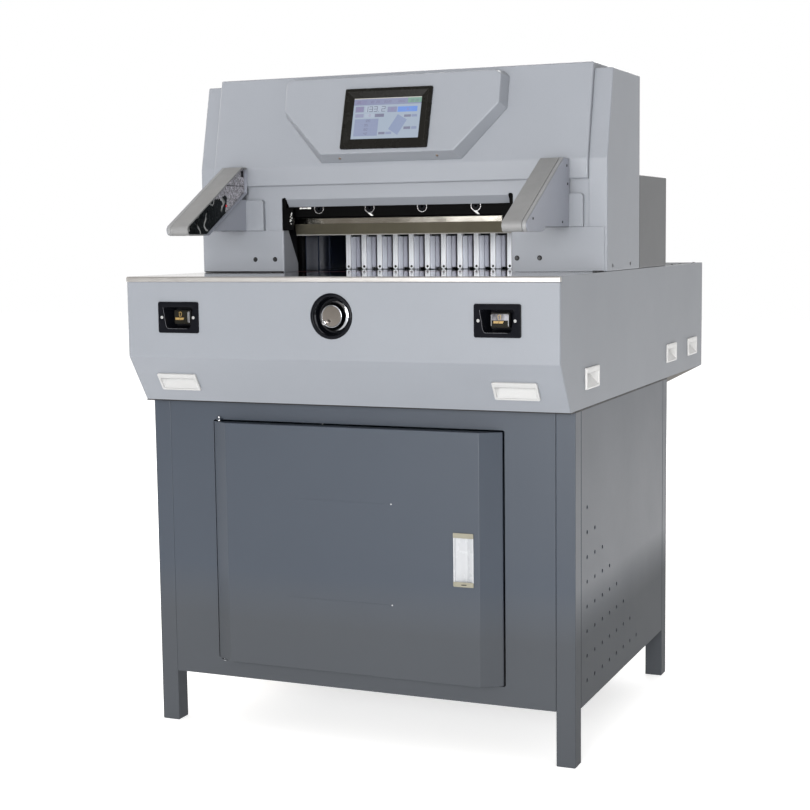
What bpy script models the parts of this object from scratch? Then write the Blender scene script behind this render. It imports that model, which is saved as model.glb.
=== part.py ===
"""Electric paper cutter on a cabinet base.

Metres, +Z up, the operator stands at -Y. The origin is under the middle of the machine, on the
floor. Every depth below is counted from the front plane of the table housing.
"""
import math

import bmesh
import bpy
from mathutils import Vector

# Fits shared by the whole machine
GAP = 0.0003
SHEET = 0.002
OVERRUN = 0.004
ROUND_STEPS = 32
SMALL_STEPS = 16

# Cabinet base
WIDTH = 0.880
BASE_HEIGHT = 0.663
BASE_SETBACK = 0.089
BASE_REAR_MARGIN = 0.349
LEG = 0.037
LEG_CLEAR = 0.104
RAIL = 0.025
FLOOR_THICKNESS = 0.002
SIDE_PANEL_SEAM = 0.0015

# Door in the front of the base
DOOR_SIDE_MARGIN = 0.138
DOOR_BOTTOM_MARGIN = 0.039
DOOR_TOP_MARGIN = 0.042
DOOR_SIDE_GAP = 0.0028
DOOR_TOP_GAP = 0.004
DOOR_BOTTOM_GAP = 0.002
DOOR_STAND_OUT = 0.027
DOOR_BEVEL = 0.038
DOOR_FLANGE = 0.003
HINGE_INSET = 0.012
HINGE_AHEAD = 0.003
PIN_RADIUS = 0.0025
LUG_WIDTH = 0.012
LUG_THICKNESS = 0.003
LUG_REACH = 0.009
LUG_SEAT = 0.0005
PIN_PROUD = 0.0015

# Door pull
PULL_WIDTH = 0.040
PULL_HEIGHT = 0.101
PULL_FROM_EDGE = 0.069
PULL_FLANGE = 0.0015
PULL_LIP = 0.0022
PULL_DEPTH = 0.016
PULL_WALL = 0.0025
PULL_END = 0.010
PULL_TAPER = 0.004

# Air holes in the base sides
HOLE_RADIUS = 0.0040
HOLE_PITCH_Y = 0.0517
HOLE_PITCH_Z = 0.0470
HOLE_FIRST_BACK = 0.0755
HOLE_FIRST_RISE = 0.0435
HOLE_COLUMNS = 8
HOLE_SIDES = 8

# Power inlet in the base back
INLET_WIDTH = 0.060
INLET_HEIGHT = 0.050
INLET_FLANGE = 0.003
INLET_DEPTH = 0.030
INLET_LIP = 0.006
INLET_MOUTH_WIDTH = 0.030
INLET_MOUTH_HEIGHT = 0.022
INLET_MOUTH_DEPTH = 0.020
INLET_FROM_SIDE = 0.190
INLET_RISE = 0.146

# Table housing
HOUSING_HEIGHT = 0.245
TABLE_THICKNESS = 0.010
REAR_TABLE = 0.2285
REAR_DECK_DEPTH = 0.365
APRON_SLOPE_HEIGHT = 0.090
APRON_INSET = 0.061
APRON_RETURN = 0.025
REAR_RETURN = 0.025
TRIM_HEIGHT = 0.010
TRIM_PROUD = 0.001
TRIM_DEPTH = 0.009
TRIM_ROUND = 0.002

# Cutting stick and the slot of the back gauge
CUT_BEHIND_HEAD = 0.049
STICK_WIDTH = 0.0096
STICK_OVERHANG = 0.002
STICK_DEEP = 0.008
SLOT_SIDE_ROOM = 0.0005
SLOT_END_ROOM = 0.004

# Finger pulls of the housing
GRIP_WIDTH = 0.086
GRIP_HEIGHT = 0.040
GRIP_FLANGE = 0.0040
GRIP_LIP = 0.0025
GRIP_WALL = 0.002
GRIP_DEPTH = 0.016
GRIP_RIM = 0.006
GRIP_TAPER = 0.005
GRIP_FRONT_FROM_SIDE = 0.093
GRIP_FRONT_SHARE = 0.555
GRIP_SIDE_FIRST = 0.193
GRIP_SIDE_SECOND_MARGIN = 0.315
GRIP_SIDE_LAST_MARGIN = 0.110
GRIP_SIDE_RISE = 0.053

# Two-hand cut keys
KEY_FROM_SIDE = 0.1155
KEY_DROP = 0.0780
BEZEL_WIDTH = 0.0885
BEZEL_HEIGHT = 0.0570
BEZEL_PROUD = 0.003
BEZEL_CUP_WIDTH = 0.068
BEZEL_CUP_HEIGHT = 0.048
BEZEL_DEPTH = 0.034
POCKET_WIDTH = 0.0600
POCKET_HEIGHT = 0.0420
POCKET_FLOOR_WIDTH = 0.044
POCKET_FLOOR_HEIGHT = 0.034
POCKET_DEPTH = 0.030
KEY_WIDTH = 0.034
KEY_HEIGHT = 0.026
KEY_SET_BACK = 0.012
KEY_THICKNESS = 0.011
KEY_STEM = 0.008
KEY_STEM_REACH = 0.005

# Hand wheel of the back gauge, its cup and its finger grip
WHEEL_DROP = 0.073
WHEEL_FACE_RADIUS = 0.0205
WHEEL_RIM_RADIUS = 0.022
WHEEL_RIM_DEEP = 0.002
WHEEL_BASE_RADIUS = 0.029
WHEEL_BASE_START = 0.010
WHEEL_BASE_END = 0.013
WHEEL_HUB_RADIUS = 0.0115
WHEEL_DEPTH = 0.0190
CUP_RADIUS = 0.0426
CUP_BACK_RADIUS = 0.0385
CUP_MOUTH_RADIUS = 0.0365
CUP_FLOOR_RADIUS = 0.0330
CUP_PROUD = 0.0025
CUP_EDGE = 0.0015
CUP_FLOOR_DEPTH = 0.0200
CUP_THICKNESS = 0.002
GRIP_PIN_RADIUS = 0.0028
GRIP_PIN_HEAD = 0.0040
GRIP_PIN_REACH = 0.012
GRIP_PIN_NECK = 0.005
GRIP_PIN_CROWN = 0.0015
GRIP_PIN_OFFSET_X = -0.0100
GRIP_PIN_OFFSET_Z = -0.0115

# Head covers
HEAD_SETBACK = 0.299
HEAD_DEPTH = 0.2425
HEAD_LOWER = 0.2145
HEAD_UPPER = 0.1845
HEAD_LEAN = 0.041
COVER_FLANGE = 0.036
COVER_STEP = 0.012
HOOD_PROUD = 0.009
HOOD_SKIRT = 0.0375
FRONT_COVER_LAP = 0.015
OPENING_FROM_SIDE = 0.192
OPENING_SLOT = 0.008
LIP_DROP = 0.028
LIP_HEIGHT = 0.0152
LIP_DEEP = 0.0140
SLOT_RISE = 0.004
BOSS_FROM_SIDE = 0.0975
BOSS_HALF_WIDTH = 0.0525
BOSS_RISE = 0.0005
BOSS_PROUD = 0.005
BOSS_ROOT = 0.0010

# Corner guards beside the throat
GUARD_HEIGHT = 0.086
GUARD_SIDE_MARGIN = 0.005
GUARD_RETURN_TOP = 0.023
GUARD_RETURN_DEEP = 0.065
GUARD_RETURN_RISE = 0.018
GUARD_CLEAR = 0.0003

# Light guard arms
ARM_FROM_SIDE = 0.110
ARM_THICKNESS = 0.038
ARM_SHELL = 0.003
ARM_TOP_RISE = 0.0015
ARM_TOP_AHEAD = 0.041
ARM_NOSE_AHEAD = 0.265
ARM_NOSE_THICKNESS = 0.027
ARM_NOSE_RISE = 0.0775
ARM_NOSE_ROUND = 0.011
ARM_HEEL_AHEAD = 0.171
ARM_REAR_DROP = 0.051
WINDOW_THICKNESS = 0.002
WINDOW_RECESS = 0.0015
BRACKET_DROP = 0.0125
BRACKET_CLEAR = 0.0005

# Box over the rear table
REAR_BOX_HEIGHT = 0.190

# Operator display on the hood's slope
PANEL_SHIFT = -0.003
PANEL_RISE = 0.028
PANEL_BOTTOM_SHARE = 0.3762
PANEL_SIDE_SHARE = 0.5941
PANEL_TOP_SHARE = 0.5644
PANEL_FOOT_SHARE = 0.0265
PANEL_SIDE_FOOT_SHARE = 0.5503
PANEL_SIDE_TOP_SHARE = 0.8889
PANEL_HEAD_SHARE = 0.9418
PANEL_BEVEL = 0.009
PANEL_FOOT_BEVEL = 0.012
DISPLAY_WIDTH = 0.190
DISPLAY_HEIGHT = 0.123
DISPLAY_SHARE = 0.4630
DISPLAY_THICKNESS = 0.006
DISPLAY_EDGE = 0.0015
SCREEN_WIDTH = 0.1460
SCREEN_HEIGHT = 0.0830
SCREEN_SINK = 0.0035
SCREEN_THICKNESS = 0.002

# Press frame: two side plates and a top beam
FRAME_SIDE_CLEAR = 0.004
FRAME_THICKNESS = 0.032
FRAME_BEHIND_HEAD = 0.009
FRAME_DEPTH = 0.192
FRAME_ABOVE_FOLD = 0.0625
BEAM_HEIGHT = 0.035
BEAM_BEHIND_HEAD = 0.014
BEAM_INSET = 0.001
GROOVE_DEPTH = 0.010

# Knife and its beam
KNIFE_RISE = 0.0754
KNIFE_BEVEL = 0.0346
KNIFE_THICKNESS = 0.0096
KNIFE_TOP_DROP = 0.035
KNIFE_SIDE_CLEAR = 0.005
KNIFE_LAND = 0.0006
KNIFE_BEAM_BEHIND_HEAD = 0.0175
KNIFE_BEAM_LIFT = 0.0004
KNIFE_BEAM_DROP = 0.025
KNIFE_BEAM_CHAMFER = 0.003
KNIFE_TONGUE_HEIGHT = 0.045
KNIFE_TONGUE_THICKNESS = 0.014
TONGUE_CLEAR = 0.0003
SCREW_SIDE = 0.060
KNIFE_SCREW_RADIUS = 0.0065
KNIFE_SCREW_RISE = 0.0156
SCREW_ROOM = 0.004
PULLEY_RADIUS = 0.0135
PULLEY_CLEAR = 0.003
PULLEY_HEIGHT = 0.016
BELT_THICKNESS = 0.0015
BELT_INSET = 0.002

# Clamp
CLAMP_BEHIND_CUT = 0.002
CLAMP_THICKNESS = 0.050
CLAMP_RISE = 0.078
CLAMP_DROP = 0.050
CLAMP_TONGUE_INSET = 0.016
CLAMP_TONGUE_THICKNESS = 0.024
CLAMP_SCREW_RADIUS = 0.009
CLAMP_SCREW_RISE = 0.016
CLAMP_SCREW_HEAD = 0.018
CLAMP_SCREW_HEAD_RISE = 0.030

# Motors
MOTOR_RADIUS = 0.036
MOTOR_BEHIND_CLAMP = 0.050
MOTOR_LENGTH = 0.120
MOTOR_SHAFT_RADIUS = 0.006
GAUGE_MOTOR_SIDE = 0.056
GAUGE_MOTOR_LENGTH = 0.080
GAUGE_MOTOR_DROP = 0.062
GAUGE_MOTOR_SHAFT = 0.012

# Bed under the table
BED_FROM_SIDE = 0.140
BED_BEHIND_HEAD = 0.021
BED_REAR_MARGIN = 0.035
BED_WALL = 0.020

# Back gauge
GAUGE_BEHIND_HEAD = 0.0025
GAUGE_FINS = 12
GAUGE_SIDE_CLEAR = 0.026
GAUGE_FIN_SHARE = 0.840
GAUGE_RIB_SHARE = 0.280
GAUGE_RIB_RISE = 0.0765
GAUGE_CHANNEL_HEIGHT = 0.068
GAUGE_CHANNEL_LIFT = 0.004
GAUGE_RIB_DEPTH = 0.012
GAUGE_CHANNEL_DEPTH = 0.004
GAUGE_BAR_DEPTH = 0.022
GAUGE_FOOT_CLEAR = 0.0004
GAUGE_TONGUE_HALF = 0.0080
GAUGE_STOP_ROOM = 0.004
GAUGE_REAR_MARGIN = 0.032
NUT_HALF = 0.022
NUT_DEPTH = 0.040
GAUGE_SCREW_RADIUS = 0.010
GAUGE_SCREW_TAIL = 0.008
SCREW_FIT = 0.0003

# Levels, counted up from the floor
HOUSING_BOTTOM = BASE_HEIGHT
TABLE_TOP = HOUSING_BOTTOM + HOUSING_HEIGHT
TABLE_UNDER = TABLE_TOP - TABLE_THICKNESS
BASE_TOP = HOUSING_BOTTOM - GAP
DOOR_BOTTOM = LEG_CLEAR + DOOR_BOTTOM_MARGIN
DOOR_TOP = HOUSING_BOTTOM - DOOR_TOP_MARGIN
PULL_LEVEL = (DOOR_BOTTOM + DOOR_TOP) / 2
HOLE_FIRST_Z = LEG_CLEAR + HOLE_FIRST_RISE
INLET_LEVEL = LEG_CLEAR + INLET_RISE
APRON_FOLD = HOUSING_BOTTOM + APRON_SLOPE_HEIGHT
GRIP_SIDE_LEVEL = HOUSING_BOTTOM + GRIP_SIDE_RISE
KEY_LEVEL = TABLE_TOP - KEY_DROP
WHEEL_LEVEL = TABLE_TOP - WHEEL_DROP
HEAD_FOLD = TABLE_TOP + HEAD_LOWER
HOOD_TOP = HEAD_FOLD + HEAD_UPPER
HEAD_TOP = HOOD_TOP - COVER_STEP
HOOD_BOTTOM = HEAD_FOLD - HOOD_SKIRT
FRONT_COVER_TOP = HOOD_BOTTOM + FRONT_COVER_LAP
LIP_FOLD = HOOD_BOTTOM - LIP_DROP
LIP_BOTTOM = LIP_FOLD - LIP_HEIGHT
SLOT_TOP = LIP_FOLD + SLOT_RISE
BOSS_TOP = LIP_FOLD + BOSS_RISE
GUARD_TOP = TABLE_TOP + GUARD_HEIGHT
GUARD_RETURN_CORNER = TABLE_TOP + GUARD_RETURN_RISE
ARM_TOP = HEAD_FOLD + ARM_TOP_RISE
ARM_NOSE_LOW = TABLE_TOP + ARM_NOSE_RISE
ARM_NOSE_TOP = ARM_NOSE_LOW + ARM_NOSE_THICKNESS
ARM_REAR_LOW = HEAD_FOLD - ARM_REAR_DROP
BRACKET_TOP = ARM_REAR_LOW - BRACKET_DROP
BRACKET_BOTTOM = GUARD_TOP + BRACKET_CLEAR
REAR_BOX_TOP = TABLE_TOP + REAR_BOX_HEIGHT
FRAME_TOP = HEAD_FOLD + FRAME_ABOVE_FOLD
BEAM_BOTTOM = FRAME_TOP - BEAM_HEIGHT
KNIFE_EDGE = TABLE_TOP + KNIFE_RISE
KNIFE_BEAM_BOTTOM = KNIFE_EDGE + KNIFE_BEVEL + KNIFE_BEAM_LIFT
KNIFE_BEAM_TOP = BEAM_BOTTOM - KNIFE_BEAM_DROP
KNIFE_TOP = KNIFE_BEAM_TOP - KNIFE_TOP_DROP
KNIFE_TONGUE_BOTTOM = KNIFE_BEAM_TOP - KNIFE_TONGUE_HEIGHT
KNIFE_SCREW_BOTTOM = KNIFE_BEAM_BOTTOM + KNIFE_SCREW_RISE
PULLEY_BOTTOM = FRAME_TOP + PULLEY_CLEAR
PULLEY_TOP = PULLEY_BOTTOM + PULLEY_HEIGHT
CLAMP_BOTTOM = TABLE_TOP + CLAMP_RISE
CLAMP_TOP = BEAM_BOTTOM - CLAMP_DROP
CLAMP_SCREW_BOTTOM = CLAMP_BOTTOM + CLAMP_SCREW_RISE
CLAMP_SCREW_HEAD_TOP = FRAME_TOP + CLAMP_SCREW_HEAD_RISE
MOTOR_BOTTOM = BEAM_BOTTOM - MOTOR_LENGTH
GAUGE_RIB_TOP = TABLE_TOP + GAUGE_RIB_RISE
GAUGE_CHANNEL_BOTTOM = TABLE_TOP + GAUGE_CHANNEL_LIFT
GAUGE_CHANNEL_TOP = GAUGE_CHANNEL_BOTTOM + GAUGE_CHANNEL_HEIGHT

# Places across, counted from the middle
HALF_WIDTH = WIDTH / 2
INNER_HALF = HALF_WIDTH - SHEET - GAP
DOOR_WIDTH = WIDTH - DOOR_SIDE_MARGIN * 2
INLET_SIDE = HALF_WIDTH - INLET_FROM_SIDE
GRIP_FRONT_SIDE = HALF_WIDTH - GRIP_FRONT_FROM_SIDE
KEY_SIDE = HALF_WIDTH - KEY_FROM_SIDE
HOOD_HALF_WIDTH = HALF_WIDTH - COVER_FLANGE
OPENING_HALF_WIDTH = HALF_WIDTH - OPENING_FROM_SIDE
LIP_HALF_WIDTH = OPENING_HALF_WIDTH - OPENING_SLOT
BOSS_CENTRE = HALF_WIDTH - BOSS_FROM_SIDE
GUARD_OUTER = HALF_WIDTH - GUARD_SIDE_MARGIN
ARM_INNER = HALF_WIDTH - ARM_FROM_SIDE
PANEL_BOTTOM_HALF = HOOD_HALF_WIDTH * PANEL_BOTTOM_SHARE
PANEL_SIDE_HALF = HOOD_HALF_WIDTH * PANEL_SIDE_SHARE
PANEL_TOP_HALF = HOOD_HALF_WIDTH * PANEL_TOP_SHARE
FRAME_INNER = OPENING_HALF_WIDTH + FRAME_SIDE_CLEAR
KNIFE_HALF_WIDTH = OPENING_HALF_WIDTH - KNIFE_SIDE_CLEAR
STICK_HALF_LENGTH = KNIFE_HALF_WIDTH + STICK_OVERHANG
SLOT_HALF_WIDTH = GAUGE_TONGUE_HALF + SLOT_SIDE_ROOM
BED_HALF_WIDTH = HALF_WIDTH - BED_FROM_SIDE
GAUGE_SPAN = (OPENING_HALF_WIDTH - GAUGE_SIDE_CLEAR) * 2
GAUGE_PITCH = GAUGE_SPAN / (GAUGE_FINS - 1 + GAUGE_FIN_SHARE)
GAUGE_FIN_WIDTH = GAUGE_PITCH * GAUGE_FIN_SHARE
GAUGE_RIB_WIDTH = GAUGE_PITCH * GAUGE_RIB_SHARE

# Depths, counted back from the front plane of the housing
HEAD_END = HEAD_SETBACK + HEAD_DEPTH
TABLE_DEPTH = HEAD_END + REAR_TABLE
HOUSING_DEPTH = TABLE_DEPTH + REAR_DECK_DEPTH
BASE_DEPTH = HOUSING_DEPTH - BASE_SETBACK - BASE_REAR_MARGIN
GRIP_SIDE_DEPTHS = (
    GRIP_SIDE_FIRST,
    HOUSING_DEPTH - GRIP_SIDE_SECOND_MARGIN,
    HOUSING_DEPTH - GRIP_SIDE_LAST_MARGIN,
)
CUT_LINE = HEAD_SETBACK + CUT_BEHIND_HEAD
ARM_TOP_FRONT = HEAD_SETBACK - ARM_TOP_AHEAD
ARM_NOSE_FRONT = HEAD_SETBACK - ARM_NOSE_AHEAD
ARM_HEEL = HEAD_SETBACK - ARM_HEEL_AHEAD
FRAME_FRONT = HEAD_SETBACK + FRAME_BEHIND_HEAD
FRAME_BACK = FRAME_FRONT + FRAME_DEPTH
BEAM_FRONT = HEAD_SETBACK + BEAM_BEHIND_HEAD
KNIFE_BEAM_FRONT = HEAD_SETBACK + KNIFE_BEAM_BEHIND_HEAD
CLAMP_FRONT = CUT_LINE + CLAMP_BEHIND_CUT
CLAMP_BACK = CLAMP_FRONT + CLAMP_THICKNESS
CLAMP_TONGUE_FRONT = CLAMP_FRONT + CLAMP_TONGUE_INSET
MOTOR_SETBACK = CLAMP_BACK + MOTOR_BEHIND_CLAMP
BED_FRONT = HEAD_SETBACK + BED_BEHIND_HEAD
BED_BACK = HOUSING_DEPTH - BED_REAR_MARGIN
GAUGE_FACE = HEAD_END + GAUGE_BEHIND_HEAD
GAUGE_BAR_FRONT = GAUGE_FACE + GAUGE_RIB_DEPTH
GAUGE_BAR_BACK = GAUGE_BAR_FRONT + GAUGE_BAR_DEPTH
GAUGE_FORWARD = GAUGE_FACE - CLAMP_BACK - GAUGE_STOP_ROOM
GAUGE_REARWARD = TABLE_DEPTH - GAUGE_BAR_BACK - GAUGE_REAR_MARGIN
GAUGE_SCREW_END = BED_BACK + GAUGE_SCREW_TAIL

# World Y of the front plane, so that the machine's box is centred on the origin
FRONT_Y = (GRIP_PIN_REACH - HOUSING_DEPTH) / 2
LEFT = -1
RIGHT = 1


def at_depth(depth):
    """World Y of a depth counted back from the front plane of the housing."""
    return FRONT_Y + depth


BASE_FRONT = at_depth(BASE_SETBACK)
BASE_BACK = at_depth(BASE_SETBACK + BASE_DEPTH)
HOUSING_BACK = at_depth(HOUSING_DEPTH)
HEAD_FRONT = at_depth(HEAD_SETBACK)
HEAD_BACK = at_depth(HEAD_END)
HINGE_X = -DOOR_WIDTH / 2 + HINGE_INSET
HINGE_Y = BASE_FRONT - HINGE_AHEAD
KNIFE_BACK = at_depth(CUT_LINE)
KNIFE_FRONT = KNIFE_BACK - KNIFE_THICKNESS
SCREW_Y = (at_depth(KNIFE_BEAM_FRONT) + KNIFE_FRONT - GAP) / 2
CLAMP_Y = at_depth(CLAMP_FRONT + CLAMP_THICKNESS / 2)


# Materials and objects


def paint(name, colour, roughness, metallic=0.0):
    """One plain Principled material."""
    material = bpy.data.materials.new(name)
    material.use_nodes = True
    shader = material.node_tree.nodes["Principled BSDF"]
    shader.inputs["Base Color"].default_value = (*colour, 1.0)
    shader.inputs["Roughness"].default_value = roughness
    shader.inputs["Metallic"].default_value = metallic
    material.diffuse_color = (*colour, 1.0)
    return material


def start_scene():
    """Empties the scene."""
    for item in list(bpy.data.objects):
        bpy.data.objects.remove(item, do_unlink=True)


def finish(name, mesh_data, material, smooth_angle=None):
    """Turns a bmesh into a named object with its normals facing out."""
    bmesh.ops.recalc_face_normals(mesh_data, faces=mesh_data.faces)
    mesh = bpy.data.meshes.new(name)
    mesh_data.to_mesh(mesh)
    mesh_data.free()
    if smooth_angle is not None:
        mesh.shade_smooth()
        mesh.set_sharp_from_angle(angle=smooth_angle)
    if material is not None:
        mesh.materials.append(material)
    item = bpy.data.objects.new(name, mesh)
    bpy.context.scene.collection.objects.link(item)
    return item


def helper(name, mesh_data):
    """A cutter or an operand: a wire guide that isn't a piece of the machine."""
    item = finish(name, mesh_data, None)
    item.hide_render = True
    item.display_type = "WIRE"
    return item


def combine(target, operand, operation):
    """Adds one exact Boolean between a piece and a guide."""
    modifier = target.modifiers.new(operand.name, "BOOLEAN")
    modifier.operation = operation
    modifier.solver = "EXACT"
    modifier.object = operand
    return target


def cut(target, mesh_data):
    """Cuts the bodies of a bmesh out of a piece."""
    return combine(target, helper(target.name + "_cutter", mesh_data), "DIFFERENCE")


def weld(target, mesh_data):
    """Fuses the bodies of a bmesh to a piece."""
    return combine(target, helper(target.name + "_addition", mesh_data), "UNION")


def hang(item, axis_empty):
    """Parents a moving piece to the empty on its joint's axis."""
    item.parent = axis_empty
    item.location = -axis_empty.location
    return item


def axis_empty(name, place):
    """An empty that stands on a joint's axis."""
    empty = bpy.data.objects.new(name, None)
    empty.location = place
    bpy.context.scene.collection.objects.link(empty)
    return empty


# Shape tools


def add_box(mesh_data, low, high):
    """A box from its lowest to its highest corner."""
    corners = []
    for z in (low[2], high[2]):
        for x, y in ((low[0], low[1]), (high[0], low[1]), (high[0], high[1]), (low[0], high[1])):
            corners.append(mesh_data.verts.new((x, y, z)))
    bottom, top = corners[:4], corners[4:]
    mesh_data.faces.new(bottom[::-1])
    mesh_data.faces.new(top)
    for index in range(4):
        after = (index + 1) % 4
        mesh_data.faces.new((bottom[index], bottom[after], top[after], top[index]))


def box_mesh(low, high):
    """A bmesh that holds one box."""
    mesh_data = bmesh.new()
    add_box(mesh_data, low, high)
    return mesh_data


def join_loops(mesh_data, loops, closed=False):
    """Skins a row of equal loops, with end caps unless the row runs back into itself."""
    rows = [[mesh_data.verts.new(point) for point in loop] for loop in loops]
    pairs = list(zip(rows, rows[1:]))
    if closed:
        pairs.append((rows[-1], rows[0]))
    else:
        mesh_data.faces.new(rows[0][::-1])
        mesh_data.faces.new(rows[-1])
    for first, second in pairs:
        count = len(first)
        for index in range(count):
            after = (index + 1) % count
            mesh_data.faces.new((first[index], first[after], second[after], second[index]))


def prism(mesh_data, outline, axis, start, end):
    """An outline pulled along X, Y or Z; it is given in the other two axes, in their order."""
    def place(point, along):
        u, v = point
        return {"X": (along, u, v), "Y": (u, along, v), "Z": (u, v, along)}[axis]
    join_loops(mesh_data, [[place(point, along) for point in outline] for along in (start, end)])


def prism_mesh(outline, axis, start, end):
    """A bmesh that holds one prism."""
    mesh_data = bmesh.new()
    prism(mesh_data, outline, axis, start, end)
    return mesh_data


def ring_points(centre, radius, along, axis, steps):
    """A circle of points about an axis through a centre."""
    points = []
    for step in range(steps):
        angle = math.tau * step / steps
        u, v = radius * math.cos(angle), radius * math.sin(angle)
        offset = {"X": (along, u, v), "Y": (u, along, v), "Z": (u, v, along)}[axis]
        points.append(tuple(Vector(centre) + Vector(offset)))
    return points


def turn(mesh_data, centre, axis, profile, steps, closed=False):
    """A turned shape: its profile is radius and place along the axis, from the centre."""
    loops = [ring_points(centre, radius, along, axis, steps) for radius, along in profile]
    join_loops(mesh_data, loops, closed)


def rod(mesh_data, centre, axis, radius, start, end, steps=SMALL_STEPS):
    """A plain cylinder."""
    turn(mesh_data, centre, axis, ((radius, start), (radius, end)), steps)


def folded_sheet(path, thickness):
    """The closed outline of a sheet folded along a path, thickened to the left of it."""
    points = [Vector(point) for point in path]
    normals = []
    for first, second in zip(points, points[1:]):
        run = (second - first).normalized()
        normals.append(Vector((-run.y, run.x)))
    offset = [points[0] + normals[0] * thickness]
    for index in range(1, len(points) - 1):
        mitre = (normals[index - 1] + normals[index]).normalized()
        reach = thickness / mitre.dot(normals[index])
        offset.append(points[index] + mitre * reach)
    offset.append(points[-1] + normals[-1] * thickness)
    return [tuple(point) for point in points] + [tuple(point) for point in reversed(offset)]


class Seat:
    """A flat place on the machine: its centre, its width and height directions and its outward way."""

    def __init__(self, centre, width_way, height_way, outward):
        self.centre = Vector(centre)
        self.width_way = Vector(width_way)
        self.height_way = Vector(height_way)
        self.outward = Vector(outward)

    def point(self, u, v, out):
        """The world place of a point given in the seat's own directions."""
        return tuple(self.centre + self.width_way * u + self.height_way * v + self.outward * out)

    def rectangle(self, width, height, out, shift=0.0):
        """Four corners of a rectangle about the seat's centre."""
        u, v = width / 2, height / 2
        corners = ((-u, -v), (u, -v), (u, v), (-u, v))
        return [self.point(x, y + shift, out) for x, y in corners]

    def outline(self, points, out):
        """An outline in the seat's directions at one height above it."""
        return [self.point(u, v, out) for u, v in points]


FRONT_WAYS = ((1, 0, 0), (0, 0, 1), (0, -1, 0))


def recess_cup(name, seat, flange, cup, mouth, floor, material, hole=None):
    """A flanged cup let into a sheet.

    flange, cup, mouth and floor each give width, height and the height above the sheet. A square
    hole in the floor turns the body into a ring.
    """
    flange_width, flange_height, proud = flange
    cup_width, cup_height, back = cup
    loops = []
    if hole is not None:
        loops.append(seat.rectangle(hole, hole, floor[2]))
    loops.append(seat.rectangle(floor[0], floor[1], floor[2]))
    loops.append(seat.rectangle(mouth[0], mouth[1], proud))
    loops.append(seat.rectangle(flange_width, flange_height, proud))
    loops.append(seat.rectangle(flange_width, flange_height, GAP))
    loops.append(seat.rectangle(cup_width, cup_height, GAP))
    loops.append(seat.rectangle(cup_width, cup_height, back))
    if hole is not None:
        loops.append(seat.rectangle(hole, hole, back))
    mesh_data = bmesh.new()
    join_loops(mesh_data, loops, closed=hole is not None)
    return finish(name, mesh_data, material)


def add_seat_box(mesh_data, seat, width, height, start, end):
    """A box square to a seat."""
    join_loops(mesh_data, [seat.rectangle(width, height, start), seat.rectangle(width, height, end)])


# Cabinet base


def base_ring_sizes():
    """Half width, front and back of the rails, which stand inside the panels."""
    return INNER_HALF, BASE_FRONT + SHEET + GAP, BASE_BACK - SHEET - GAP


def add_rail_ring(mesh_data, bottom, top):
    """Four rails as one closed ring."""
    half, front, back = base_ring_sizes()
    outer = ((-half, front), (half, front), (half, back), (-half, back))
    inner = (
        (-half + RAIL, front + RAIL),
        (half - RAIL, front + RAIL),
        (half - RAIL, back - RAIL),
        (-half + RAIL, back - RAIL),
    )
    loops = []
    for outline, level in ((outer, bottom), (outer, top), (inner, top), (inner, bottom)):
        loops.append([(x, y, level) for x, y in outline])
    join_loops(mesh_data, loops, closed=True)


def make_base_frame(material):
    """Four square legs tied by an upper and a lower ring of rails."""
    mesh_data = bmesh.new()
    add_rail_ring(mesh_data, BASE_TOP - RAIL, BASE_TOP - GAP)
    frame = finish("base_frame", mesh_data, material)
    lower = bmesh.new()
    add_rail_ring(lower, LEG_CLEAR + GAP, LEG_CLEAR + RAIL)
    legs = bmesh.new()
    for x in (-HALF_WIDTH, HALF_WIDTH - LEG):
        for y in (BASE_FRONT, BASE_BACK - LEG):
            add_box(legs, (x, y, 0), (x + LEG, y + LEG, BASE_TOP))
    weld(frame, legs)
    weld(frame, lower)
    return frame


def make_front_panel(material):
    """Front sheet with the door opening and the two hinge lugs."""
    half = HALF_WIDTH - LEG - GAP
    panel = finish(
        "front_panel",
        box_mesh((-half, BASE_FRONT, LEG_CLEAR), (half, BASE_FRONT + SHEET, BASE_TOP)),
        material,
    )
    side = DOOR_WIDTH / 2 + DOOR_SIDE_GAP
    opening = box_mesh(
        (-side, BASE_FRONT - OVERRUN, DOOR_BOTTOM - DOOR_BOTTOM_GAP),
        (side, BASE_FRONT + SHEET + OVERRUN, DOOR_TOP + DOOR_TOP_GAP),
    )
    cut(panel, opening)
    lugs = bmesh.new()
    holes = bmesh.new()
    for bottom in hinge_lug_levels():
        add_box(
            lugs,
            (HINGE_X - LUG_WIDTH / 2, BASE_FRONT - LUG_REACH, bottom),
            (HINGE_X + LUG_WIDTH / 2, BASE_FRONT + SHEET / 2, bottom + LUG_THICKNESS),
        )
        rod(
            holes,
            (HINGE_X, HINGE_Y, bottom),
            "Z",
            PIN_RADIUS + GAP,
            -OVERRUN,
            LUG_THICKNESS + OVERRUN,
        )
    weld(panel, lugs)
    cut(panel, holes)
    return panel


def hinge_lug_levels():
    """Undersides of the upper and the lower hinge lug."""
    upper = DOOR_TOP + DOOR_TOP_GAP + LUG_SEAT
    lower = DOOR_BOTTOM - DOOR_BOTTOM_GAP - LUG_SEAT - LUG_THICKNESS
    return upper, lower


def side_panel_span():
    """Front and back edge of a base side panel."""
    return BASE_FRONT + LEG + SIDE_PANEL_SEAM, BASE_BACK - LEG - SIDE_PANEL_SEAM


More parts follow.
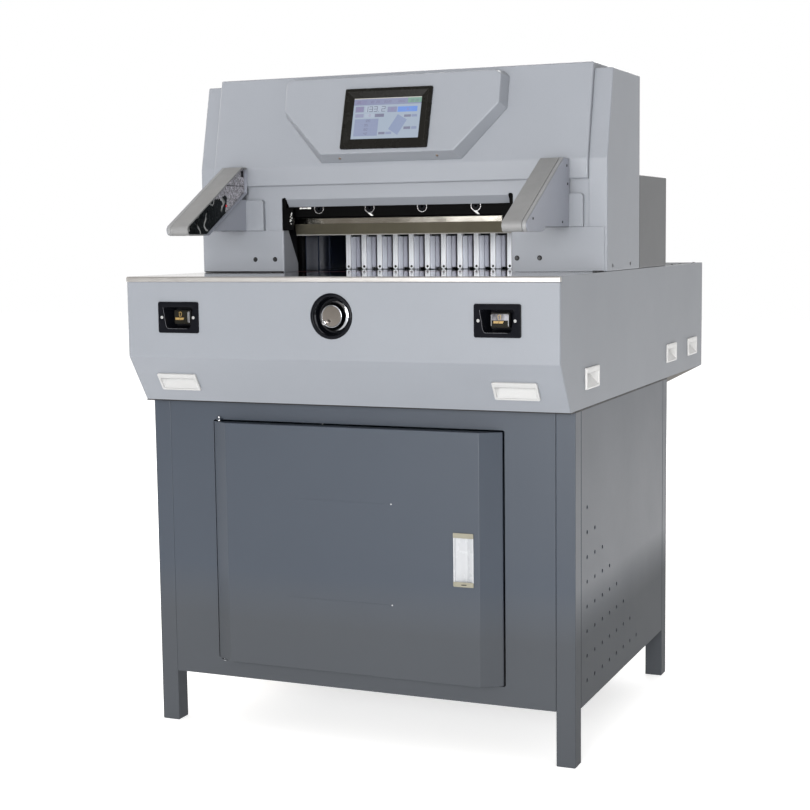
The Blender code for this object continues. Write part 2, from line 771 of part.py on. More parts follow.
def make_side_panel(name, side, material):
    """Side sheet between the legs, with a triangle of air holes that is tall at the front."""
    front, back = side_panel_span()
    outer = side * HALF_WIDTH
    inner = side * (HALF_WIDTH - SHEET)
    panel = finish(
        name,
        box_mesh((min(outer, inner), front, LEG_CLEAR), (max(outer, inner), back, BASE_TOP)),
        material,
    )
    holes = bmesh.new()
    for column in range(HOLE_COLUMNS):
        for row in range(HOLE_COLUMNS - column):
            centre = (
                inner,
                BASE_FRONT + HOLE_FIRST_BACK + column * HOLE_PITCH_Y,
                HOLE_FIRST_Z + row * HOLE_PITCH_Z,
            )
            rod(holes, centre, "X", HOLE_RADIUS, -OVERRUN, OVERRUN, HOLE_SIDES)
    cut(panel, holes)
    return panel


def inlet_seat():
    """Where the power inlet sits on the base back."""
    return Seat((INLET_SIDE, BASE_BACK, INLET_LEVEL), (-1, 0, 0), (0, 0, 1), (0, 1, 0))


def make_rear_panel(material):
    """Back sheet of the base with the hole of the power inlet."""
    half = HALF_WIDTH - LEG - GAP
    panel = finish(
        "rear_panel",
        box_mesh((-half, BASE_BACK - SHEET, LEG_CLEAR), (half, BASE_BACK, BASE_TOP)),
        material,
    )
    hole = bmesh.new()
    width = INLET_WIDTH - INLET_LIP * 2 + GAP * 2
    height = INLET_HEIGHT - INLET_LIP * 2 + GAP * 2
    add_seat_box(hole, inlet_seat(), width, height, -OVERRUN, OVERRUN)
    cut(panel, hole)
    return panel


def make_power_inlet(material):
    """Appliance inlet with an empty mouth."""
    return recess_cup(
        "power_inlet",
        inlet_seat(),
        (INLET_WIDTH, INLET_HEIGHT, INLET_FLANGE),
        (INLET_WIDTH - INLET_LIP * 2, INLET_HEIGHT - INLET_LIP * 2, -INLET_DEPTH),
        (INLET_MOUTH_WIDTH, INLET_MOUTH_HEIGHT, INLET_FLANGE),
        (INLET_MOUTH_WIDTH, INLET_MOUTH_HEIGHT, -INLET_MOUTH_DEPTH),
        material,
    )


def make_base_floor(material):
    """Loose shelf on the lower ring of rails, let in between the legs."""
    half, front, back = base_ring_sizes()
    low = LEG_CLEAR + RAIL + GAP
    high = low + FLOOR_THICKNESS
    notch = LEG + GAP - (HALF_WIDTH - half)
    deep = LEG + GAP - SHEET - GAP
    outline = []
    for x_sign, y_sign in ((-1, -1), (1, -1), (1, 1), (-1, 1)):
        edge_x = x_sign * half
        edge_y = front if y_sign < 0 else back
        in_x = (x_sign * (half - notch), edge_y)
        in_both = (x_sign * (half - notch), edge_y - y_sign * (deep + GAP))
        in_y = (edge_x, edge_y - y_sign * (deep + GAP))
        corner = [in_y, in_both, in_x]
        outline += corner if x_sign * y_sign > 0 else corner[::-1]
    return finish("base_floor", prism_mesh(outline, "Z", low, high), material)


# Door


def door_outline(inset):
    """Plan outline of the door pan, or of its hollow when it is inset by the sheet."""
    half = DOOR_WIDTH / 2 - inset
    bevel = math.hypot(DOOR_BEVEL, DOOR_STAND_OUT - DOOR_FLANGE)
    drop = inset * (bevel - (DOOR_STAND_OUT - DOOR_FLANGE)) / DOOR_BEVEL
    face = BASE_FRONT - DOOR_STAND_OUT + inset
    flat = half - DOOR_BEVEL + inset - inset * (bevel - DOOR_BEVEL) / (DOOR_STAND_OUT - DOOR_FLANGE)
    edge = BASE_FRONT - DOOR_FLANGE + drop
    back = BASE_FRONT + SHEET
    if inset:
        back += OVERRUN
    return [(-half, back), (-half, edge), (-flat, face), (flat, face), (half, edge), (half, back)]


def door_pull_seat():
    """Where the pull sits on the door's face."""
    across = DOOR_WIDTH / 2 - PULL_FROM_EDGE
    return Seat((across, BASE_FRONT - DOOR_STAND_OUT, PULL_LEVEL), *FRONT_WAYS)


def make_door(material):
    """Pan door with bevelled sides, open at the back, with pin holes in its end walls."""
    door = finish("door", prism_mesh(door_outline(0), "Z", DOOR_BOTTOM, DOOR_TOP), material)
    cut(door, prism_mesh(door_outline(SHEET), "Z", DOOR_BOTTOM + SHEET, DOOR_TOP - SHEET))
    holes = bmesh.new()
    for level in (DOOR_BOTTOM, DOOR_TOP):
        rod(holes, (HINGE_X, HINGE_Y, level), "Z", PIN_RADIUS + GAP, -OVERRUN, OVERRUN)
    width = PULL_WIDTH - PULL_LIP * 2 + GAP * 2
    height = PULL_HEIGHT - PULL_LIP * 2 + GAP * 2
    add_seat_box(holes, door_pull_seat(), width, height, -OVERRUN, OVERRUN)
    cut(door, holes)
    return door


def make_door_pin(material):
    """Long pin through both lugs and both end walls of the door."""
    upper, lower = hinge_lug_levels()
    mesh_data = bmesh.new()
    start = lower - PIN_PROUD
    end = upper + LUG_THICKNESS + PIN_PROUD
    rod(mesh_data, (HINGE_X, HINGE_Y, 0), "Z", PIN_RADIUS, start, end)
    return finish("door_pin", mesh_data, material, math.radians(40))


def make_door_pull(material):
    """Flush pull: an upright channel closed by a cap at each end."""
    return recess_cup(
        "door_pull",
        door_pull_seat(),
        (PULL_WIDTH, PULL_HEIGHT, PULL_FLANGE),
        (PULL_WIDTH - PULL_LIP * 2, PULL_HEIGHT - PULL_LIP * 2, -PULL_DEPTH),
        (PULL_WIDTH - PULL_LIP * 2 - PULL_WALL * 2, PULL_HEIGHT - PULL_END * 2, PULL_FLANGE),
        (
            PULL_WIDTH - PULL_LIP * 2 - PULL_WALL * 2 - PULL_TAPER * 2,
            PULL_HEIGHT - PULL_END * 2,
            PULL_WALL - PULL_DEPTH,
        ),
        material,
    )


# Table housing


def apron_slope():
    """Run and drop of the apron's lower face, and its length."""
    run, drop = APRON_INSET, APRON_FOLD - HOUSING_BOTTOM
    return run, drop, math.hypot(run, drop)


def front_grip_seat(side):
    """Where a finger pull sits on the apron's lower face."""
    run, drop, length = apron_slope()
    depth = run * GRIP_FRONT_SHARE
    level = APRON_FOLD - drop * GRIP_FRONT_SHARE
    up = (0, -run / length, drop / length)
    out = (0, -drop / length, -run / length)
    return Seat((side * GRIP_FRONT_SIDE, at_depth(depth), level), (1, 0, 0), up, out)


def side_grip_seat(side, depth):
    """Where a finger pull sits on a housing side."""
    centre = (side * HALF_WIDTH, at_depth(depth), GRIP_SIDE_LEVEL)
    return Seat(centre, (0, side, 0), (0, 0, 1), (side, 0, 0))


def cut_key_seat(side):
    """Where a cut key unit sits on the apron."""
    return Seat((side * KEY_SIDE, FRONT_Y, KEY_LEVEL), *FRONT_WAYS)


def add_grip_hole(mesh_data, seat):
    """The hole that takes a finger pull's cup."""
    width = GRIP_WIDTH - GRIP_LIP * 2 + GAP * 2
    height = GRIP_HEIGHT - GRIP_LIP * 2 + GAP * 2
    add_seat_box(mesh_data, seat, width, height, -OVERRUN, OVERRUN)


def make_finger_pull(name, seat, material):
    """White moulded finger pull."""
    cup_width = GRIP_WIDTH - GRIP_LIP * 2
    cup_height = GRIP_HEIGHT - GRIP_LIP * 2
    mouth_width = GRIP_WIDTH - GRIP_RIM * 2
    mouth_height = GRIP_HEIGHT - GRIP_RIM * 2
    return recess_cup(
        name,
        seat,
        (GRIP_WIDTH, GRIP_HEIGHT, GRIP_FLANGE),
        (cup_width, cup_height, -GRIP_DEPTH),
        (mouth_width, mouth_height, GRIP_FLANGE),
        (mouth_width - GRIP_TAPER * 2, mouth_height - GRIP_TAPER, GRIP_WALL - GRIP_DEPTH),
        material,
    )


def make_apron(material):
    """Folded front sheet with the holes of the keys, the hand wheel and two finger pulls."""
    top = TABLE_UNDER - GAP
    path = [
        (at_depth(APRON_INSET + APRON_RETURN), HOUSING_BOTTOM),
        (at_depth(APRON_INSET), HOUSING_BOTTOM),
        (FRONT_Y, APRON_FOLD),
        (FRONT_Y, top),
    ]
    outline = folded_sheet(path, -SHEET)
    apron = finish("apron", prism_mesh(outline, "X", -INNER_HALF, INNER_HALF), material)
    holes = bmesh.new()
    for side in (LEFT, RIGHT):
        add_grip_hole(holes, front_grip_seat(side))
        width = BEZEL_CUP_WIDTH + GAP * 2
        height = BEZEL_CUP_HEIGHT + GAP * 2
        add_seat_box(holes, cut_key_seat(side), width, height, -OVERRUN, OVERRUN)
    centre = (0, FRONT_Y, WHEEL_LEVEL)
    rod(holes, centre, "Y", CUP_BACK_RADIUS + GAP, -OVERRUN, OVERRUN, ROUND_STEPS)
    cut(apron, holes)
    return apron


def make_skirt(name, side, material):
    """Side sheet of the housing with three finger pull holes."""
    step_back = at_depth(TRIM_DEPTH + GAP)
    outline = [
        (step_back, TABLE_TOP),
        (step_back, TABLE_UNDER - GAP),
        (FRONT_Y, TABLE_UNDER - GAP),
        (FRONT_Y, APRON_FOLD),
        (at_depth(APRON_INSET), HOUSING_BOTTOM),
        (HOUSING_BACK, HOUSING_BOTTOM),
        (HOUSING_BACK, TABLE_TOP),
    ]
    outer = side * HALF_WIDTH
    inner = side * (HALF_WIDTH - SHEET)
    skirt = finish(name, prism_mesh(outline, "X", min(outer, inner), max(outer, inner)), material)
    holes = bmesh.new()
    for depth in GRIP_SIDE_DEPTHS:
        add_grip_hole(holes, side_grip_seat(side, depth))
    cut(skirt, holes)
    return skirt


def make_rear_deck(material):
    """Top and back of the rear housing as one folded sheet."""
    path = [
        (at_depth(TABLE_DEPTH + GAP), TABLE_TOP),
        (HOUSING_BACK, TABLE_TOP),
        (HOUSING_BACK, HOUSING_BOTTOM),
        (HOUSING_BACK - REAR_RETURN, HOUSING_BOTTOM),
    ]
    outline = folded_sheet(path, -SHEET)
    return finish("rear_deck", prism_mesh(outline, "X", -INNER_HALF, INNER_HALF), material)


def make_table_plate(material):
    """Polished table with the groove of the cutting stick and the slot of the back gauge."""
    table = finish(
        "table_plate",
        box_mesh(
            (-INNER_HALF, at_depth(TRIM_DEPTH + GAP), TABLE_UNDER),
            (INNER_HALF, at_depth(TABLE_DEPTH), TABLE_TOP),
        ),
        material,
    )
    cuts = bmesh.new()
    half_stick = STICK_WIDTH / 2 + GAP
    half_length = STICK_HALF_LENGTH + GAP
    add_box(
        cuts,
        (-half_length, KNIFE_BACK - half_stick, TABLE_TOP - STICK_DEEP),
        (half_length, KNIFE_BACK + half_stick, TABLE_TOP + OVERRUN),
    )
    slot_front = at_depth(GAUGE_BAR_FRONT - GAUGE_FORWARD - SLOT_END_ROOM)
    slot_back = at_depth(GAUGE_BAR_BACK + GAUGE_REARWARD + SLOT_END_ROOM)
    add_box(
        cuts,
        (-SLOT_HALF_WIDTH, slot_front, TABLE_UNDER - OVERRUN),
        (SLOT_HALF_WIDTH, slot_back, TABLE_TOP + OVERRUN),
    )
    cut(table, cuts)
    return table


def make_cutting_stick(material):
    """Plastic stick that the knife edge comes down on."""
    half = STICK_WIDTH / 2
    return finish(
        "cutting_stick",
        box_mesh(
            (-STICK_HALF_LENGTH, KNIFE_BACK - half, TABLE_TOP - STICK_DEEP + GAP),
            (STICK_HALF_LENGTH, KNIFE_BACK + half, TABLE_TOP),
        ),
        material,
    )


def make_front_trim(material):
    """Bright strip along the table's front edge."""
    outline = [
        (FRONT_Y - TRIM_PROUD, TABLE_TOP - TRIM_HEIGHT),
        (FRONT_Y - TRIM_PROUD, TABLE_TOP - TRIM_ROUND),
        (FRONT_Y - TRIM_PROUD + TRIM_ROUND, TABLE_TOP),
        (at_depth(TRIM_DEPTH), TABLE_TOP),
        (at_depth(TRIM_DEPTH), TABLE_TOP - TRIM_HEIGHT),
    ]
    return finish("front_trim", prism_mesh(outline, "X", -HALF_WIDTH, HALF_WIDTH), material)


def make_cut_bezel(name, side, material):
    """Key housing: a deep pocket whose floor guides the key's stem."""
    return recess_cup(
        name,
        cut_key_seat(side),
        (BEZEL_WIDTH, BEZEL_HEIGHT, BEZEL_PROUD),
        (BEZEL_CUP_WIDTH, BEZEL_CUP_HEIGHT, -BEZEL_DEPTH),
        (POCKET_WIDTH, POCKET_HEIGHT, BEZEL_PROUD),
        (POCKET_FLOOR_WIDTH, POCKET_FLOOR_HEIGHT, -POCKET_DEPTH),
        material,
        hole=KEY_STEM + GAP * 2,
    )


def make_cut_key(name, side, material):
    """Push key with its square stem."""
    seat = cut_key_seat(side)
    front = -KEY_SET_BACK
    back = front - KEY_THICKNESS
    end = -BEZEL_DEPTH - KEY_STEM_REACH
    mesh_data = bmesh.new()
    join_loops(mesh_data, [
        seat.rectangle(KEY_WIDTH, KEY_HEIGHT, front),
        seat.rectangle(KEY_WIDTH, KEY_HEIGHT, back),
        seat.rectangle(KEY_STEM, KEY_STEM, back),
        seat.rectangle(KEY_STEM, KEY_STEM, end),
    ])
    key = finish(name, mesh_data, material)
    return hang(key, axis_empty(name + "_axis", seat.centre))


def make_wheel_cup(material):
    """Black cup that the hand wheel stands in."""
    mesh_data = bmesh.new()
    bore = GAUGE_SCREW_RADIUS + SCREW_FIT
    profile = (
        (CUP_MOUTH_RADIUS, -CUP_PROUD),
        (CUP_RADIUS - CUP_EDGE, -CUP_PROUD),
        (CUP_RADIUS, -CUP_EDGE),
        (CUP_RADIUS, -GAP),
        (CUP_BACK_RADIUS, -GAP),
        (CUP_BACK_RADIUS, CUP_FLOOR_DEPTH + CUP_THICKNESS),
        (bore, CUP_FLOOR_DEPTH + CUP_THICKNESS),
        (bore, CUP_FLOOR_DEPTH),
        (CUP_FLOOR_RADIUS, CUP_FLOOR_DEPTH),
    )
    turn(mesh_data, (0, FRONT_Y, WHEEL_LEVEL), "Y", profile, ROUND_STEPS, closed=True)
    return finish("wheel_cup", mesh_data, material, math.radians(40))


def make_hand_wheel(material):
    """Chrome hand wheel with a flared base."""
    mesh_data = bmesh.new()
    profile = (
        (WHEEL_FACE_RADIUS, 0),
        (WHEEL_RIM_RADIUS, WHEEL_RIM_DEEP),
        (WHEEL_BASE_RADIUS, WHEEL_BASE_START),
        (WHEEL_BASE_RADIUS, WHEEL_BASE_END),
        (WHEEL_HUB_RADIUS, WHEEL_BASE_END),
        (WHEEL_HUB_RADIUS, WHEEL_DEPTH),
    )
    turn(mesh_data, (0, FRONT_Y, WHEEL_LEVEL), "Y", profile, ROUND_STEPS)
    return finish("hand_wheel", mesh_data, material, math.radians(40))


def make_finger_grip(material):
    """Small turning grip on the hand wheel's face."""
    mesh_data = bmesh.new()
    profile = (
        (GRIP_PIN_RADIUS, -GAP),
        (GRIP_PIN_RADIUS, -GRIP_PIN_NECK),
        (GRIP_PIN_HEAD, -GRIP_PIN_REACH + GRIP_PIN_CROWN),
        (GRIP_PIN_RADIUS, -GRIP_PIN_REACH),
    )
    centre = (GRIP_PIN_OFFSET_X, FRONT_Y, WHEEL_LEVEL + GRIP_PIN_OFFSET_Z)
    turn(mesh_data, centre, "Y", profile, SMALL_STEPS)
    return finish("finger_grip", mesh_data, material, math.radians(40))


# Head covers


def hood_outline(inset):
    """Side outline of the hood, or of its hollow, which is open below."""
    front = HEAD_FRONT - HOOD_PROUD
    slope = math.hypot(HEAD_LEAN, HOOD_TOP - HEAD_FOLD)
    tangent = (slope - (HOOD_TOP - HEAD_FOLD)) / HEAD_LEAN
    bottom = HOOD_BOTTOM - (OVERRUN if inset else 0)
    top_front = front + HEAD_LEAN + inset * slope / (HOOD_TOP - HEAD_FOLD)
    top_front -= inset * HEAD_LEAN / (HOOD_TOP - HEAD_FOLD)
    return [
        (front + inset, bottom),
        (front + inset, HEAD_FOLD - inset * tangent),
        (top_front, HOOD_TOP - inset),
        (HEAD_BACK - inset, HOOD_TOP - inset),
        (HEAD_BACK - inset, bottom),
    ]


def make_hood(material):
    """Upper head cover: front, top, back and narrow sides, open below."""
    half = HOOD_HALF_WIDTH
    hood = finish("hood", prism_mesh(hood_outline(0), "X", -half, half), material)
    cut(hood, prism_mesh(hood_outline(SHEET), "X", -half + SHEET, half - SHEET))
    return hood


def side_cover_outline(inset):
    """Side outline of a head side cover, or of its hollow, which is open below."""
    slope = math.hypot(HEAD_LEAN, HEAD_TOP - HEAD_FOLD)
    tangent = (slope - (HEAD_TOP - HEAD_FOLD)) / HEAD_LEAN
    bottom = TABLE_TOP + GAP - (OVERRUN if inset else 0)
    top_front = HEAD_FRONT + HEAD_LEAN + inset * slope / (HEAD_TOP - HEAD_FOLD)
    top_front -= inset * HEAD_LEAN / (HEAD_TOP - HEAD_FOLD)
    return [
        (HEAD_FRONT + inset, bottom),
        (HEAD_FRONT + inset, HEAD_FOLD - inset * tangent),
        (top_front, HEAD_TOP - inset),
        (HEAD_BACK - inset, HEAD_TOP - inset),
        (HEAD_BACK - inset, bottom),
    ]


def make_side_cover(name, side, material):
    """Head side cover: a side plate with its front, top and back flanges."""
    inner = HOOD_HALF_WIDTH + GAP
    low, high = sorted((side * inner, side * HALF_WIDTH))
    cover = finish(name, prism_mesh(side_cover_outline(0), "X", low, high), material)
    hollow = sorted((side * (inner - OVERRUN), side * (HALF_WIDTH - SHEET)))
    cut(cover, prism_mesh(side_cover_outline(SHEET), "X", *hollow))
    return cover


def make_front_cover(material):
    """Lower head cover with the throat opening, its lip and the two arm bosses."""
    bottom = TABLE_TOP + GAP
    half = HOOD_HALF_WIDTH
    step = HOOD_BOTTOM - GAP
    behind = half - SHEET - GAP
    outline = [
        (-half, bottom),
        (-OPENING_HALF_WIDTH, bottom),
        (-OPENING_HALF_WIDTH, SLOT_TOP),
        (-LIP_HALF_WIDTH, SLOT_TOP),
        (-LIP_HALF_WIDTH, LIP_FOLD),
        (LIP_HALF_WIDTH, LIP_FOLD),
        (LIP_HALF_WIDTH, SLOT_TOP),
        (OPENING_HALF_WIDTH, SLOT_TOP),
        (OPENING_HALF_WIDTH, bottom),
        (half, bottom),
        (half, step),
        (behind, step),
        (behind, FRONT_COVER_TOP),
        (-behind, FRONT_COVER_TOP),
        (-behind, step),
        (-half, step),
    ]
    front, back = HEAD_FRONT, HEAD_FRONT + SHEET
    cover = finish("front_cover", prism_mesh(outline, "Y", front, back), material)
    tuck = SHEET / 8
    path = [
        (front + tuck, SLOT_TOP),
        (front + tuck, LIP_FOLD),
        (front + LIP_DEEP, LIP_BOTTOM),
    ]
    lip = folded_sheet(path, SHEET - tuck * 2)
    weld(cover, prism_mesh(lip, "X", -LIP_HALF_WIDTH + tuck, LIP_HALF_WIDTH - tuck))
    bosses = bmesh.new()
    for side in (LEFT, RIGHT):
        centre = side * BOSS_CENTRE
        add_box(
            bosses,
            (centre - BOSS_HALF_WIDTH, front - BOSS_PROUD, GUARD_TOP + GAP),
            (centre + BOSS_HALF_WIDTH, front + BOSS_ROOT, BOSS_TOP),
        )
    weld(cover, bosses)
    return cover


def make_guard(name, side, material):
    """Corner guard: a front plate and a return into the throat with a sloping edge."""
    face = HEAD_FRONT - GAP - SHEET
    bottom = TABLE_TOP + GAP
    inner = OPENING_HALF_WIDTH - GUARD_CLEAR
    low, high = sorted((side * inner, side * GUARD_OUTER))
    guard = finish(name, box_mesh((low, face, bottom), (high, face + SHEET, GUARD_TOP)), material)
    tuck = SHEET / 8
    outline = [
        (face + tuck, bottom + tuck),
        (face + tuck, GUARD_TOP - tuck),
        (face + GUARD_RETURN_TOP, GUARD_TOP - tuck),
        (face + GUARD_RETURN_DEEP, GUARD_RETURN_CORNER),
        (face + GUARD_RETURN_DEEP, bottom + tuck),
    ]
    wall = sorted((side * (inner + tuck), side * (inner - SHEET + tuck)))
    weld(guard, prism_mesh(outline, "X", *wall))
    return guard


def make_rear_box(material):
    """Cover over the rear table, open towards the head and below."""
    low = (-HALF_WIDTH, HEAD_BACK + GAP, TABLE_TOP + GAP)
    high = (HALF_WIDTH, at_depth(TABLE_DEPTH), REAR_BOX_TOP)
    box = finish("rear_box", box_mesh(low, high), material)
    hollow = box_mesh(
        (low[0] + SHEET, low[1] - OVERRUN, low[2] - OVERRUN),
        (high[0] - SHEET, high[1] - SHEET, high[2] - SHEET),
    )
    cut(box, hollow)
    return box


# Light guard arms


def arm_points():
    """Side outline of an arm: a leaning bar with a rounded nose."""
    rear = HEAD_FRONT - HOOD_PROUD - GAP
    nose = ARM_NOSE_ROUND
    centre = (at_depth(ARM_NOSE_FRONT) + nose, ARM_NOSE_LOW + nose)
    slope = math.atan2(ARM_TOP - ARM_NOSE_TOP, ARM_TOP_FRONT - ARM_NOSE_FRONT)
    points = [
        (rear, ARM_REAR_LOW),
        (rear, ARM_TOP - ARM_SHELL),
        (rear - ARM_SHELL, ARM_TOP),
        (at_depth(ARM_TOP_FRONT), ARM_TOP),
    ]
    first = math.pi / 2 + slope
    last = math.pi * 3 / 2
    for step in range(6):
        angle = first + (last - first) * step / 5
        points.append((centre[0] + nose * math.cos(angle), centre[1] + nose * math.sin(angle)))
    points.append((at_depth(ARM_HEEL), ARM_NOSE_LOW))
    return points


def shrink(points, inset):
    """An outline moved inwards by a wall, for outlines that run anticlockwise or clockwise."""
    count = len(points)
    vectors = [Vector(point) for point in points]
    area = sum(
        vectors[index].x * vectors[(index + 1) % count].y
        - vectors[(index + 1) % count].x * vectors[index].y
        for index in range(count)
    )
    turn_way = 1 if area > 0 else -1
    result = []
    for index in range(count):
        before = (vectors[index] - vectors[index - 1]).normalized()
        after = (vectors[(index + 1) % count] - vectors[index]).normalized()
        normal_before = Vector((-before.y, before.x)) * turn_way
        normal_after = Vector((-after.y, after.x)) * turn_way
        mitre = (normal_before + normal_after).normalized()
        result.append(tuple(vectors[index] + mitre * (inset / mitre.dot(normal_after))))
    return result


def arm_span(side):
    """Inner and outer X of an arm."""
    return side * ARM_INNER, side * (ARM_INNER + ARM_THICKNESS)


def make_arm_shell(name, side, material):
    """Arm shell with a shallow window seat in its inner face."""
    inner, outer = arm_span(side)
    shell = finish(name, prism_mesh(arm_points(), "X", *sorted((inner, outer))), material)
    seat_end = inner + side * (WINDOW_RECESS + WINDOW_THICKNESS + GAP)
    seat = sorted((inner - side * OVERRUN, seat_end))
    cut(shell, prism_mesh(shrink(arm_points(), ARM_SHELL), "X", *seat))
    return shell


def make_arm_window(name, side, material):
    """Smoked window over the light cells."""
    inner, _ = arm_span(side)
    start = inner + side * WINDOW_RECESS
    end = start + side * WINDOW_THICKNESS
    outline = shrink(arm_points(), ARM_SHELL + GAP)
    return finish(name, prism_mesh(outline, "X", *sorted((start, end))), material)


def make_arm_bracket(name, side, material):
    """Painted wedge that carries an arm from its boss."""
    inner, outer = arm_span(side)
    heel = at_depth(ARM_HEEL)
    share = (ARM_REAR_LOW - ARM_NOSE_LOW) / (HEAD_FRONT - HOOD_PROUD - GAP - heel)
    drop = GAP * math.hypot(1, share)
    rear = HEAD_FRONT - BOSS_PROUD - GAP

    def under_arm(level):
        return heel + (level + drop - ARM_NOSE_LOW) / share

    outline = [
        (under_arm(BRACKET_BOTTOM), BRACKET_BOTTOM),
        (rear, BRACKET_BOTTOM),
        (rear, BRACKET_TOP),
        (under_arm(BRACKET_TOP), BRACKET_TOP),
    ]
    return finish(name, prism_mesh(outline, "X", *sorted((inner, outer))), material)


# Operator display


def hood_slope_seat(lift=0.0):
    """The hood's sloping front: origin at the fold, height direction up the slope."""
    rise = HOOD_TOP - HEAD_FOLD
    length = math.hypot(HEAD_LEAN, rise)
    up = Vector((0, HEAD_LEAN / length, rise / length))
    out = Vector((0, -rise / length, HEAD_LEAN / length))
    origin = Vector((PANEL_SHIFT, HEAD_FRONT - HOOD_PROUD, HEAD_FOLD)) + out * lift
    return Seat(origin, (1, 0, 0), up, out)


def panel_outline(inset, foot_inset):
    """Eight-cornered outline of the raised display panel."""
    bottom = PANEL_BOTTOM_HALF - inset
    side = PANEL_SIDE_HALF - inset
    top = PANEL_TOP_HALF - inset
    slope = math.hypot(HEAD_LEAN, HEAD_UPPER)
    foot = slope * PANEL_FOOT_SHARE + foot_inset
    low_side = slope * PANEL_SIDE_FOOT_SHARE + inset / 2
    high_side = slope * PANEL_SIDE_TOP_SHARE - inset / 4
    head = slope * PANEL_HEAD_SHARE - inset / 2
    return [
        (-bottom, foot),
        (bottom, foot),
        (side, low_side),
        (side, high_side),
        (top, head),
        (-top, head),
        (-side, high_side),
        (-side, low_side),
    ]


def make_display_panel(material):
    """Raised panel with sloping edges that carries the display."""
    seat = hood_slope_seat()
    mesh_data = bmesh.new()
    join_loops(mesh_data, [
        seat.outline(panel_outline(0, 0), GAP),
        seat.outline(panel_outline(PANEL_BEVEL, PANEL_FOOT_BEVEL), PANEL_RISE),
    ])
    return finish("display_panel", mesh_data, material)


def display_seat():
    """The panel's face under the display, with its origin at the display's centre."""
    seat = hood_slope_seat(PANEL_RISE)
    slope = math.hypot(HEAD_LEAN, HEAD_UPPER)
    seat.centre = seat.centre + seat.height_way * slope * DISPLAY_SHARE
    return seat


def make_display_bezel(material):
    """Black frame round the screen, falling to the glass."""
    seat = display_seat()
    width, height = DISPLAY_WIDTH, DISPLAY_HEIGHT
    thick = DISPLAY_THICKNESS
    loops = [
        seat.rectangle(width, height, GAP),
        seat.rectangle(width, height, thick - DISPLAY_EDGE),
        seat.rectangle(width - DISPLAY_EDGE * 2, height - DISPLAY_EDGE * 2, thick),
        seat.rectangle(SCREEN_WIDTH, SCREEN_HEIGHT, thick - SCREEN_SINK + DISPLAY_EDGE),
        seat.rectangle(SCREEN_WIDTH, SCREEN_HEIGHT, GAP),
    ]
    mesh_data = bmesh.new()
    join_loops(mesh_data, loops, closed=True)
    return finish("display_bezel", mesh_data, material)


def make_screen(material):
    """Touch screen glass inside the bezel."""
    seat = display_seat()
    mesh_data = bmesh.new()
    width = SCREEN_WIDTH - GAP * 2
    height = SCREEN_HEIGHT - GAP * 2
    add_seat_box(mesh_data, seat, width, height, GAP, GAP + SCREEN_THICKNESS)
    return finish("screen", mesh_data, material)


# Press frame, knife and clamp


def groove(front, back):
    """Front and back edge of a guide groove round a tongue."""
    return front - TONGUE_CLEAR, back + TONGUE_CLEAR


def knife_tongue():
    """Front and back of the knife beam's tongues."""
    back = SCREW_Y + KNIFE_TONGUE_THICKNESS / 2
    return back - KNIFE_TONGUE_THICKNESS, back


def clamp_tongue():
    """Front and back of the clamp's tongues."""
    front = at_depth(CLAMP_TONGUE_FRONT)
    return front, front + CLAMP_TONGUE_THICKNESS


def make_press_frame(material):
    """Two side plates with guide grooves, tied by the top beam that holds the screws."""
    bottom = TABLE_TOP + GAP
    inner, outer = FRAME_INNER, FRAME_INNER + FRAME_THICKNESS
    deep = inner + GROOVE_DEPTH
    knife_front, knife_back = groove(*knife_tongue())
    clamp_front, clamp_back = groove(*clamp_tongue())
    front, back = at_depth(FRAME_FRONT), at_depth(FRAME_BACK)
    plan = [
        (inner, front), (inner, knife_front), (deep, knife_front), (deep, knife_back),
        (inner, knife_back), (inner, clamp_front), (deep, clamp_front), (deep, clamp_back),
        (inner, clamp_back), (inner, back), (outer, back), (outer, front),
    ]
    top_cut = FRAME_TOP - BEAM_INSET
    frame = finish("press_frame", prism_mesh(plan, "Z", bottom, top_cut), material)
    weld(frame, prism_mesh([(-x, y) for x, y in plan], "Z", bottom, top_cut))
    half = outer - BEAM_INSET
    beam = box_mesh((-half, at_depth(BEAM_FRONT), BEAM_BOTTOM), (half, back - BEAM_INSET, FRAME_TOP))
    weld(frame, beam)
    holes = bmesh.new()
    centre_low = (BEAM_BOTTOM + FRAME_TOP) / 2
    reach = (FRAME_TOP - BEAM_BOTTOM) / 2 + OVERRUN
    places = (
        (-SCREW_SIDE, SCREW_Y, KNIFE_SCREW_RADIUS),
        (SCREW_SIDE, CLAMP_Y, CLAMP_SCREW_RADIUS),
        (-SCREW_SIDE, at_depth(MOTOR_SETBACK), MOTOR_SHAFT_RADIUS),
    )
    for x, y, radius in places:
        rod(holes, (x, y, centre_low), "Z", radius + SCREW_FIT, -reach, reach)
    cut(frame, holes)
    return frame


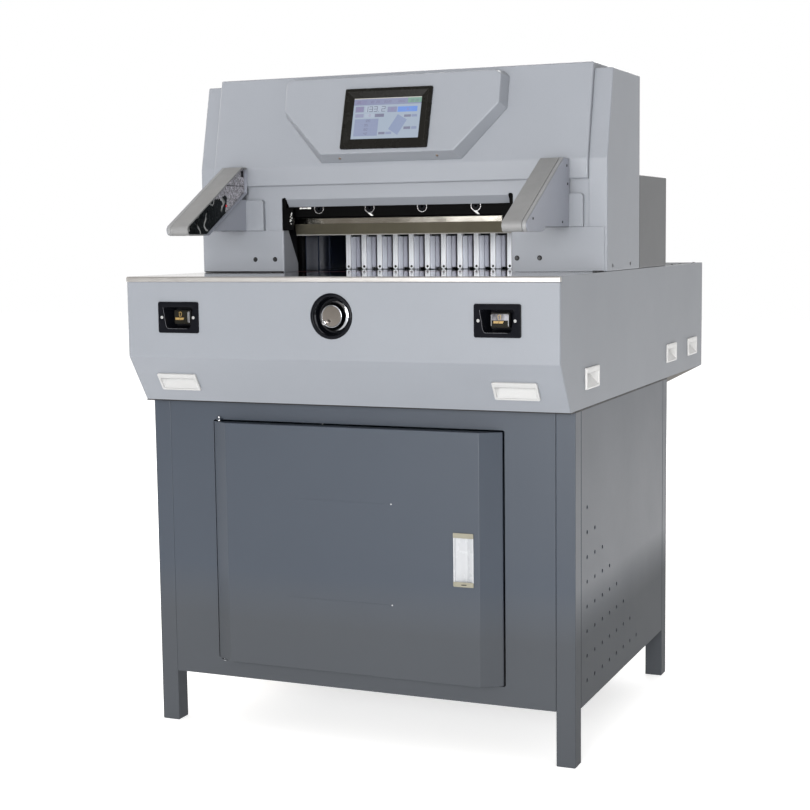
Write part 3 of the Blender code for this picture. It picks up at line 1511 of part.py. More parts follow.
def make_knife_beam(material):
    """Knife beam with guide tongues and a blind hole for its screw."""
    front, back = at_depth(KNIFE_BEAM_FRONT), KNIFE_FRONT - GAP
    half = KNIFE_HALF_WIDTH
    chamfer = KNIFE_BEAM_CHAMFER
    outline = [
        (front + chamfer, KNIFE_BEAM_BOTTOM),
        (back, KNIFE_BEAM_BOTTOM),
        (back, KNIFE_BEAM_TOP),
        (front, KNIFE_BEAM_TOP),
        (front, KNIFE_BEAM_BOTTOM + chamfer),
    ]
    beam = finish("knife_beam", prism_mesh(outline, "X", -half, half), material)
    tongue_front, tongue_back = knife_tongue()
    reach = FRAME_INNER + GROOVE_DEPTH - TONGUE_CLEAR
    weld(beam, box_mesh(
        (-reach, tongue_front, KNIFE_TONGUE_BOTTOM),
        (reach, tongue_back, KNIFE_BEAM_TOP - BEAM_INSET),
    ))
    hole = bmesh.new()
    start = KNIFE_SCREW_BOTTOM - SCREW_ROOM
    centre = (-SCREW_SIDE, SCREW_Y, 0)
    rod(hole, centre, "Z", KNIFE_SCREW_RADIUS + SCREW_FIT, start, KNIFE_BEAM_TOP + OVERRUN)
    cut(beam, hole)
    return beam


def make_knife(material):
    """Knife with its ground bevel towards the operator."""
    bevel_top = KNIFE_EDGE + KNIFE_BEVEL
    outline = [
        (KNIFE_BACK, KNIFE_EDGE),
        (KNIFE_BACK, KNIFE_TOP),
        (KNIFE_FRONT, KNIFE_TOP),
        (KNIFE_FRONT, bevel_top),
        (KNIFE_BACK - KNIFE_LAND, KNIFE_EDGE),
    ]
    half = KNIFE_HALF_WIDTH
    return finish("knife", prism_mesh(outline, "X", -half, half), material)


def make_knife_screw(material):
    """Screw that drives the knife beam, with its belt pulley."""
    mesh_data = bmesh.new()
    profile = (
        (KNIFE_SCREW_RADIUS, KNIFE_SCREW_BOTTOM),
        (KNIFE_SCREW_RADIUS, PULLEY_BOTTOM),
        (PULLEY_RADIUS, PULLEY_BOTTOM),
        (PULLEY_RADIUS, PULLEY_TOP),
    )
    turn(mesh_data, (-SCREW_SIDE, SCREW_Y, 0), "Z", profile, SMALL_STEPS)
    return finish("knife_screw", mesh_data, material, math.radians(40))


def make_clamp_beam(material):
    """Clamp with guide tongues and the nut hole of its screw."""
    front = at_depth(CLAMP_FRONT)
    half = KNIFE_HALF_WIDTH
    beam = finish(
        "clamp_beam",
        box_mesh((-half, front, CLAMP_BOTTOM), (half, front + CLAMP_THICKNESS, CLAMP_TOP)),
        material,
    )
    tongue_front, tongue_back = clamp_tongue()
    reach = FRAME_INNER + GROOVE_DEPTH - TONGUE_CLEAR
    weld(beam, box_mesh(
        (-reach, tongue_front, CLAMP_BOTTOM + BEAM_INSET),
        (reach, tongue_back, CLAMP_TOP - BEAM_INSET),
    ))
    hole = bmesh.new()
    centre = (SCREW_SIDE, CLAMP_Y, 0)
    start, end = CLAMP_BOTTOM - OVERRUN, CLAMP_TOP + OVERRUN
    rod(hole, centre, "Z", CLAMP_SCREW_RADIUS + SCREW_FIT, start, end)
    cut(beam, hole)
    return beam


def make_clamp_screw(material):
    """Screw that drives the clamp, with its head above the top beam."""
    mesh_data = bmesh.new()
    head = FRAME_TOP + GAP
    profile = (
        (CLAMP_SCREW_RADIUS, CLAMP_SCREW_BOTTOM),
        (CLAMP_SCREW_RADIUS, head),
        (CLAMP_SCREW_HEAD, head),
        (CLAMP_SCREW_HEAD, CLAMP_SCREW_HEAD_TOP),
    )
    turn(mesh_data, (SCREW_SIDE, CLAMP_Y, 0), "Z", profile, SMALL_STEPS)
    return finish("clamp_screw", mesh_data, material, math.radians(40))


def make_knife_motor(material):
    """Geared knife motor under the top beam, with its shaft and pulley."""
    mesh_data = bmesh.new()
    top = BEAM_BOTTOM - GAP
    profile = (
        (MOTOR_RADIUS, MOTOR_BOTTOM),
        (MOTOR_RADIUS, top),
        (MOTOR_SHAFT_RADIUS, top),
        (MOTOR_SHAFT_RADIUS, PULLEY_BOTTOM),
        (PULLEY_RADIUS, PULLEY_BOTTOM),
        (PULLEY_RADIUS, PULLEY_TOP),
    )
    turn(mesh_data, (-SCREW_SIDE, at_depth(MOTOR_SETBACK), 0), "Z", profile, SMALL_STEPS)
    return finish("knife_motor", mesh_data, material, math.radians(40))


def belt_outline(radius):
    """Plan of a belt round the two pulleys."""
    points = []
    half_turn = SMALL_STEPS // 2
    for step in range(half_turn + 1):
        angle = math.pi * step / half_turn
        y = at_depth(MOTOR_SETBACK) + radius * math.sin(angle)
        points.append((-SCREW_SIDE + radius * math.cos(angle), y))
    for step in range(half_turn + 1):
        angle = math.pi + math.pi * step / half_turn
        y = SCREW_Y + radius * math.sin(angle)
        points.append((-SCREW_SIDE + radius * math.cos(angle), y))
    return points


def make_drive_belt(material):
    """Belt from the motor's pulley to the knife screw's."""
    inner = (PULLEY_RADIUS + GAP) / math.cos(math.pi / SMALL_STEPS)
    low, high = PULLEY_BOTTOM + BELT_INSET, PULLEY_TOP - BELT_INSET
    loops = []
    for radius, level in (
        (inner, low), (inner, high), (inner + BELT_THICKNESS, high), (inner + BELT_THICKNESS, low)
    ):
        loops.append([(x, y, level) for x, y in belt_outline(radius)])
    mesh_data = bmesh.new()
    join_loops(mesh_data, loops, closed=True)
    return finish("drive_belt", mesh_data, material, math.radians(40))


# Bed and back gauge


def make_bed(material):
    """Cast ring under the table with the bearings of the gauge screw."""
    half = BED_HALF_WIDTH
    front, back = at_depth(BED_FRONT), at_depth(BED_BACK)
    outer = ((-half, front), (half, front), (half, back), (-half, back))
    wall = BED_WALL
    inner = (
        (-half + wall, front + wall),
        (half - wall, front + wall),
        (half - wall, back - wall),
        (-half + wall, back - wall),
    )
    top = TABLE_UNDER - SHEET - GAP * 2
    loops = []
    for outline, level in (
        (outer, HOUSING_BOTTOM), (outer, top), (inner, top), (inner, HOUSING_BOTTOM)
    ):
        loops.append([(x, y, level) for x, y in outline])
    mesh_data = bmesh.new()
    join_loops(mesh_data, loops, closed=True)
    bed = finish("bed", mesh_data, material)
    holes = bmesh.new()
    for y in (front, back - wall):
        centre = (0, y, WHEEL_LEVEL)
        bore = GAUGE_SCREW_RADIUS + SCREW_FIT
        rod(holes, centre, "Y", bore, -OVERRUN, wall + OVERRUN)
    shaft = (0, back - wall, WHEEL_LEVEL - GAUGE_MOTOR_DROP)
    rod(holes, shaft, "Y", MOTOR_SHAFT_RADIUS + SCREW_FIT, -OVERRUN, wall + OVERRUN)
    cut(bed, holes)
    return bed


def make_gauge_motor(material):
    """Stepping motor of the back gauge on the bed's back wall, with its shaft."""
    back = at_depth(BED_BACK - BED_WALL) - GAP
    level = WHEEL_LEVEL - GAUGE_MOTOR_DROP
    half = GAUGE_MOTOR_SIDE / 2
    motor = finish(
        "gauge_motor",
        box_mesh((-half, back - GAUGE_MOTOR_LENGTH, level - half), (half, back, level + half)),
        material,
    )
    shaft = bmesh.new()
    centre = (0, back, level)
    end = BED_WALL + GAUGE_MOTOR_SHAFT
    rod(shaft, centre, "Y", MOTOR_SHAFT_RADIUS, -OVERRUN, end)
    weld(motor, shaft)
    return motor


def make_gauge_screw(material):
    """Long screw from the hand wheel to the bed's back wall."""
    mesh_data = bmesh.new()
    start, end = WHEEL_DEPTH + GAP, GAUGE_SCREW_END
    centre = (0, FRONT_Y, WHEEL_LEVEL)
    rod(mesh_data, centre, "Y", GAUGE_SCREW_RADIUS, start, end)
    return finish("gauge_screw", mesh_data, material, math.radians(40))


def make_back_gauge(material):
    """Comb of upright fins on a cross bar, with its tongue and nut under the table."""
    face = at_depth(GAUGE_FACE)
    bar_front, bar_back = at_depth(GAUGE_BAR_FRONT), at_depth(GAUGE_BAR_BACK)
    span = GAUGE_SPAN
    left = -span / 2
    bottom = TABLE_TOP + GAUGE_FOOT_CLEAR
    gauge = finish(
        "back_gauge",
        box_mesh(
            (left, bar_front, GAUGE_CHANNEL_BOTTOM),
            (left + span, bar_back, GAUGE_CHANNEL_TOP),
        ),
        material,
    )
    ribs = bmesh.new()
    channels = bmesh.new()
    tuck = GAUGE_CHANNEL_DEPTH / 4
    for index in range(GAUGE_FINS):
        start = left + index * GAUGE_PITCH
        inner = start + GAUGE_RIB_WIDTH
        outer = start + GAUGE_FIN_WIDTH
        add_box(
            ribs,
            (start + tuck, face, bottom),
            (inner, bar_front + tuck, GAUGE_RIB_TOP),
        )
        add_box(
            channels,
            (inner - tuck, bar_front - GAUGE_CHANNEL_DEPTH, GAUGE_CHANNEL_BOTTOM + tuck),
            (outer - tuck, bar_front + tuck, GAUGE_CHANNEL_TOP - tuck),
        )
    weld(gauge, ribs)
    weld(gauge, channels)
    nut = bmesh.new()
    centre_y = (bar_front + bar_back) / 2
    add_box(
        nut,
        (-NUT_HALF, centre_y - NUT_DEPTH / 2, WHEEL_LEVEL - NUT_HALF),
        (NUT_HALF, centre_y + NUT_DEPTH / 2, WHEEL_LEVEL + NUT_HALF),
    )
    weld(gauge, nut)
    tongue = box_mesh(
        (-GAUGE_TONGUE_HALF, bar_front + tuck, WHEEL_LEVEL + NUT_HALF - tuck),
        (GAUGE_TONGUE_HALF, bar_back - tuck, GAUGE_CHANNEL_BOTTOM + tuck),
    )
    weld(gauge, tongue)
    bore = bmesh.new()
    reach = NUT_DEPTH / 2 + OVERRUN
    rod(bore, (0, centre_y, WHEEL_LEVEL), "Y", GAUGE_SCREW_RADIUS + SCREW_FIT, -reach, reach)
    cut(gauge, bore)
    return gauge


# Assembly


def make_materials():
    """The colours of the machine, read from the photograph."""
    return {
        "slate": paint("slate_paint", (0.125, 0.140, 0.165), 0.45),
        "grey": paint("grey_paint", (0.440, 0.465, 0.510), 0.45),
        "arm": paint("arm_plastic", (0.320, 0.320, 0.305), 0.50),
        "white": paint("white_plastic", (0.850, 0.850, 0.840), 0.40),
        "black": paint("black_plastic", (0.010, 0.010, 0.011), 0.35),
        "chrome": paint("chrome", (0.800, 0.790, 0.760), 0.12, 1.0),
        "steel": paint("polished_steel", (0.620, 0.610, 0.590), 0.18, 1.0),
        "cast": paint("dark_casting", (0.035, 0.038, 0.045), 0.50),
        "alloy": paint("alloy", (0.700, 0.710, 0.720), 0.32, 1.0),
        "red": paint("red_plastic", (0.500, 0.030, 0.030), 0.45),
        "glass": paint("smoked_glass", (0.040, 0.045, 0.050), 0.08),
        "screen": paint("screen_glass", (0.520, 0.580, 0.720), 0.15),
        "rubber": paint("belt_rubber", (0.020, 0.020, 0.020), 0.80),
    }


def build_base(tones):
    """The cabinet and its door."""
    make_base_frame(tones["slate"])
    make_front_panel(tones["slate"])
    make_side_panel("left_panel", LEFT, tones["slate"])
    make_side_panel("right_panel", RIGHT, tones["slate"])
    make_rear_panel(tones["slate"])
    make_power_inlet(tones["black"])
    make_base_floor(tones["slate"])
    make_door_pin(tones["steel"])
    hinge = axis_empty("door_axis", (HINGE_X, HINGE_Y, DOOR_BOTTOM))
    hang(make_door(tones["slate"]), hinge)
    hang(make_door_pull(tones["white"]), hinge)


def build_housing(tones):
    """The table housing with its controls."""
    make_apron(tones["grey"])
    make_rear_deck(tones["grey"])
    make_table_plate(tones["steel"])
    make_cutting_stick(tones["red"])
    make_front_trim(tones["chrome"])
    for side, word in ((LEFT, "left"), (RIGHT, "right")):
        make_skirt(word + "_skirt", side, tones["grey"])
        make_finger_pull("finger_pull_front_" + word, front_grip_seat(side), tones["white"])
        for number, depth in enumerate(GRIP_SIDE_DEPTHS, start=1):
            name = "finger_pull_" + word + "_" + str(number)
            make_finger_pull(name, side_grip_seat(side, depth), tones["white"])
        make_cut_bezel("cut_bezel_" + word, side, tones["black"])
        make_cut_key("cut_key_" + word, side, tones["black"])
    make_wheel_cup(tones["black"])
    wheel_axis = axis_empty("hand_wheel_axis", (0, FRONT_Y, WHEEL_LEVEL))
    hang(make_hand_wheel(tones["chrome"]), wheel_axis)
    hang(make_gauge_screw(tones["steel"]), wheel_axis)
    grip_place = (GRIP_PIN_OFFSET_X, FRONT_Y, WHEEL_LEVEL + GRIP_PIN_OFFSET_Z)
    hang(make_finger_grip(tones["chrome"]), axis_empty("finger_grip_axis", grip_place))


def build_head(tones):
    """The head covers, the arms and the display."""
    make_hood(tones["grey"])
    make_front_cover(tones["grey"])
    make_rear_box(tones["grey"])
    for side, word in ((LEFT, "left"), (RIGHT, "right")):
        make_side_cover("side_cover_" + word, side, tones["grey"])
        make_guard("guard_" + word, side, tones["grey"])
        make_arm_shell("arm_shell_" + word, side, tones["arm"])
        make_arm_window("arm_window_" + word, side, tones["glass"])
        make_arm_bracket("arm_bracket_" + word, side, tones["grey"])
    make_display_panel(tones["grey"])
    make_display_bezel(tones["black"])
    make_screen(tones["screen"])


def build_machine(tones):
    """The press frame, the knife, the clamp and the back gauge."""
    make_bed(tones["cast"])
    make_press_frame(tones["cast"])
    make_knife_motor(tones["cast"])
    make_drive_belt(tones["rubber"])
    make_gauge_motor(tones["cast"])
    knife_axis = axis_empty("knife_axis", (0, SCREW_Y, KNIFE_EDGE))
    hang(make_knife_beam(tones["cast"]), knife_axis)
    hang(make_knife(tones["steel"]), knife_axis)
    knife_screw_axis = axis_empty("knife_screw_axis", (-SCREW_SIDE, SCREW_Y, PULLEY_TOP))
    hang(make_knife_screw(tones["steel"]), knife_screw_axis)
    hang(make_clamp_beam(tones["cast"]), axis_empty("clamp_axis", (0, CLAMP_Y, CLAMP_BOTTOM)))
    clamp_screw_axis = axis_empty("clamp_screw_axis", (SCREW_SIDE, CLAMP_Y, CLAMP_SCREW_HEAD_TOP))
    hang(make_clamp_screw(tones["steel"]), clamp_screw_axis)
    gauge_axis = axis_empty("gauge_axis", (0, at_depth(GAUGE_FACE), WHEEL_LEVEL))
    hang(make_back_gauge(tones["alloy"]), gauge_axis)


def main():
    """Builds the whole machine."""
    start_scene()
    tones = make_materials()
    build_base(tones)
    build_housing(tones)
    build_head(tones)
    build_machine(tones)


main()
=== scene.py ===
"""Looks of an electric paper cutter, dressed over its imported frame.

Every size is in metres and every place is in the frame's own axes: X to the right, Y to the back
and Z up. Each sub-assembly is a class; main() builds them in order.
"""

import logging
import math
import random
from dataclasses import dataclass, field, replace
from enum import Enum
from typing import Iterable, Sequence

import bmesh
import bpy
from mathutils import Matrix, Vector


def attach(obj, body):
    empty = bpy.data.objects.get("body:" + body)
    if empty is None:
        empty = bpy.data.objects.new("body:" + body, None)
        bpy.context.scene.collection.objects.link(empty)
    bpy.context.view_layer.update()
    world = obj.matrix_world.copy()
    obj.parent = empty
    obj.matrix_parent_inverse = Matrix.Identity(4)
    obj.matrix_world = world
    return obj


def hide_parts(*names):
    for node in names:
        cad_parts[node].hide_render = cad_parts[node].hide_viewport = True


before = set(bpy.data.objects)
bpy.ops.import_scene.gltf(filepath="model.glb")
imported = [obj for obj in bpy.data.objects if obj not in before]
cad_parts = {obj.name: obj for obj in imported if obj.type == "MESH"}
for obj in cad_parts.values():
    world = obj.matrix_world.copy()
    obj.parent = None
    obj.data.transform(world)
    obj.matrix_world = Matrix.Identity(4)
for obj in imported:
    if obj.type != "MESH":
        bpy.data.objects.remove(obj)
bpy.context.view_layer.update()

LOG = logging.getLogger("paper_cutter")

# Places and walls that several sub-assemblies share
FRONT = -0.5615  # Y of the housing's front
TABLE = 0.908  # Z of the table
HALF = 0.44  # half of the machine's width
SHEET = 0.002  # wall of the sheet metal
GAP = 0.0003  # air between two pieces that meet
KEY_X, KEY_Z = 0.3245, 0.83  # middle of the right cut key
WHEEL_Z = 0.835  # axis of the gauge's hand wheel
PULL_DEPTHS = (0.193, 0.82, 1.025)  # depths of the finger pulls on a flank
PULL_HOLE = (0.0816, 0.0356)  # size of the hole behind a finger pull
HINGE = (-0.29, -0.4755)  # X and Y of the door's hinge
HINGE_BORE = 0.0028  # radius of its bores

WHITE = (1.0, 1.0, 1.0)

Colour = tuple[float, float, float]
Place = tuple[float, float, float]
Pair = tuple[float, float]
Loop = list[Vector]
Item = bpy.types.Object
Socket = bpy.types.NodeSocket


def at_depth(depth: float) -> float:
    """Give the Y of a depth that is counted back from the housing's front."""
    return FRONT + depth


class Body(Enum):
    """Bodies of the frame that pieces ride on."""

    MACHINE = "machine"
    DOOR = "door"
    KEY_LEFT = "cut_key_left"
    KEY_RIGHT = "cut_key_right"
    GAUGE = "gauge"
    WHEEL = "wheel"
    FINGER_GRIP = "finger_grip"
    KNIFE = "knife"


class Slot(Enum):
    """Material slots of the record."""

    SLATE = "slate_paint"
    GREY = "grey_paint"
    ARM = "arm_plastic"
    WHITE = "white_plastic"
    BLACK = "black_plastic"
    CHROME = "chrome"
    STEEL = "polished_steel"
    CASTING = "dark_casting"
    ALLOY = "alloy"
    RED = "red_plastic"
    GLASS = "smoked_glass"
    SCREEN = "screen_glass"
    RUBBER = "belt_rubber"


class Side(Enum):
    """Left and right hand of the machine, as the sign of X."""

    LEFT = -1
    RIGHT = 1

    @property
    def word(self) -> str:
        """Name of the side as the nodes spell it."""
        return self.name.lower()

    @property
    def other(self) -> "Side":
        """The opposite side."""
        return Side(-self.value)

    def span(self, first: float, second: float) -> Pair:
        """Give two distances from the middle as X on this side, the lower one first."""
        return min(self.value * first, self.value * second), max(self.value * first, self.value * second)


class Axis(Enum):
    """Axis that an outline is pulled along."""

    X = 0
    Y = 1
    Z = 2


class Recess(Enum):
    """Drive of a screw head."""

    CROSS = "cross"
    SLOT = "slot"
    SOCKET = "socket"


# Places and shapes


@dataclass(frozen=True)
class Seat:
    """A flat place on the machine with its own directions."""

    centre: Vector
    across: Vector
    up: Vector
    out: Vector

    def point(self, u: float, v: float, w: float = 0.0) -> Vector:
        """Give the world place of a point in the seat's directions."""
        return self.centre + self.across * u + self.up * v + self.out * w

    def outline(self, points: Iterable[Pair], w: float) -> Loop:
        """Give a flat outline at one height above the seat."""
        return [self.point(u, v, w) for u, v in points]

    def rectangle(self, width: float, height: float, w: float, radius: float = 0.0, steps: int = 0,
            shift: Pair = (0.0, 0.0)) -> Loop:
        """Give a rectangle about the centre."""
        return self.outline(rounded_rectangle(width, height, radius, steps, shift), w)

    def ring(self, radius: float, w: float, steps: int, shift: Pair = (0.0, 0.0)) -> Loop:
        """Give a circle above the seat, anticlockwise as seen from outside."""
        return self.outline(arc(shift, radius, 0.0, math.tau, steps)[:-1], w)

    def stack(self, steps: int, *rows: tuple) -> list[Loop]:
        """Give a rectangle for each row of width, height, height above the seat, radius and shift."""
        return [self.rectangle(*row[:4], steps, *row[4:]) for row in rows]

    def moved(self, u: float = 0.0, v: float = 0.0, w: float = 0.0) -> "Seat":
        """Give the same seat with its centre moved in its own directions."""
        return replace(self, centre=self.point(u, v, w))


def front_seat(x: float, z: float, y: float = FRONT) -> Seat:
    """Give a seat that looks to the front."""
    return Seat(Vector((x, y, z)), Vector((1, 0, 0)), Vector((0, 0, 1)), Vector((0, -1, 0)))


def side_seat(side: Side, y: float, z: float, x: float = HALF) -> Seat:
    """Give a seat on a flank, which looks left or right."""
    sign = side.value
    return Seat(Vector((sign * x, y, z)), Vector((0, sign, 0)), Vector((0, 0, 1)), Vector((sign, 0, 0)))


def back_seat(x: float, z: float, y: float) -> Seat:
    """Give a seat that looks to the back."""
    return Seat(Vector((x, y, z)), Vector((-1, 0, 0)), Vector((0, 0, 1)), Vector((0, 1, 0)))


def top_seat(x: float, y: float, z: float) -> Seat:
    """Give a seat that looks up."""
    return Seat(Vector((x, y, z)), Vector((1, 0, 0)), Vector((0, 1, 0)), Vector((0, 0, 1)))


def arc(centre: Pair, radius: float, start: float, turn: float, steps: int) -> list[Pair]:
    """Give the points of an arc from a start angle through a turn, both in radians."""
    angles = [start + turn * step / steps for step in range(steps + 1)]
    return [(centre[0] + radius * math.cos(angle), centre[1] + radius * math.sin(angle)) for angle in angles]


def rounded_rectangle(width: float, height: float, radius: float, steps: int,
        shift: Pair = (0.0, 0.0)) -> list[Pair]:
    """Give the points of a rectangle with rounded corners, anticlockwise.

    Args:
        width: Size across.
        height: Size up.
        radius: Corner radius.
        steps: Faces in each corner; 0 keeps the corners sharp.
        shift: Move of the middle, across and up.

    Returns:
        The points as pairs.
    """
    points = []
    u, v = width / 2 - (radius if steps else 0), height / 2 - (radius if steps else 0)
    for sign_u, sign_v, start in ((1, -1, -0.25), (1, 1, 0.0), (-1, 1, 0.25), (-1, -1, 0.5)):
        centre = (sign_u * u + shift[0], sign_v * v + shift[1])
        points += arc(centre, radius, math.tau * start, math.tau / 4, steps) if steps else [centre]
    return points


def rounded_path(points: Sequence[Pair], radius: float, steps: int = 4) -> list[Pair]:
    """Round the inner corners of an open path of straight lines.

    Args:
        points: Corners of the path.
        radius: Radius of each corner, made smaller where a line is short.
        steps: Faces in each corner.

    Returns:
        The rounded path.
    """
    corners = [Vector(point) for point in points]
    made: list[Pair] = [tuple(corners[0])]
    for previous, corner, following in zip(corners, corners[1:], corners[2:]):
        before, after = previous - corner, following - corner
        angle = before.angle(after)
        reach = min(radius / math.tan(angle / 2), before.length * 0.48, after.length * 0.48)
        if reach < 1e-6 or angle > math.pi - 0.01:
            made.append(tuple(corner))
            continue
        start, end = corner + before.normalized() * reach, corner + after.normalized() * reach
        real = reach * math.tan(angle / 2)
        middle = corner + (before.normalized()
            + after.normalized()).normalized() * (real / math.sin(angle / 2))
        for step in range(steps + 1):
            spoke = (start - middle).lerp(end - middle, step / steps)
            made.append(tuple(middle + spoke.normalized() * real))
    return made + [tuple(corners[-1])]


def thickened(path: Sequence[Pair], thickness: float) -> list[Pair]:
    """Give the closed outline of a sheet that is folded along a path.

    Args:
        path: The path of the sheet's one face.
        thickness: Wall to the left of the path; a negative one is to the right.

    Returns:
        The outline's points.
    """
    points = [Vector(point) for point in path]
    normals = []
    for first, second in zip(points, points[1:]):
        run = (second - first).normalized()
        normals.append(Vector((-run.y, run.x)))
    offset = [points[0] + normals[0] * thickness]
    for index in range(1, len(points) - 1):
        mitre = (normals[index - 1] + normals[index]).normalized()
        offset.append(points[index] + mitre * (thickness / mitre.dot(normals[index])))
    offset.append(points[-1] + normals[-1] * thickness)
    return [tuple(point) for point in points] + [tuple(point) for point in reversed(offset)]


def inset_outline(points: Sequence[Pair], inset: float) -> list[Pair]:
    """Move a closed outline inwards by an even distance.

    Args:
        points: The outline's points.
        inset: How far it moves.

    Returns:
        The smaller outline.
    """
    vectors = [Vector(point) for point in points]
    count = len(vectors)
    area = sum(vectors[i - 1].x * vectors[i].y - vectors[i].x * vectors[i - 1].y for i in range(count))
    way = 1 if area > 0 else -1
    made = []
    for index, point in enumerate(vectors):
        before = (point - vectors[index - 1]).normalized()
        after = (vectors[(index + 1) % count] - point).normalized()
        first = Vector((-before.y, before.x)) * way
        second = Vector((-after.y, after.x)) * way
        mitre = (first + second).normalized()
        made.append(tuple(point + mitre * (inset / max(mitre.dot(second), 0.2))))
    return made


class Draft:
    """Faces of one piece while it is being shaped."""

    def __init__(self) -> None:
        """Start with nothing."""
        self.mesh = bmesh.new()

    def loft(self, loops: Sequence[Sequence[Vector]], ring: bool = False) -> "Draft":
        """Skin a row of equal loops.

        Args:
            loops: The loops, in order.
            ring: Whether the last loop runs back into the first; if not, both ends are closed.

        Returns:
            The draft itself.
        """
        rows = [[self.mesh.verts.new(point) for point in loop] for loop in loops]
        pairs = list(zip(rows, rows[1:]))
        if ring:
            pairs.append((rows[-1], rows[0]))
        else:
            self.mesh.faces.new(rows[0][::-1])
            self.mesh.faces.new(rows[-1])
        for first, second in pairs:
            for index in range(len(first)):
                after = (index + 1) % len(first)
                self.mesh.faces.new((first[index], first[after], second[after], second[index]))
        return self

    def surface(self, rows: Sequence[Sequence[Vector]]) -> "Draft":
        """Skin a row of equal open lines as one open sheet.

        Args:
            rows: The lines, in order.

        Returns:
            The draft itself.
        """
        made = [[self.mesh.verts.new(point) for point in row] for row in rows]
        for first, second in zip(made, made[1:]):
            for index in range(len(first) - 1):
                self.mesh.faces.new((first[index], first[index + 1], second[index + 1], second[index]))
        return self

    def box(self, low: Sequence[float], high: Sequence[float]) -> "Draft":
        """Add a box from its lowest to its highest corner."""
        plan = ((low[0], low[1]), (high[0], low[1]), (high[0], high[1]), (low[0], high[1]))
        return self.prism(plan, Axis.Z, low[2], high[2])

    def prism(self, outline: Sequence[Pair], axis: Axis, start: float, end: float) -> "Draft":
        """Pull an outline along an axis; it is given in the other two axes, in their order.

        Args:
            outline: The outline's points.
            axis: Axis that it is pulled along.
            start: Where the piece begins on that axis.
            end: Where it ends.

        Returns:
            The draft itself.
        """
        def place(u: float, v: float, along: float) -> Vector:
            """Put the place along the axis between the other two."""
            return Vector({Axis.X: (along, u, v), Axis.Y: (u, along, v), Axis.Z: (u, v, along)}[axis])

        return self.loft([[place(u, v, along) for u, v in outline] for along in (start, end)])

    def slab(self, seat: Seat, width: float, height: float, start: float, end: float, radius: float = 0.0,
            steps: int = 0, shift: Pair = (0.0, 0.0)) -> "Draft":
        """Add a block on a seat, with rounded corners if it has a radius."""
        return self.loft([seat.rectangle(width, height, w, radius, steps, shift) for w in (start, end)])

    def turned(self, seat: Seat, profile: Sequence[Pair], steps: int, ring: bool = False,
            shift: Pair = (0.0, 0.0)) -> "Draft":
        """Add a turned shape; its profile gives radius and height above the seat."""
        return self.loft([seat.ring(radius, w, steps, shift) for radius, w in profile], ring)

    def strip(self, seat: Seat, path: Sequence[Pair], width: float, start: float, end: float) -> "Draft":
        """Add a raised line of an even width along a path on a seat.

        Args:
            seat: Where it lies.
            path: Its middle line, across and up.
            width: Its width.
            start: Height of its underside above the seat.
            end: Height of its top.

        Returns:
            The draft itself.
        """
        left, right = [], []
        points = [Vector(point) for point in path]
        for index, point in enumerate(points):
            run = points[min(index + 1, len(points) - 1)] - points[max(index - 1, 0)]
            normal = Vector((-run.y, run.x)).normalized() * width / 2
            left.append(point + normal)
            right.append(point - normal)
        outline = [tuple(p) for p in right] + [tuple(p) for p in reversed(left)]
        return self.loft([seat.outline(outline, start), seat.outline(outline, end)])

    def tinted(self, colour: Colour) -> "Draft":
        """Give every face that has no tint yet a colour in the picture attribute.

        Args:
            colour: The colour.

        Returns:
            The draft itself.
        """
        layer = self.mesh.loops.layers.float_color.get("picture")
        if layer is None:
            layer = self.mesh.loops.layers.float_color.new("picture")
        done = self.mesh.faces.layers.int.get("tinted") or self.mesh.faces.layers.int.new("tinted")
        for face in self.mesh.faces:
            if not face[done]:
                face[done] = 1
                for loop in face.loops:
                    loop[layer] = (*colour, 1.0)
        return self

    def item(self, name: str) -> Item:
        """Make an object of the faces, with its normals facing out.

        Args:
            name: Name of the object and its mesh.

        Returns:
            The object.
        """
        bmesh.ops.recalc_face_normals(self.mesh, faces=self.mesh.faces)
        data = bpy.data.meshes.new(name)
        self.mesh.to_mesh(data)
        self.mesh.free()
        return linked(name, data)


def linked(name: str, data: bpy.types.ID) -> Item:
    """Make an object of a mesh, a light or a camera and put it into the scene.

    Args:
        name: Name of the object.
        data: What it shows.

    Returns:
        The object.
    """
    made = bpy.data.objects.new(name, data)
    bpy.context.scene.collection.objects.link(made)
    return made


def point_cloud(name: str, points: Sequence[Sequence[float]]) -> bpy.types.Mesh:
    """Make a mesh of loose points.

    Args:
        name: Name of the mesh.
        points: Places of the points.

    Returns:
        The mesh.
    """
    data = bpy.data.meshes.new(name)
    data.from_pydata([tuple(point) for point in points], [], [])
    return data


def drop(item: Item) -> None:
    """Remove a helper object and its mesh.

    Args:
        item: The object.
    """
    data = item.data
    bpy.data.objects.remove(item, do_unlink=True)
    if isinstance(data, bpy.types.Mesh) and data.users == 0:
        bpy.data.meshes.remove(data)


def baked(item: Item) -> Item:
    """Turn an object's modifiers into plain mesh and remove them.

    Args:
        item: The object.

    Returns:
        The same object.
    """
    graph = bpy.context.evaluated_depsgraph_get()
    data = bpy.data.meshes.new_from_object(item.evaluated_get(graph), preserve_all_data_layers=True,
        depsgraph=graph)
    old = item.data
    item.modifiers.clear()
    item.data = data
    data.name = item.name
    if old.users == 0:
        bpy.data.meshes.remove(old)
    return item


def softened(item: Item, angle: float = 34.0) -> Item:
    """Shade a piece smoothly, but for its sharp edges, and weight its normals by face size.

    Args:
        item: The piece.
        angle: Angle below which faces shade as one, in degrees.

    Returns:
        The same piece.
    """
    item.data.shade_smooth()
    item.data.set_sharp_from_angle(angle=math.radians(angle))
    weigh = item.modifiers.new("weigh", "WEIGHTED_NORMAL")
    weigh.keep_sharp = True
    weigh.weight = 80
    return baked(item)


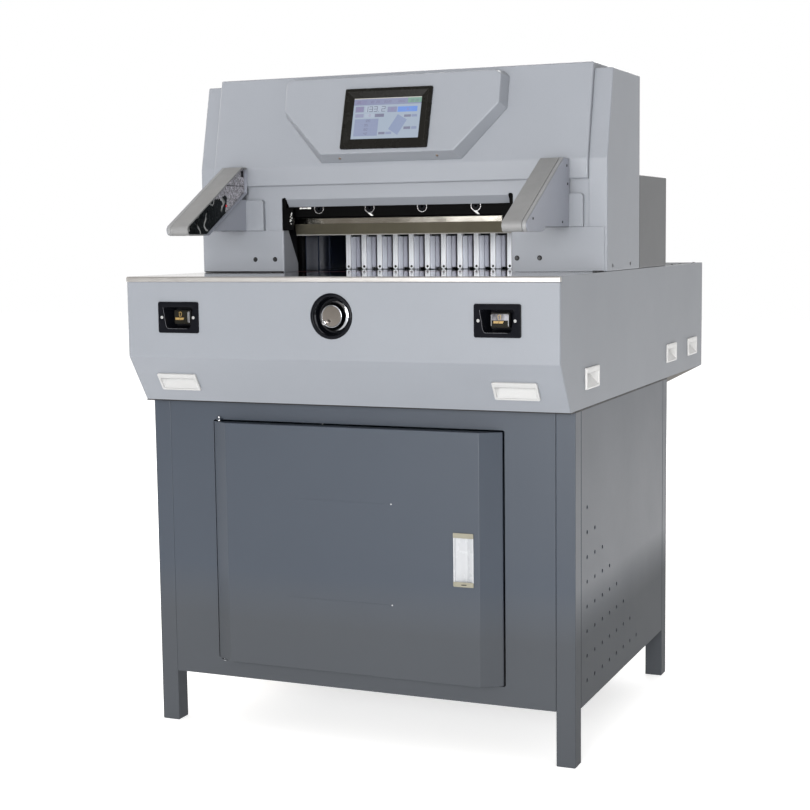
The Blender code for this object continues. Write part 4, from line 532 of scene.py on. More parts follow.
@dataclass(frozen=True)
class Edging:
    """How the edges of a piece are broken."""

    width: float = 0.0008
    segments: int = 2
    angle: float = 32.0

    def apply(self, item: Item, name: str) -> None:
        """Add the rounding to an object as a modifier.

        Args:
            item: The object.
            name: Name of the modifier.
        """
        bevel = item.modifiers.new(name, "BEVEL")
        bevel.width = self.width
        bevel.segments = self.segments
        bevel.limit_method = "ANGLE"
        bevel.angle_limit = math.radians(self.angle)
        bevel.use_clamp_overlap = True


def shaped(name: str, draft: Draft, edging: Edging | None = None, cutters: Sequence[Draft] = (),
        rim: Edging | None = None, wall: float = 0.0, smooth: float = 34.0) -> Item:
    """Finish the shape of one piece.

    Args:
        name: Name of the piece.
        draft: Its faces.
        edging: Rounding before anything is cut.
        cutters: Bodies that are cut out of it.
        rim: Rounding of what is still sharp after the cuts.
        wall: Thickness that an open sheet is given inwards.
        smooth: Angle below which faces shade as one, in degrees.

    Returns:
        The object, without modifiers.
    """
    item = draft.item(name)
    if wall:
        solid = item.modifiers.new("wall", "SOLIDIFY")
        solid.thickness = wall
        solid.offset = -1.0
        solid.use_even_offset = True
    if edging:
        edging.apply(item, "edging")
    tools = []
    for index, cutter in enumerate(cutters):
        tool = cutter.item(f"{name}_tool_{index}")
        tools.append(tool)
        cut = item.modifiers.new(f"cut_{index}", "BOOLEAN")
        cut.operation = "DIFFERENCE"
        cut.solver = "EXACT"
        cut.object = tool
    if rim:
        rim.apply(item, "rim")
    if item.modifiers:
        baked(item)
    for tool in tools:
        drop(tool)
    return softened(item, smooth)


# Materials


class Wiring:
    """Nodes and links of one tree while they are being set."""

    def __init__(self, tree: bpy.types.NodeTree) -> None:
        """Start with a tree."""
        self.nodes, self.links = tree.nodes, tree.links

    def node(self, kind: str, inputs: dict[str | int, object] | None = None,
            **settings: object) -> bpy.types.Node:
        """Add a node.

        Args:
            kind: Its type.
            inputs: Values or sockets for its inputs.
            **settings: Values of the node itself.

        Returns:
            The node.
        """
        made = self.nodes.new(kind)
        for key, value in settings.items():
            setattr(made, key, value)
        for key, value in (inputs or {}).items():
            if isinstance(value, Socket):
                self.links.new(value, made.inputs[key])
            else:
                made.inputs[key].default_value = value
        return made

    def first(self, kind: str, inputs: dict[str | int, object] | None = None, **settings: object) -> Socket:
        """Add a node and give its first output."""
        return self.node(kind, inputs, **settings).outputs[0]


class Graph(Wiring):
    """Shader nodes of one material while it is being made."""

    def __init__(self, name: str) -> None:
        """Make a material with one Principled shader.

        Args:
            name: Name of the material.
        """
        self.material = bpy.data.materials.new(name)
        self.material.use_nodes = True
        super().__init__(self.material.node_tree)
        self.shader = self.nodes["Principled BSDF"]
        self.place = self.node("ShaderNodeTexCoord").outputs["Object"]

    def noise(self, scale: float, detail: float = 3.0, rough: float = 0.55, stretch: Place = (1.0, 1.0, 1.0),
            lift: float = 0.0) -> Socket:
        """Add noise on the piece's own place.

        Args:
            scale: Waves per metre.
            detail: Octaves.
            rough: Share of the finer octaves.
            stretch: Scale of each axis, for brushed or drawn grain.
            lift: Move of the pattern, so that two of them differ.

        Returns:
            The noise's value.
        """
        place = self.first("ShaderNodeMapping",
            {"Vector": self.place, "Scale": stretch, "Location": (lift, lift * 0.7, lift * 0.3)})
        return self.first("ShaderNodeTexNoise",
            {"Vector": place, "Scale": scale, "Detail": detail, "Roughness": rough})

    def ranged(self, value: Socket, low: float, high: float, start: float = 0.3, end: float = 0.7) -> Socket:
        """Map a value onto a range."""
        return self.first("ShaderNodeMapRange",
            {"Value": value, "From Min": start, "From Max": end, "To Min": low, "To Max": high})

    def mixed(self, share: Socket, first: Colour | Socket, second: Colour | Socket) -> Socket:
        """Mix two colours by a value.

        Args:
            share: How much of the second colour shows.
            first: The one colour.
            second: The other colour.

        Returns:
            The mixed colour.
        """
        first, second = ((*colour, 1.0) if isinstance(colour, tuple) else colour
            for colour in (first, second))
        return self.node("ShaderNodeMix", {"Factor": share, 6: first, 7: second}, data_type="RGBA").outputs[2]

    def added(self, first: Socket, other: Socket, operation: str = "ADD") -> Socket:
        """Join two values by a sum or by another operation."""
        return self.first("ShaderNodeMath", {0: first, 1: other}, operation=operation)

    def axes(self) -> bpy.types.NodeOutputs:
        """Give the X, Y and Z of the piece's own place."""
        return self.node("ShaderNodeSeparateXYZ", {"Vector": self.place}).outputs

    def bump(self, height: Socket, strength: float, distance: float) -> None:
        """Add relief to what the shader already has.

        Args:
            height: Height of the relief.
            strength: Share of it that shows.
            distance: Its depth in metres.
        """
        inputs = {"Strength": strength, "Distance": distance, "Height": height}
        if self.shader.inputs["Normal"].links:
            inputs["Normal"] = self.shader.inputs["Normal"].links[0].from_socket
        self.put(Normal=self.first("ShaderNodeBump", inputs))

    def put(self, **values: float | Colour | Socket) -> None:
        """Set or link inputs of the shader.

        Args:
            **values: A value for each input, with underscores in its name for spaces.
        """
        for name, value in values.items():
            socket = self.shader.inputs[name.replace("_", " ")]
            if isinstance(value, Socket):
                self.links.new(value, socket)
            else:
                socket.default_value = (*value, 1.0) if isinstance(value, tuple) else value


def shade(colour: Colour, share: float) -> Colour:
    """Give a colour that is lighter or darker by a share."""
    return tuple(max(0.0, min(1.0, channel * share)) for channel in colour)


_made: dict[str, bpy.types.Material] = {}


@dataclass(frozen=True)
class Finish:
    """What every finish has: a name and the record's slot that it belongs to."""

    name: str
    slot: Slot

    def material(self) -> bpy.types.Material:
        """Give the material, which is built once.

        Returns:
            The material.
        """
        if self.name not in _made:
            graph = Graph(self.name)
            self.fill(graph)
            _made[self.name] = graph.material
        return _made[self.name]

    def fill(self, graph: Graph) -> None:
        """Set the material's nodes."""
        raise NotImplementedError


@dataclass(frozen=True)
class Paint(Finish):
    """Powder-coated sheet metal: fine orange peel, faint clouds, worn patches of roughness and, where set,
    painted shade low down.
    """

    colour: Colour
    roughness: float = 0.36
    cloud: float = 0.05
    peel: float = 0.1
    grain: float = 900.0
    specular: float = 0.5
    dust: float = 0.0

    def fill(self, graph: Graph) -> None:
        """Set what the shader shows.

        Args:
            graph: The material's nodes.
        """
        clouds = graph.ranged(graph.noise(3.2, 4.0, 0.6), 0.0, 1.0)
        body = graph.mixed(clouds, shade(self.colour, 1 - self.cloud), shade(self.colour, 1 + self.cloud))
        specks = graph.ranged(graph.noise(self.grain * 1.7, 2.0, 0.5, lift=3.1), 0.0, 0.35, 0.55, 0.75)
        body = graph.mixed(specks, body, shade(self.colour, 1.22))
        rub = graph.ranged(graph.noise(7.0, 5.0, 0.65, lift=1.7), self.roughness - 0.012,
            self.roughness + 0.018)
        if self.dust:
            # Painted shade: darker and warmer below Z 0.23, fading out by 0.33, for the dark floor that the
            # low flanks reflect; the same share also roughens the paint there.
            low = graph.ranged(graph.axes()["Z"], self.dust, 0.0, 0.23, 0.33)
            body = graph.mixed(low, body, (0.052, 0.048, 0.038))
            rub = graph.added(rub, low)
        graph.put(Base_Color=body, Roughness=rub, Specular_IOR_Level=self.specular)
        graph.bump(graph.noise(self.grain, 2.0, 0.5), self.peel, 0.0004)


@dataclass(frozen=True)
class Moulding(Finish):
    """Injection-moulded plastic: a fine grain, slight flow marks and handling gloss."""

    colour: Colour
    roughness: float = 0.4
    grain: float = 1500.0
    relief: float = 0.12
    cloud: float = 0.04
    soil: Colour | None = None
    coat: float = 0.0
    specular: float = 0.5
    flow: float = 14.0

    def fill(self, graph: Graph) -> None:
        """Set what the shader shows.

        Args:
            graph: The material's nodes.
        """
        flow = graph.ranged(graph.noise(self.flow, 4.0, 0.6, (1.0, 1.0, 0.4)), 0.0, 1.0)
        body = graph.mixed(flow, shade(self.colour, 1 - self.cloud), shade(self.colour, 1 + self.cloud))
        if self.soil:
            marks = graph.ranged(graph.noise(60.0, 6.0, 0.7, lift=2.2), 0.0, 0.5, 0.58, 0.8)
            body = graph.mixed(marks, body, self.soil)
        wear = graph.noise(32.0, 4.0, 0.6, lift=4.0)
        graph.put(Base_Color=body, Roughness=graph.ranged(wear, self.roughness - 0.07, self.roughness + 0.07),
            Specular_IOR_Level=self.specular, Coat_Weight=self.coat, Coat_Roughness=0.12)
        graph.bump(graph.noise(self.grain, 2.0, 0.5), self.relief, 0.0002)


@dataclass(frozen=True)
class Metal(Finish):
    """Bare or plated metal with a drawn grain, smudges and fine scratches."""

    colour: Colour
    roughness: float = 0.22
    grain: float = 240.0
    stretch: Place = (1.0, 1.0, 1.0)
    relief: float = 0.1
    tint: Colour | None = None
    smudge: float = 0.05
    lines: float = 0.15
    bare: float = 1.0

    def fill(self, graph: Graph) -> None:
        """Set what the shader shows.

        Args:
            graph: The material's nodes.
        """
        drawn = graph.noise(self.grain, 5.0, 0.65, self.stretch)
        clouds = graph.ranged(graph.noise(9.0, 4.0, 0.6, lift=2.0), 0.0, 1.0)
        body = graph.mixed(clouds, shade(self.colour, 0.94), self.tint or shade(self.colour, 1.05))
        line = graph.ranged(drawn, 0.0, self.lines, 0.5, 0.8)
        rough = graph.ranged(graph.noise(22.0, 5.0, 0.7, lift=6.0), max(self.roughness - self.smudge, 0.03),
            self.roughness + self.smudge)
        graph.put(Metallic=self.bare, Base_Color=graph.mixed(line, body, shade(self.colour, 0.55)),
            Roughness=rough)
        graph.bump(drawn, self.relief, 0.0002)


@dataclass(frozen=True)
class Casting(Finish):
    """Painted iron casting: a coarse skin with chips that show metal."""

    colour: Colour
    roughness: float = 0.55

    def fill(self, graph: Graph) -> None:
        """Set what the shader shows.

        Args:
            graph: The material's nodes.
        """
        clouds = graph.ranged(graph.noise(11.0, 5.0, 0.65), 0.0, 1.0)
        body = graph.mixed(clouds, shade(self.colour, 0.8), shade(self.colour, 1.25))
        chips = graph.ranged(graph.noise(95.0, 6.0, 0.75, lift=3.0), 0.0, 1.0, 0.72, 0.78)
        graph.put(Base_Color=graph.mixed(chips, body, (0.28, 0.27, 0.26)),
            Roughness=graph.ranged(chips, self.roughness, self.roughness - 0.2, 0.0, 1.0))
        graph.bump(graph.noise(420.0, 4.0, 0.6), 0.35, 0.0006)
        graph.bump(graph.noise(60.0, 3.0, 0.5, lift=8.0), 0.15, 0.0015)


@dataclass(frozen=True)
class Foil(Finish):
    """Window of the light cells: a light crinkled rear half, painted as the front cover's reflection, and
    black gloss in front with painted reflection streaks.
    """

    dark: Colour = (0.006, 0.008, 0.009)
    streak: Colour = (0.34, 0.35, 0.35)
    low: Colour = (0.15, 0.145, 0.16)
    high: Colour = (0.56, 0.55, 0.59)
    border: float = -0.352
    top: float = 1.062
    roughness: float = 0.16

    def edge(self, graph: Graph, axis: str, scale: float, lift: float, reach: float, place: float) -> Socket:
        """Give a wavy border across an axis: 0 before it and 1 past it."""
        wave = graph.ranged(graph.noise(scale, 1.0, 0.3, lift=lift), -reach, reach)
        return graph.ranged(graph.added(graph.axes()[axis], wave), 0.0, 1.0, place - 0.001, place + 0.001)

    def fill(self, graph: Graph) -> None:
        """Set what the shader shows.

        Args:
            graph: The material's nodes.
        """
        rear = graph.added(self.edge(graph, "Y", 60.0, 7.0, 0.006, self.border),
            self.edge(graph, "Z", 45.0, 3.0, 0.008, self.top), "MAXIMUM")
        cells = graph.first("ShaderNodeTexVoronoi", {"Vector": graph.place, "Scale": 330.0})
        folds = graph.added(graph.noise(210.0, 4.0, 0.7), graph.ranged(cells, -0.2, 0.25, 0.0, 1.0))
        # Painted reflection: the light, crinkled rear half stands for the front cover mirrored in the window.
        cover_reflection = graph.mixed(graph.ranged(folds, 0.0, 1.0, 0.35, 0.72), self.low, self.high)
        # Painted reflection: light streaks, broken up, over the black front half.
        wave = graph.noise(23.0, 1.5, 0.4, lift=1.3)
        streak_mask = graph.first("ShaderNodeMath", {0: wave, 1: 0.55, 2: 0.022}, operation="COMPARE")
        breaks = graph.ranged(graph.noise(26.0, 1.0, 0.3, lift=5.0), 0.0, 1.0, 0.48, 0.56)
        streak_mask = graph.ranged(graph.added(streak_mask, breaks, "MULTIPLY"), 0.0, 0.9, 0.0, 1.0)
        black = graph.mixed(streak_mask, self.dark, self.streak)
        graph.put(Base_Color=graph.mixed(rear, black, cover_reflection), Metallic=graph.ranged(rear, 0.0, 0.35, 0.0, 1.0),
            Roughness=graph.ranged(graph.noise(120.0, 3.0, 0.5, lift=2.0), self.roughness,
                self.roughness + 0.16), Specular_IOR_Level=0.05)
        graph.bump(graph.added(folds, rear, "MULTIPLY"), 0.5, 0.0012)


@dataclass(frozen=True)
class Picture(Finish):
    """Lit screen that takes its colours from the mesh's picture attribute."""

    glow: float = 0.95
    roughness: float = 0.16

    def fill(self, graph: Graph) -> None:
        """Set what the shader shows.

        Args:
            graph: The material's nodes.
        """
        tint = graph.first("ShaderNodeVertexColor", layer_name="picture")
        veil = graph.ranged(graph.noise(18.0, 3.0, 0.5), 0.0, 0.12)
        rough = graph.ranged(graph.noise(40.0, 4.0, 0.6, lift=3.0), self.roughness - 0.04,
            self.roughness + 0.06)
        graph.put(Base_Color=(0.02, 0.022, 0.026), Emission_Color=graph.mixed(veil, tint, (0.45, 0.5, 0.58)),
            Emission_Strength=self.glow, Roughness=rough, Coat_Weight=0.6, Coat_Roughness=0.05)


def dress(item: Item, finish: Finish, *nodes: str, body: Body = Body.MACHINE,
        slot: Slot | None = None) -> Item:
    """Finish a piece and let it ride on its body.

    Args:
        item: The piece.
        finish: Its material.
        *nodes: Nodes of the frame that it stands for.
        body: Body of the frame that it moves with.
        slot: Material slot of the record, where it isn't the finish's own; not used.

    Returns:
        The piece.
    """
    slot = slot or finish.slot
    item.data.materials.clear()
    item.data.materials.append(finish.material())
    for face in item.data.polygons:
        face.material_index = 0
    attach(item, body.value)
    if nodes:
        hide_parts(*nodes)
    LOG.info("%s: %d faces on %s", item.name, len(item.data.polygons), body.value)
    return item


def piece(name: str, draft: Draft, finish: Finish, *nodes: str, body: Body = Body.MACHINE,
        slot: Slot | None = None, **shape: object) -> Item:
    """Shape a piece and dress it."""
    return dress(shaped(name, draft, **shape), finish, *nodes, body=body, slot=slot)


def keep_nodes(**finishes: Finish) -> None:
    """Give nodes of the frame, whose shapes stay, a better material."""
    for name, finish in finishes.items():
        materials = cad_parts[name].data.materials
        materials.clear()
        materials.append(finish.material())
        LOG.info("%s: kept from the frame", name)


# Trees of Geometry Nodes


class Tree(Wiring):
    """A Geometry Nodes tree while it is being made."""

    def __init__(self, name: str) -> None:
        """Start a tree with a geometry input and output.

        Args:
            name: Name of the tree.
        """
        self.group = bpy.data.node_groups.new(name, "GeometryNodeTree")
        super().__init__(self.group)
        for way in ("INPUT", "OUTPUT"):
            self.group.interface.new_socket(name="Geometry", in_out=way, socket_type="NodeSocketGeometry")
        self.start, self.end = self.nodes.new("NodeGroupInput"), self.nodes.new("NodeGroupOutput")
        self.given = self.start.outputs["Geometry"]
        self.keys: dict[str, str] = {}

    def sizes(self, *rows: tuple) -> list[Socket]:
        """Add named inputs.

        Args:
            *rows: Name, socket type without the words NodeSocket, and value unless a piece sets it.

        Returns:
            Their sockets on the group's input node.
        """
        for name, kind, *value in rows:
            made = self.group.interface.new_socket(name=name, in_out="INPUT", socket_type="NodeSocket" + kind)
            if value:
                made.default_value = value[0]
            self.keys[name] = made.identifier
        return [self.start.outputs[row[0]] for row in rows]

    def close(self, geometry: Socket, material: Socket) -> None:
        """End the tree in Realize Instances and Set Material.

        Args:
            geometry: What the tree has made.
            material: Its material.
        """
        real = self.first("GeometryNodeRealizeInstances", {"Geometry": geometry})
        painted = self.first("GeometryNodeSetMaterial", {"Geometry": real, "Material": material})
        self.links.new(painted, self.end.inputs["Geometry"])

    def grow(self, item: Item, values: dict[str, object]) -> Item:
        """Run the tree on an object and keep the result as plain mesh.

        Args:
            item: The object.
            values: Values of the tree's inputs by name.

        Returns:
            The same object, without a modifier.
        """
        modifier = item.modifiers.new(self.group.name, "NODES")
        modifier.node_group = self.group
        for name, value in values.items():
            modifier[self.keys[name]] = value
        return baked(item)


def row_tree() -> Tree:
    """Build the tree that repeats a shape in an even row.

    Returns:
        The tree.
    """
    tree = Tree("even_row")
    count, step, material = tree.sizes(("Count", "Int", 2), ("Step", "Vector", (0.01, 0.0, 0.0)),
        ("Material", "Material"))
    line = tree.first("GeometryNodeMeshLine", {"Count": count, "Offset": step}, mode="OFFSET")
    tree.close(tree.first("GeometryNodeInstanceOnPoints", {"Points": line, "Instance": tree.given}), material)
    return tree


def fastener_tree() -> Tree:
    """Build the tree that sets a screw head on each point, looking along the point's aim.

    Returns:
        The tree.
    """
    tree = Tree("fasteners")
    radius, height, crown, length, width, depth, second, sides, material = tree.sizes(
        ("Head Radius", "Float", 0.004), ("Head Height", "Float", 0.002), ("Crown Share", "Float", 0.8),
        ("Drive Length", "Float", 0.005), ("Drive Width", "Float", 0.001), ("Drive Depth", "Float", 0.001),
        ("Second Bar", "Float", 1.0), ("Sides", "Int", 18), ("Material", "Material"))

    def times(first: object, other: object) -> Socket:
        """Multiply two values."""
        return tree.first("ShaderNodeMath", {0: first, 1: other}, operation="MULTIPLY")

    def vector(x: object, y: object, z: object) -> Socket:
        """Join three values."""
        return tree.first("ShaderNodeCombineXYZ", {"X": x, "Y": y, "Z": z})

    head = tree.first("GeometryNodeMeshCone",
        {"Vertices": sides, "Radius Bottom": radius, "Radius Top": times(radius, crown), "Depth": height})
    cut = tree.node("GeometryNodeMeshBoolean", {"Mesh 1": head}, operation="DIFFERENCE")
    twice = times(depth, 2.0)
    for across, along in ((length, width), (width, times(length, second))):
        bar = tree.first("GeometryNodeMeshCube", {"Size": vector(across, along, twice)})
        bar = tree.first("GeometryNodeTransform", {"Geometry": bar, "Translation": vector(0.0, 0.0, height)})
        tree.links.new(bar, cut.inputs["Mesh 2"])
    aim = tree.first("GeometryNodeInputNamedAttribute", {"Name": "aim"}, data_type="FLOAT_VECTOR")
    spin = tree.first("GeometryNodeInputNamedAttribute", {"Name": "spin"}, data_type="FLOAT")
    turn = tree.first("FunctionNodeAlignRotationToVector", {"Vector": aim}, axis="Z")
    turn = tree.first("FunctionNodeRotateRotation", {"Rotation": turn, "Rotate By": vector(0.0, 0.0, spin)},
        rotation_space="LOCAL")
    tree.close(
        tree.first("GeometryNodeInstanceOnPoints",
            {"Points": tree.given, "Instance": cut.outputs["Mesh"], "Rotation": turn}), material)
    return tree


def perforation_tree() -> Tree:
    """Build the tree that drills round holes through a plate at the points of a guide.

    Returns:
        The tree.
    """
    tree = Tree("perforations")
    guide, radius, depth, material = tree.sizes(("Guide", "Object"), ("Hole Radius", "Float", 0.004),
        ("Hole Depth", "Float", 0.008), ("Material", "Material"))
    points = tree.node("GeometryNodeObjectInfo", {"Object": guide},
        transform_space="ORIGINAL").outputs["Geometry"]
    pin = tree.first("GeometryNodeMeshCylinder", {"Vertices": 14, "Radius": radius, "Depth": depth})
    pin = tree.first("GeometryNodeTransform", {"Geometry": pin, "Rotation": (0.0, math.pi / 2, 0.0)})
    pins = tree.first("GeometryNodeInstanceOnPoints", {"Points": points, "Instance": pin})
    cut = tree.node("GeometryNodeMeshBoolean", {"Mesh 1": tree.given}, operation="DIFFERENCE")
    tree.links.new(tree.first("GeometryNodeRealizeInstances", {"Geometry": pins}), cut.inputs["Mesh 2"])
    tree.close(cut.outputs["Mesh"], material)
    return tree


@dataclass(frozen=True)
class Screw:
    """Size and drive of a screw head."""

    radius: float = 0.0038
    height: float = 0.0016
    crown: float = 0.78
    recess: Recess = Recess.CROSS
    sides: int = 18

    def values(self, finish: Finish) -> dict[str, object]:
        """Give the fastener tree's inputs.

        Args:
            finish: Finish of the head.

        Returns:
            A value for each input by name.
        """
        wide, long, second = {Recess.CROSS: (0.28, 1.15, 1.0), Recess.SLOT: (0.26, 1.5, 0.0),
            Recess.SOCKET: (0.8, 0.92, 1.0)}[self.recess]
        return {"Head Radius": self.radius, "Head Height": self.height, "Crown Share": self.crown,
            "Drive Length": self.radius * long, "Drive Width": self.radius * wide,
            "Drive Depth": self.height * 0.6, "Second Bar": second or wide / long, "Sides": self.sides,
            "Material": finish.material()}


class Workshop:
    """The trees that the sub-assemblies share."""

    def __init__(self) -> None:
        """Build each tree once."""
        self.row, self.fastener, self.perforation = row_tree(), fastener_tree(), perforation_tree()

    def screws(self, name: str, seats: Sequence[Seat], screw: Screw, finish: Finish, seed: int = 1,
            body: Body = Body.MACHINE, slot: Slot | None = None) -> Item:
        """Set screw heads on a row of seats as one piece.

        Args:
            name: Name of the piece.
            seats: Where the heads sit and which way they look.
            screw: Size of the heads.
            finish: Their material.
            seed: Fixed start of the heads' chance turns.
            body: Body that they ride on.
            slot: Material slot of the record, where it isn't the finish's own.

        Returns:
            The finished piece.
        """
        data = point_cloud(name, [seat.centre for seat in seats])
        data.attributes.new("aim", "FLOAT_VECTOR", "POINT")
        data.attributes.new("spin", "FLOAT", "POINT")
        aim, spin = data.attributes["aim"], data.attributes["spin"]
        chance = random.Random(seed)
        for index, seat in enumerate(seats):
            aim.data[index].vector = seat.out
            spin.data[index].value = chance.uniform(0.0, math.tau)
        item = self.fastener.grow(linked(name, data), screw.values(finish))
        return dress(softened(item, 24.0), finish, body=body, slot=slot)

    def repeated(self, item: Item, count: int, step: Place, finish: Finish, *nodes: str,
            body: Body = Body.MACHINE) -> Item:
        """Repeat a shape in an even row, as one plain mesh, and dress it."""
        self.row.grow(item, {"Count": count, "Step": step, "Material": finish.material()})
        return dress(item, finish, *nodes, body=body)


# Finishes of this machine

SLATE = Paint("slate_powder_coat", Slot.SLATE, (0.027, 0.036, 0.051), roughness=0.38, cloud=0.025, peel=0.07,
    specular=0.44, dust=0.3)
# Darker copy of the slate paint: painted shade for the base's rails and floor and for the fold round the
# door's opening.
SLATE_SHADED = Paint("slate_inside", Slot.SLATE, (0.016, 0.018, 0.021), roughness=0.5, cloud=0.06)
GREY = Paint("light_grey_coat", Slot.GREY, (0.186, 0.199, 0.221), roughness=0.43, cloud=0.03, peel=0.08,
    grain=1000.0, specular=0.34)
# Lighter copy of the housing's grey for the head's covers: the same paint, lightened as painted light where
# the head gets less light than the housing.
GREY_LIT_HEAD = Paint("head_grey_coat", Slot.GREY, (0.21, 0.224, 0.249), roughness=0.43, cloud=0.03, peel=0.08,
    grain=1000.0, specular=0.4)
LILAC = Paint("bracket_coat", Slot.ARM, (0.205, 0.218, 0.256), roughness=0.4, cloud=0.04, peel=0.08,
    grain=1000.0)
# Lighter copy of the bracket coat for the wedge under each arm: painted light on a face that lies in the
# arm's shade.
WEDGE_LIT = Paint("wedge_coat", Slot.GREY, (0.256, 0.272, 0.316), roughness=0.4, cloud=0.04, peel=0.08,
    grain=1000.0)
BOX_GREY = Paint("rear_box_coat", Slot.GREY, (0.072, 0.076, 0.081), roughness=0.45)
NAVY = Paint("press_navy", Slot.CASTING, (0.01, 0.014, 0.026), roughness=0.2, cloud=0.2, peel=0.05,
    grain=600.0, specular=0.45)
PRESS_BLACK = Paint("press_black", Slot.CASTING, (0.0015, 0.0016, 0.002), roughness=0.5, cloud=0.2, peel=0.05,
    grain=600.0, specular=0.05)
DECK_GREY = Paint("deck_coat", Slot.GREY, (0.088, 0.094, 0.104), roughness=0.7, cloud=0.03, peel=0.08,
    grain=1000.0, specular=0.05)
GUSSET_GREY = Paint("gusset_coat", Slot.GREY, (0.15, 0.143, 0.13), roughness=0.6, cloud=0.03, peel=0.08,
    grain=1000.0, specular=0.2)

ARM_COVER = Moulding("arm_cover_grey", Slot.ARM, (0.172, 0.174, 0.175), roughness=0.42, grain=1300.0,
    relief=0.15)
ARM_NOSE = Moulding("arm_nose_grey", Slot.ARM, (0.202, 0.206, 0.212), grain=1300.0)
# One white plastic in two copies as painted light: a dimmed one for the brightly lit front and a brightened
# one for the flanks, which get less light.
WHITE_DIMMED = Moulding("white_pull_front", Slot.WHITE, (0.36, 0.362, 0.362), relief=0.05, cloud=0.02,
    soil=(0.33, 0.33, 0.325))
WHITE_BRIGHTENED = Moulding("white_pull_side", Slot.WHITE, (0.56, 0.56, 0.558), roughness=0.38, relief=0.05,
    cloud=0.02, soil=(0.52, 0.52, 0.51))
PULL_WHITE = Moulding("door_pull_white", Slot.WHITE, (0.376, 0.386, 0.402), roughness=0.26, relief=0.01,
    cloud=0.02)
TAN = Moulding("pull_cap_tan", Slot.WHITE, (0.19, 0.18, 0.135), roughness=0.45, grain=1200.0, relief=0.15,
    cloud=0.08)
BLACK = Moulding("black_gloss_plastic", Slot.BLACK, (0.004, 0.0044, 0.0062), roughness=0.16, grain=1600.0,
    relief=0.03, cloud=0.05, specular=0.07)
BLACK_MATT = Moulding("black_matt_plastic", Slot.BLACK, (0.006, 0.006, 0.007), roughness=0.48, grain=1400.0,
    relief=0.15, cloud=0.05, specular=0.25)
KEY_COVER = Moulding("key_cover_dark", Slot.GLASS, (0.01, 0.0094, 0.007), roughness=0.22, grain=900.0,
    relief=0.03, cloud=0.4, specular=0.1)
GOLD = Moulding("gold_pictogram", Slot.BLACK, (0.265, 0.17, 0.046), roughness=0.35, relief=0.05, cloud=0.3)
RED = Moulding("red_stick", Slot.RED, (0.26, 0.018, 0.016), grain=900.0, relief=0.1, cloud=0.1)
RED_LAMP = Moulding("red_lamp", Slot.RED, (0.7, 0.03, 0.04), roughness=0.15, relief=0.02, cloud=0.05,
    coat=0.6)
RUBBER = Moulding("belt_rubber_black", Slot.RUBBER, (0.012, 0.012, 0.012), roughness=0.75, grain=700.0,
    relief=0.4)
BEAM_BLACK = Moulding("beam_black", Slot.CASTING, (0.0008, 0.0008, 0.0009), roughness=0.45, grain=500.0,
    relief=0.05, cloud=0.05, specular=0.03)
# Painted reflection on the right key's glossy cover: light clouds broken by dark patches.
KEY_REFLECTION = Moulding("key_cover_clear", Slot.GLASS, (0.16, 0.16, 0.175), roughness=0.16, grain=900.0,
    relief=0.03, cloud=1.0, soil=(0.006, 0.006, 0.007), specular=0.2, flow=75.0)
KEY_EDGE_HIGHLIGHT = Moulding("clear_edge", Slot.GLASS, (0.36, 0.365, 0.385), roughness=0.18, relief=0.02, cloud=0.2)
# Painted highlight for the lips of the bezels' pockets.
LIP_HIGHLIGHT = Moulding("rubbed_black_edge", Slot.BLACK, (0.07, 0.072, 0.08), roughness=0.22, grain=900.0,
    relief=0.05, cloud=0.3)
FRAME_BLACK = Moulding("display_frame_black", Slot.BLACK, (0.0062, 0.006, 0.005), roughness=0.27,
    grain=1600.0, relief=0.03, cloud=0.05, specular=0.16)

CHROME = Metal("bright_chrome", Slot.CHROME, (0.4, 0.4, 0.41), roughness=0.21, grain=500.0, relief=0.01,
    smudge=0.03, lines=0.0)
SPUN = Metal("spun_chrome", Slot.CHROME, (0.3, 0.31, 0.33), roughness=0.1, grain=900.0, relief=0.01,
    smudge=0.03, lines=0.05)
SILVER_TAPE = Metal("silver_tape", Slot.CHROME, (0.62, 0.62, 0.61), roughness=0.38, grain=900.0, relief=0.04,
    lines=0.0, bare=0.5)
ZINC = Metal("zinc_screw", Slot.CHROME, (0.66, 0.67, 0.68), roughness=0.28, grain=900.0, relief=0.05)
BRASS = Metal("copper_screw", Slot.CHROME, (0.26, 0.2, 0.16), roughness=0.4, grain=900.0, relief=0.05)
TABLE_STEEL = Metal("polished_table", Slot.STEEL, (0.6, 0.6, 0.6), roughness=0.07, grain=260.0,
    stretch=(0.02, 1.0, 1.0), relief=0.01, tint=(0.66, 0.66, 0.66), smudge=0.03, lines=0.1)
TRIM_STEEL = Metal("trim_steel", Slot.STEEL, (0.415, 0.405, 0.395), roughness=0.36, grain=300.0,
    stretch=(0.02, 1.0, 1.0), relief=0.02, tint=(0.44, 0.43, 0.42), smudge=0.04, lines=0.08)
KNIFE_BAND = Metal("knife_polished_band", Slot.STEEL, (0.43, 0.415, 0.375), roughness=0.11, grain=260.0,
    stretch=(0.012, 1.0, 1.0), relief=0.02, lines=0.45)
# Ground steel of the bevel; its brown tint is partly a painted reflection of the warm surroundings in front
# of the machine.
KNIFE_BEVEL = Metal("knife_ground_bevel", Slot.STEEL, (0.215, 0.2, 0.15), roughness=0.34, grain=340.0,
    stretch=(0.012, 1.0, 1.0), relief=0.04, tint=(0.24, 0.225, 0.17))
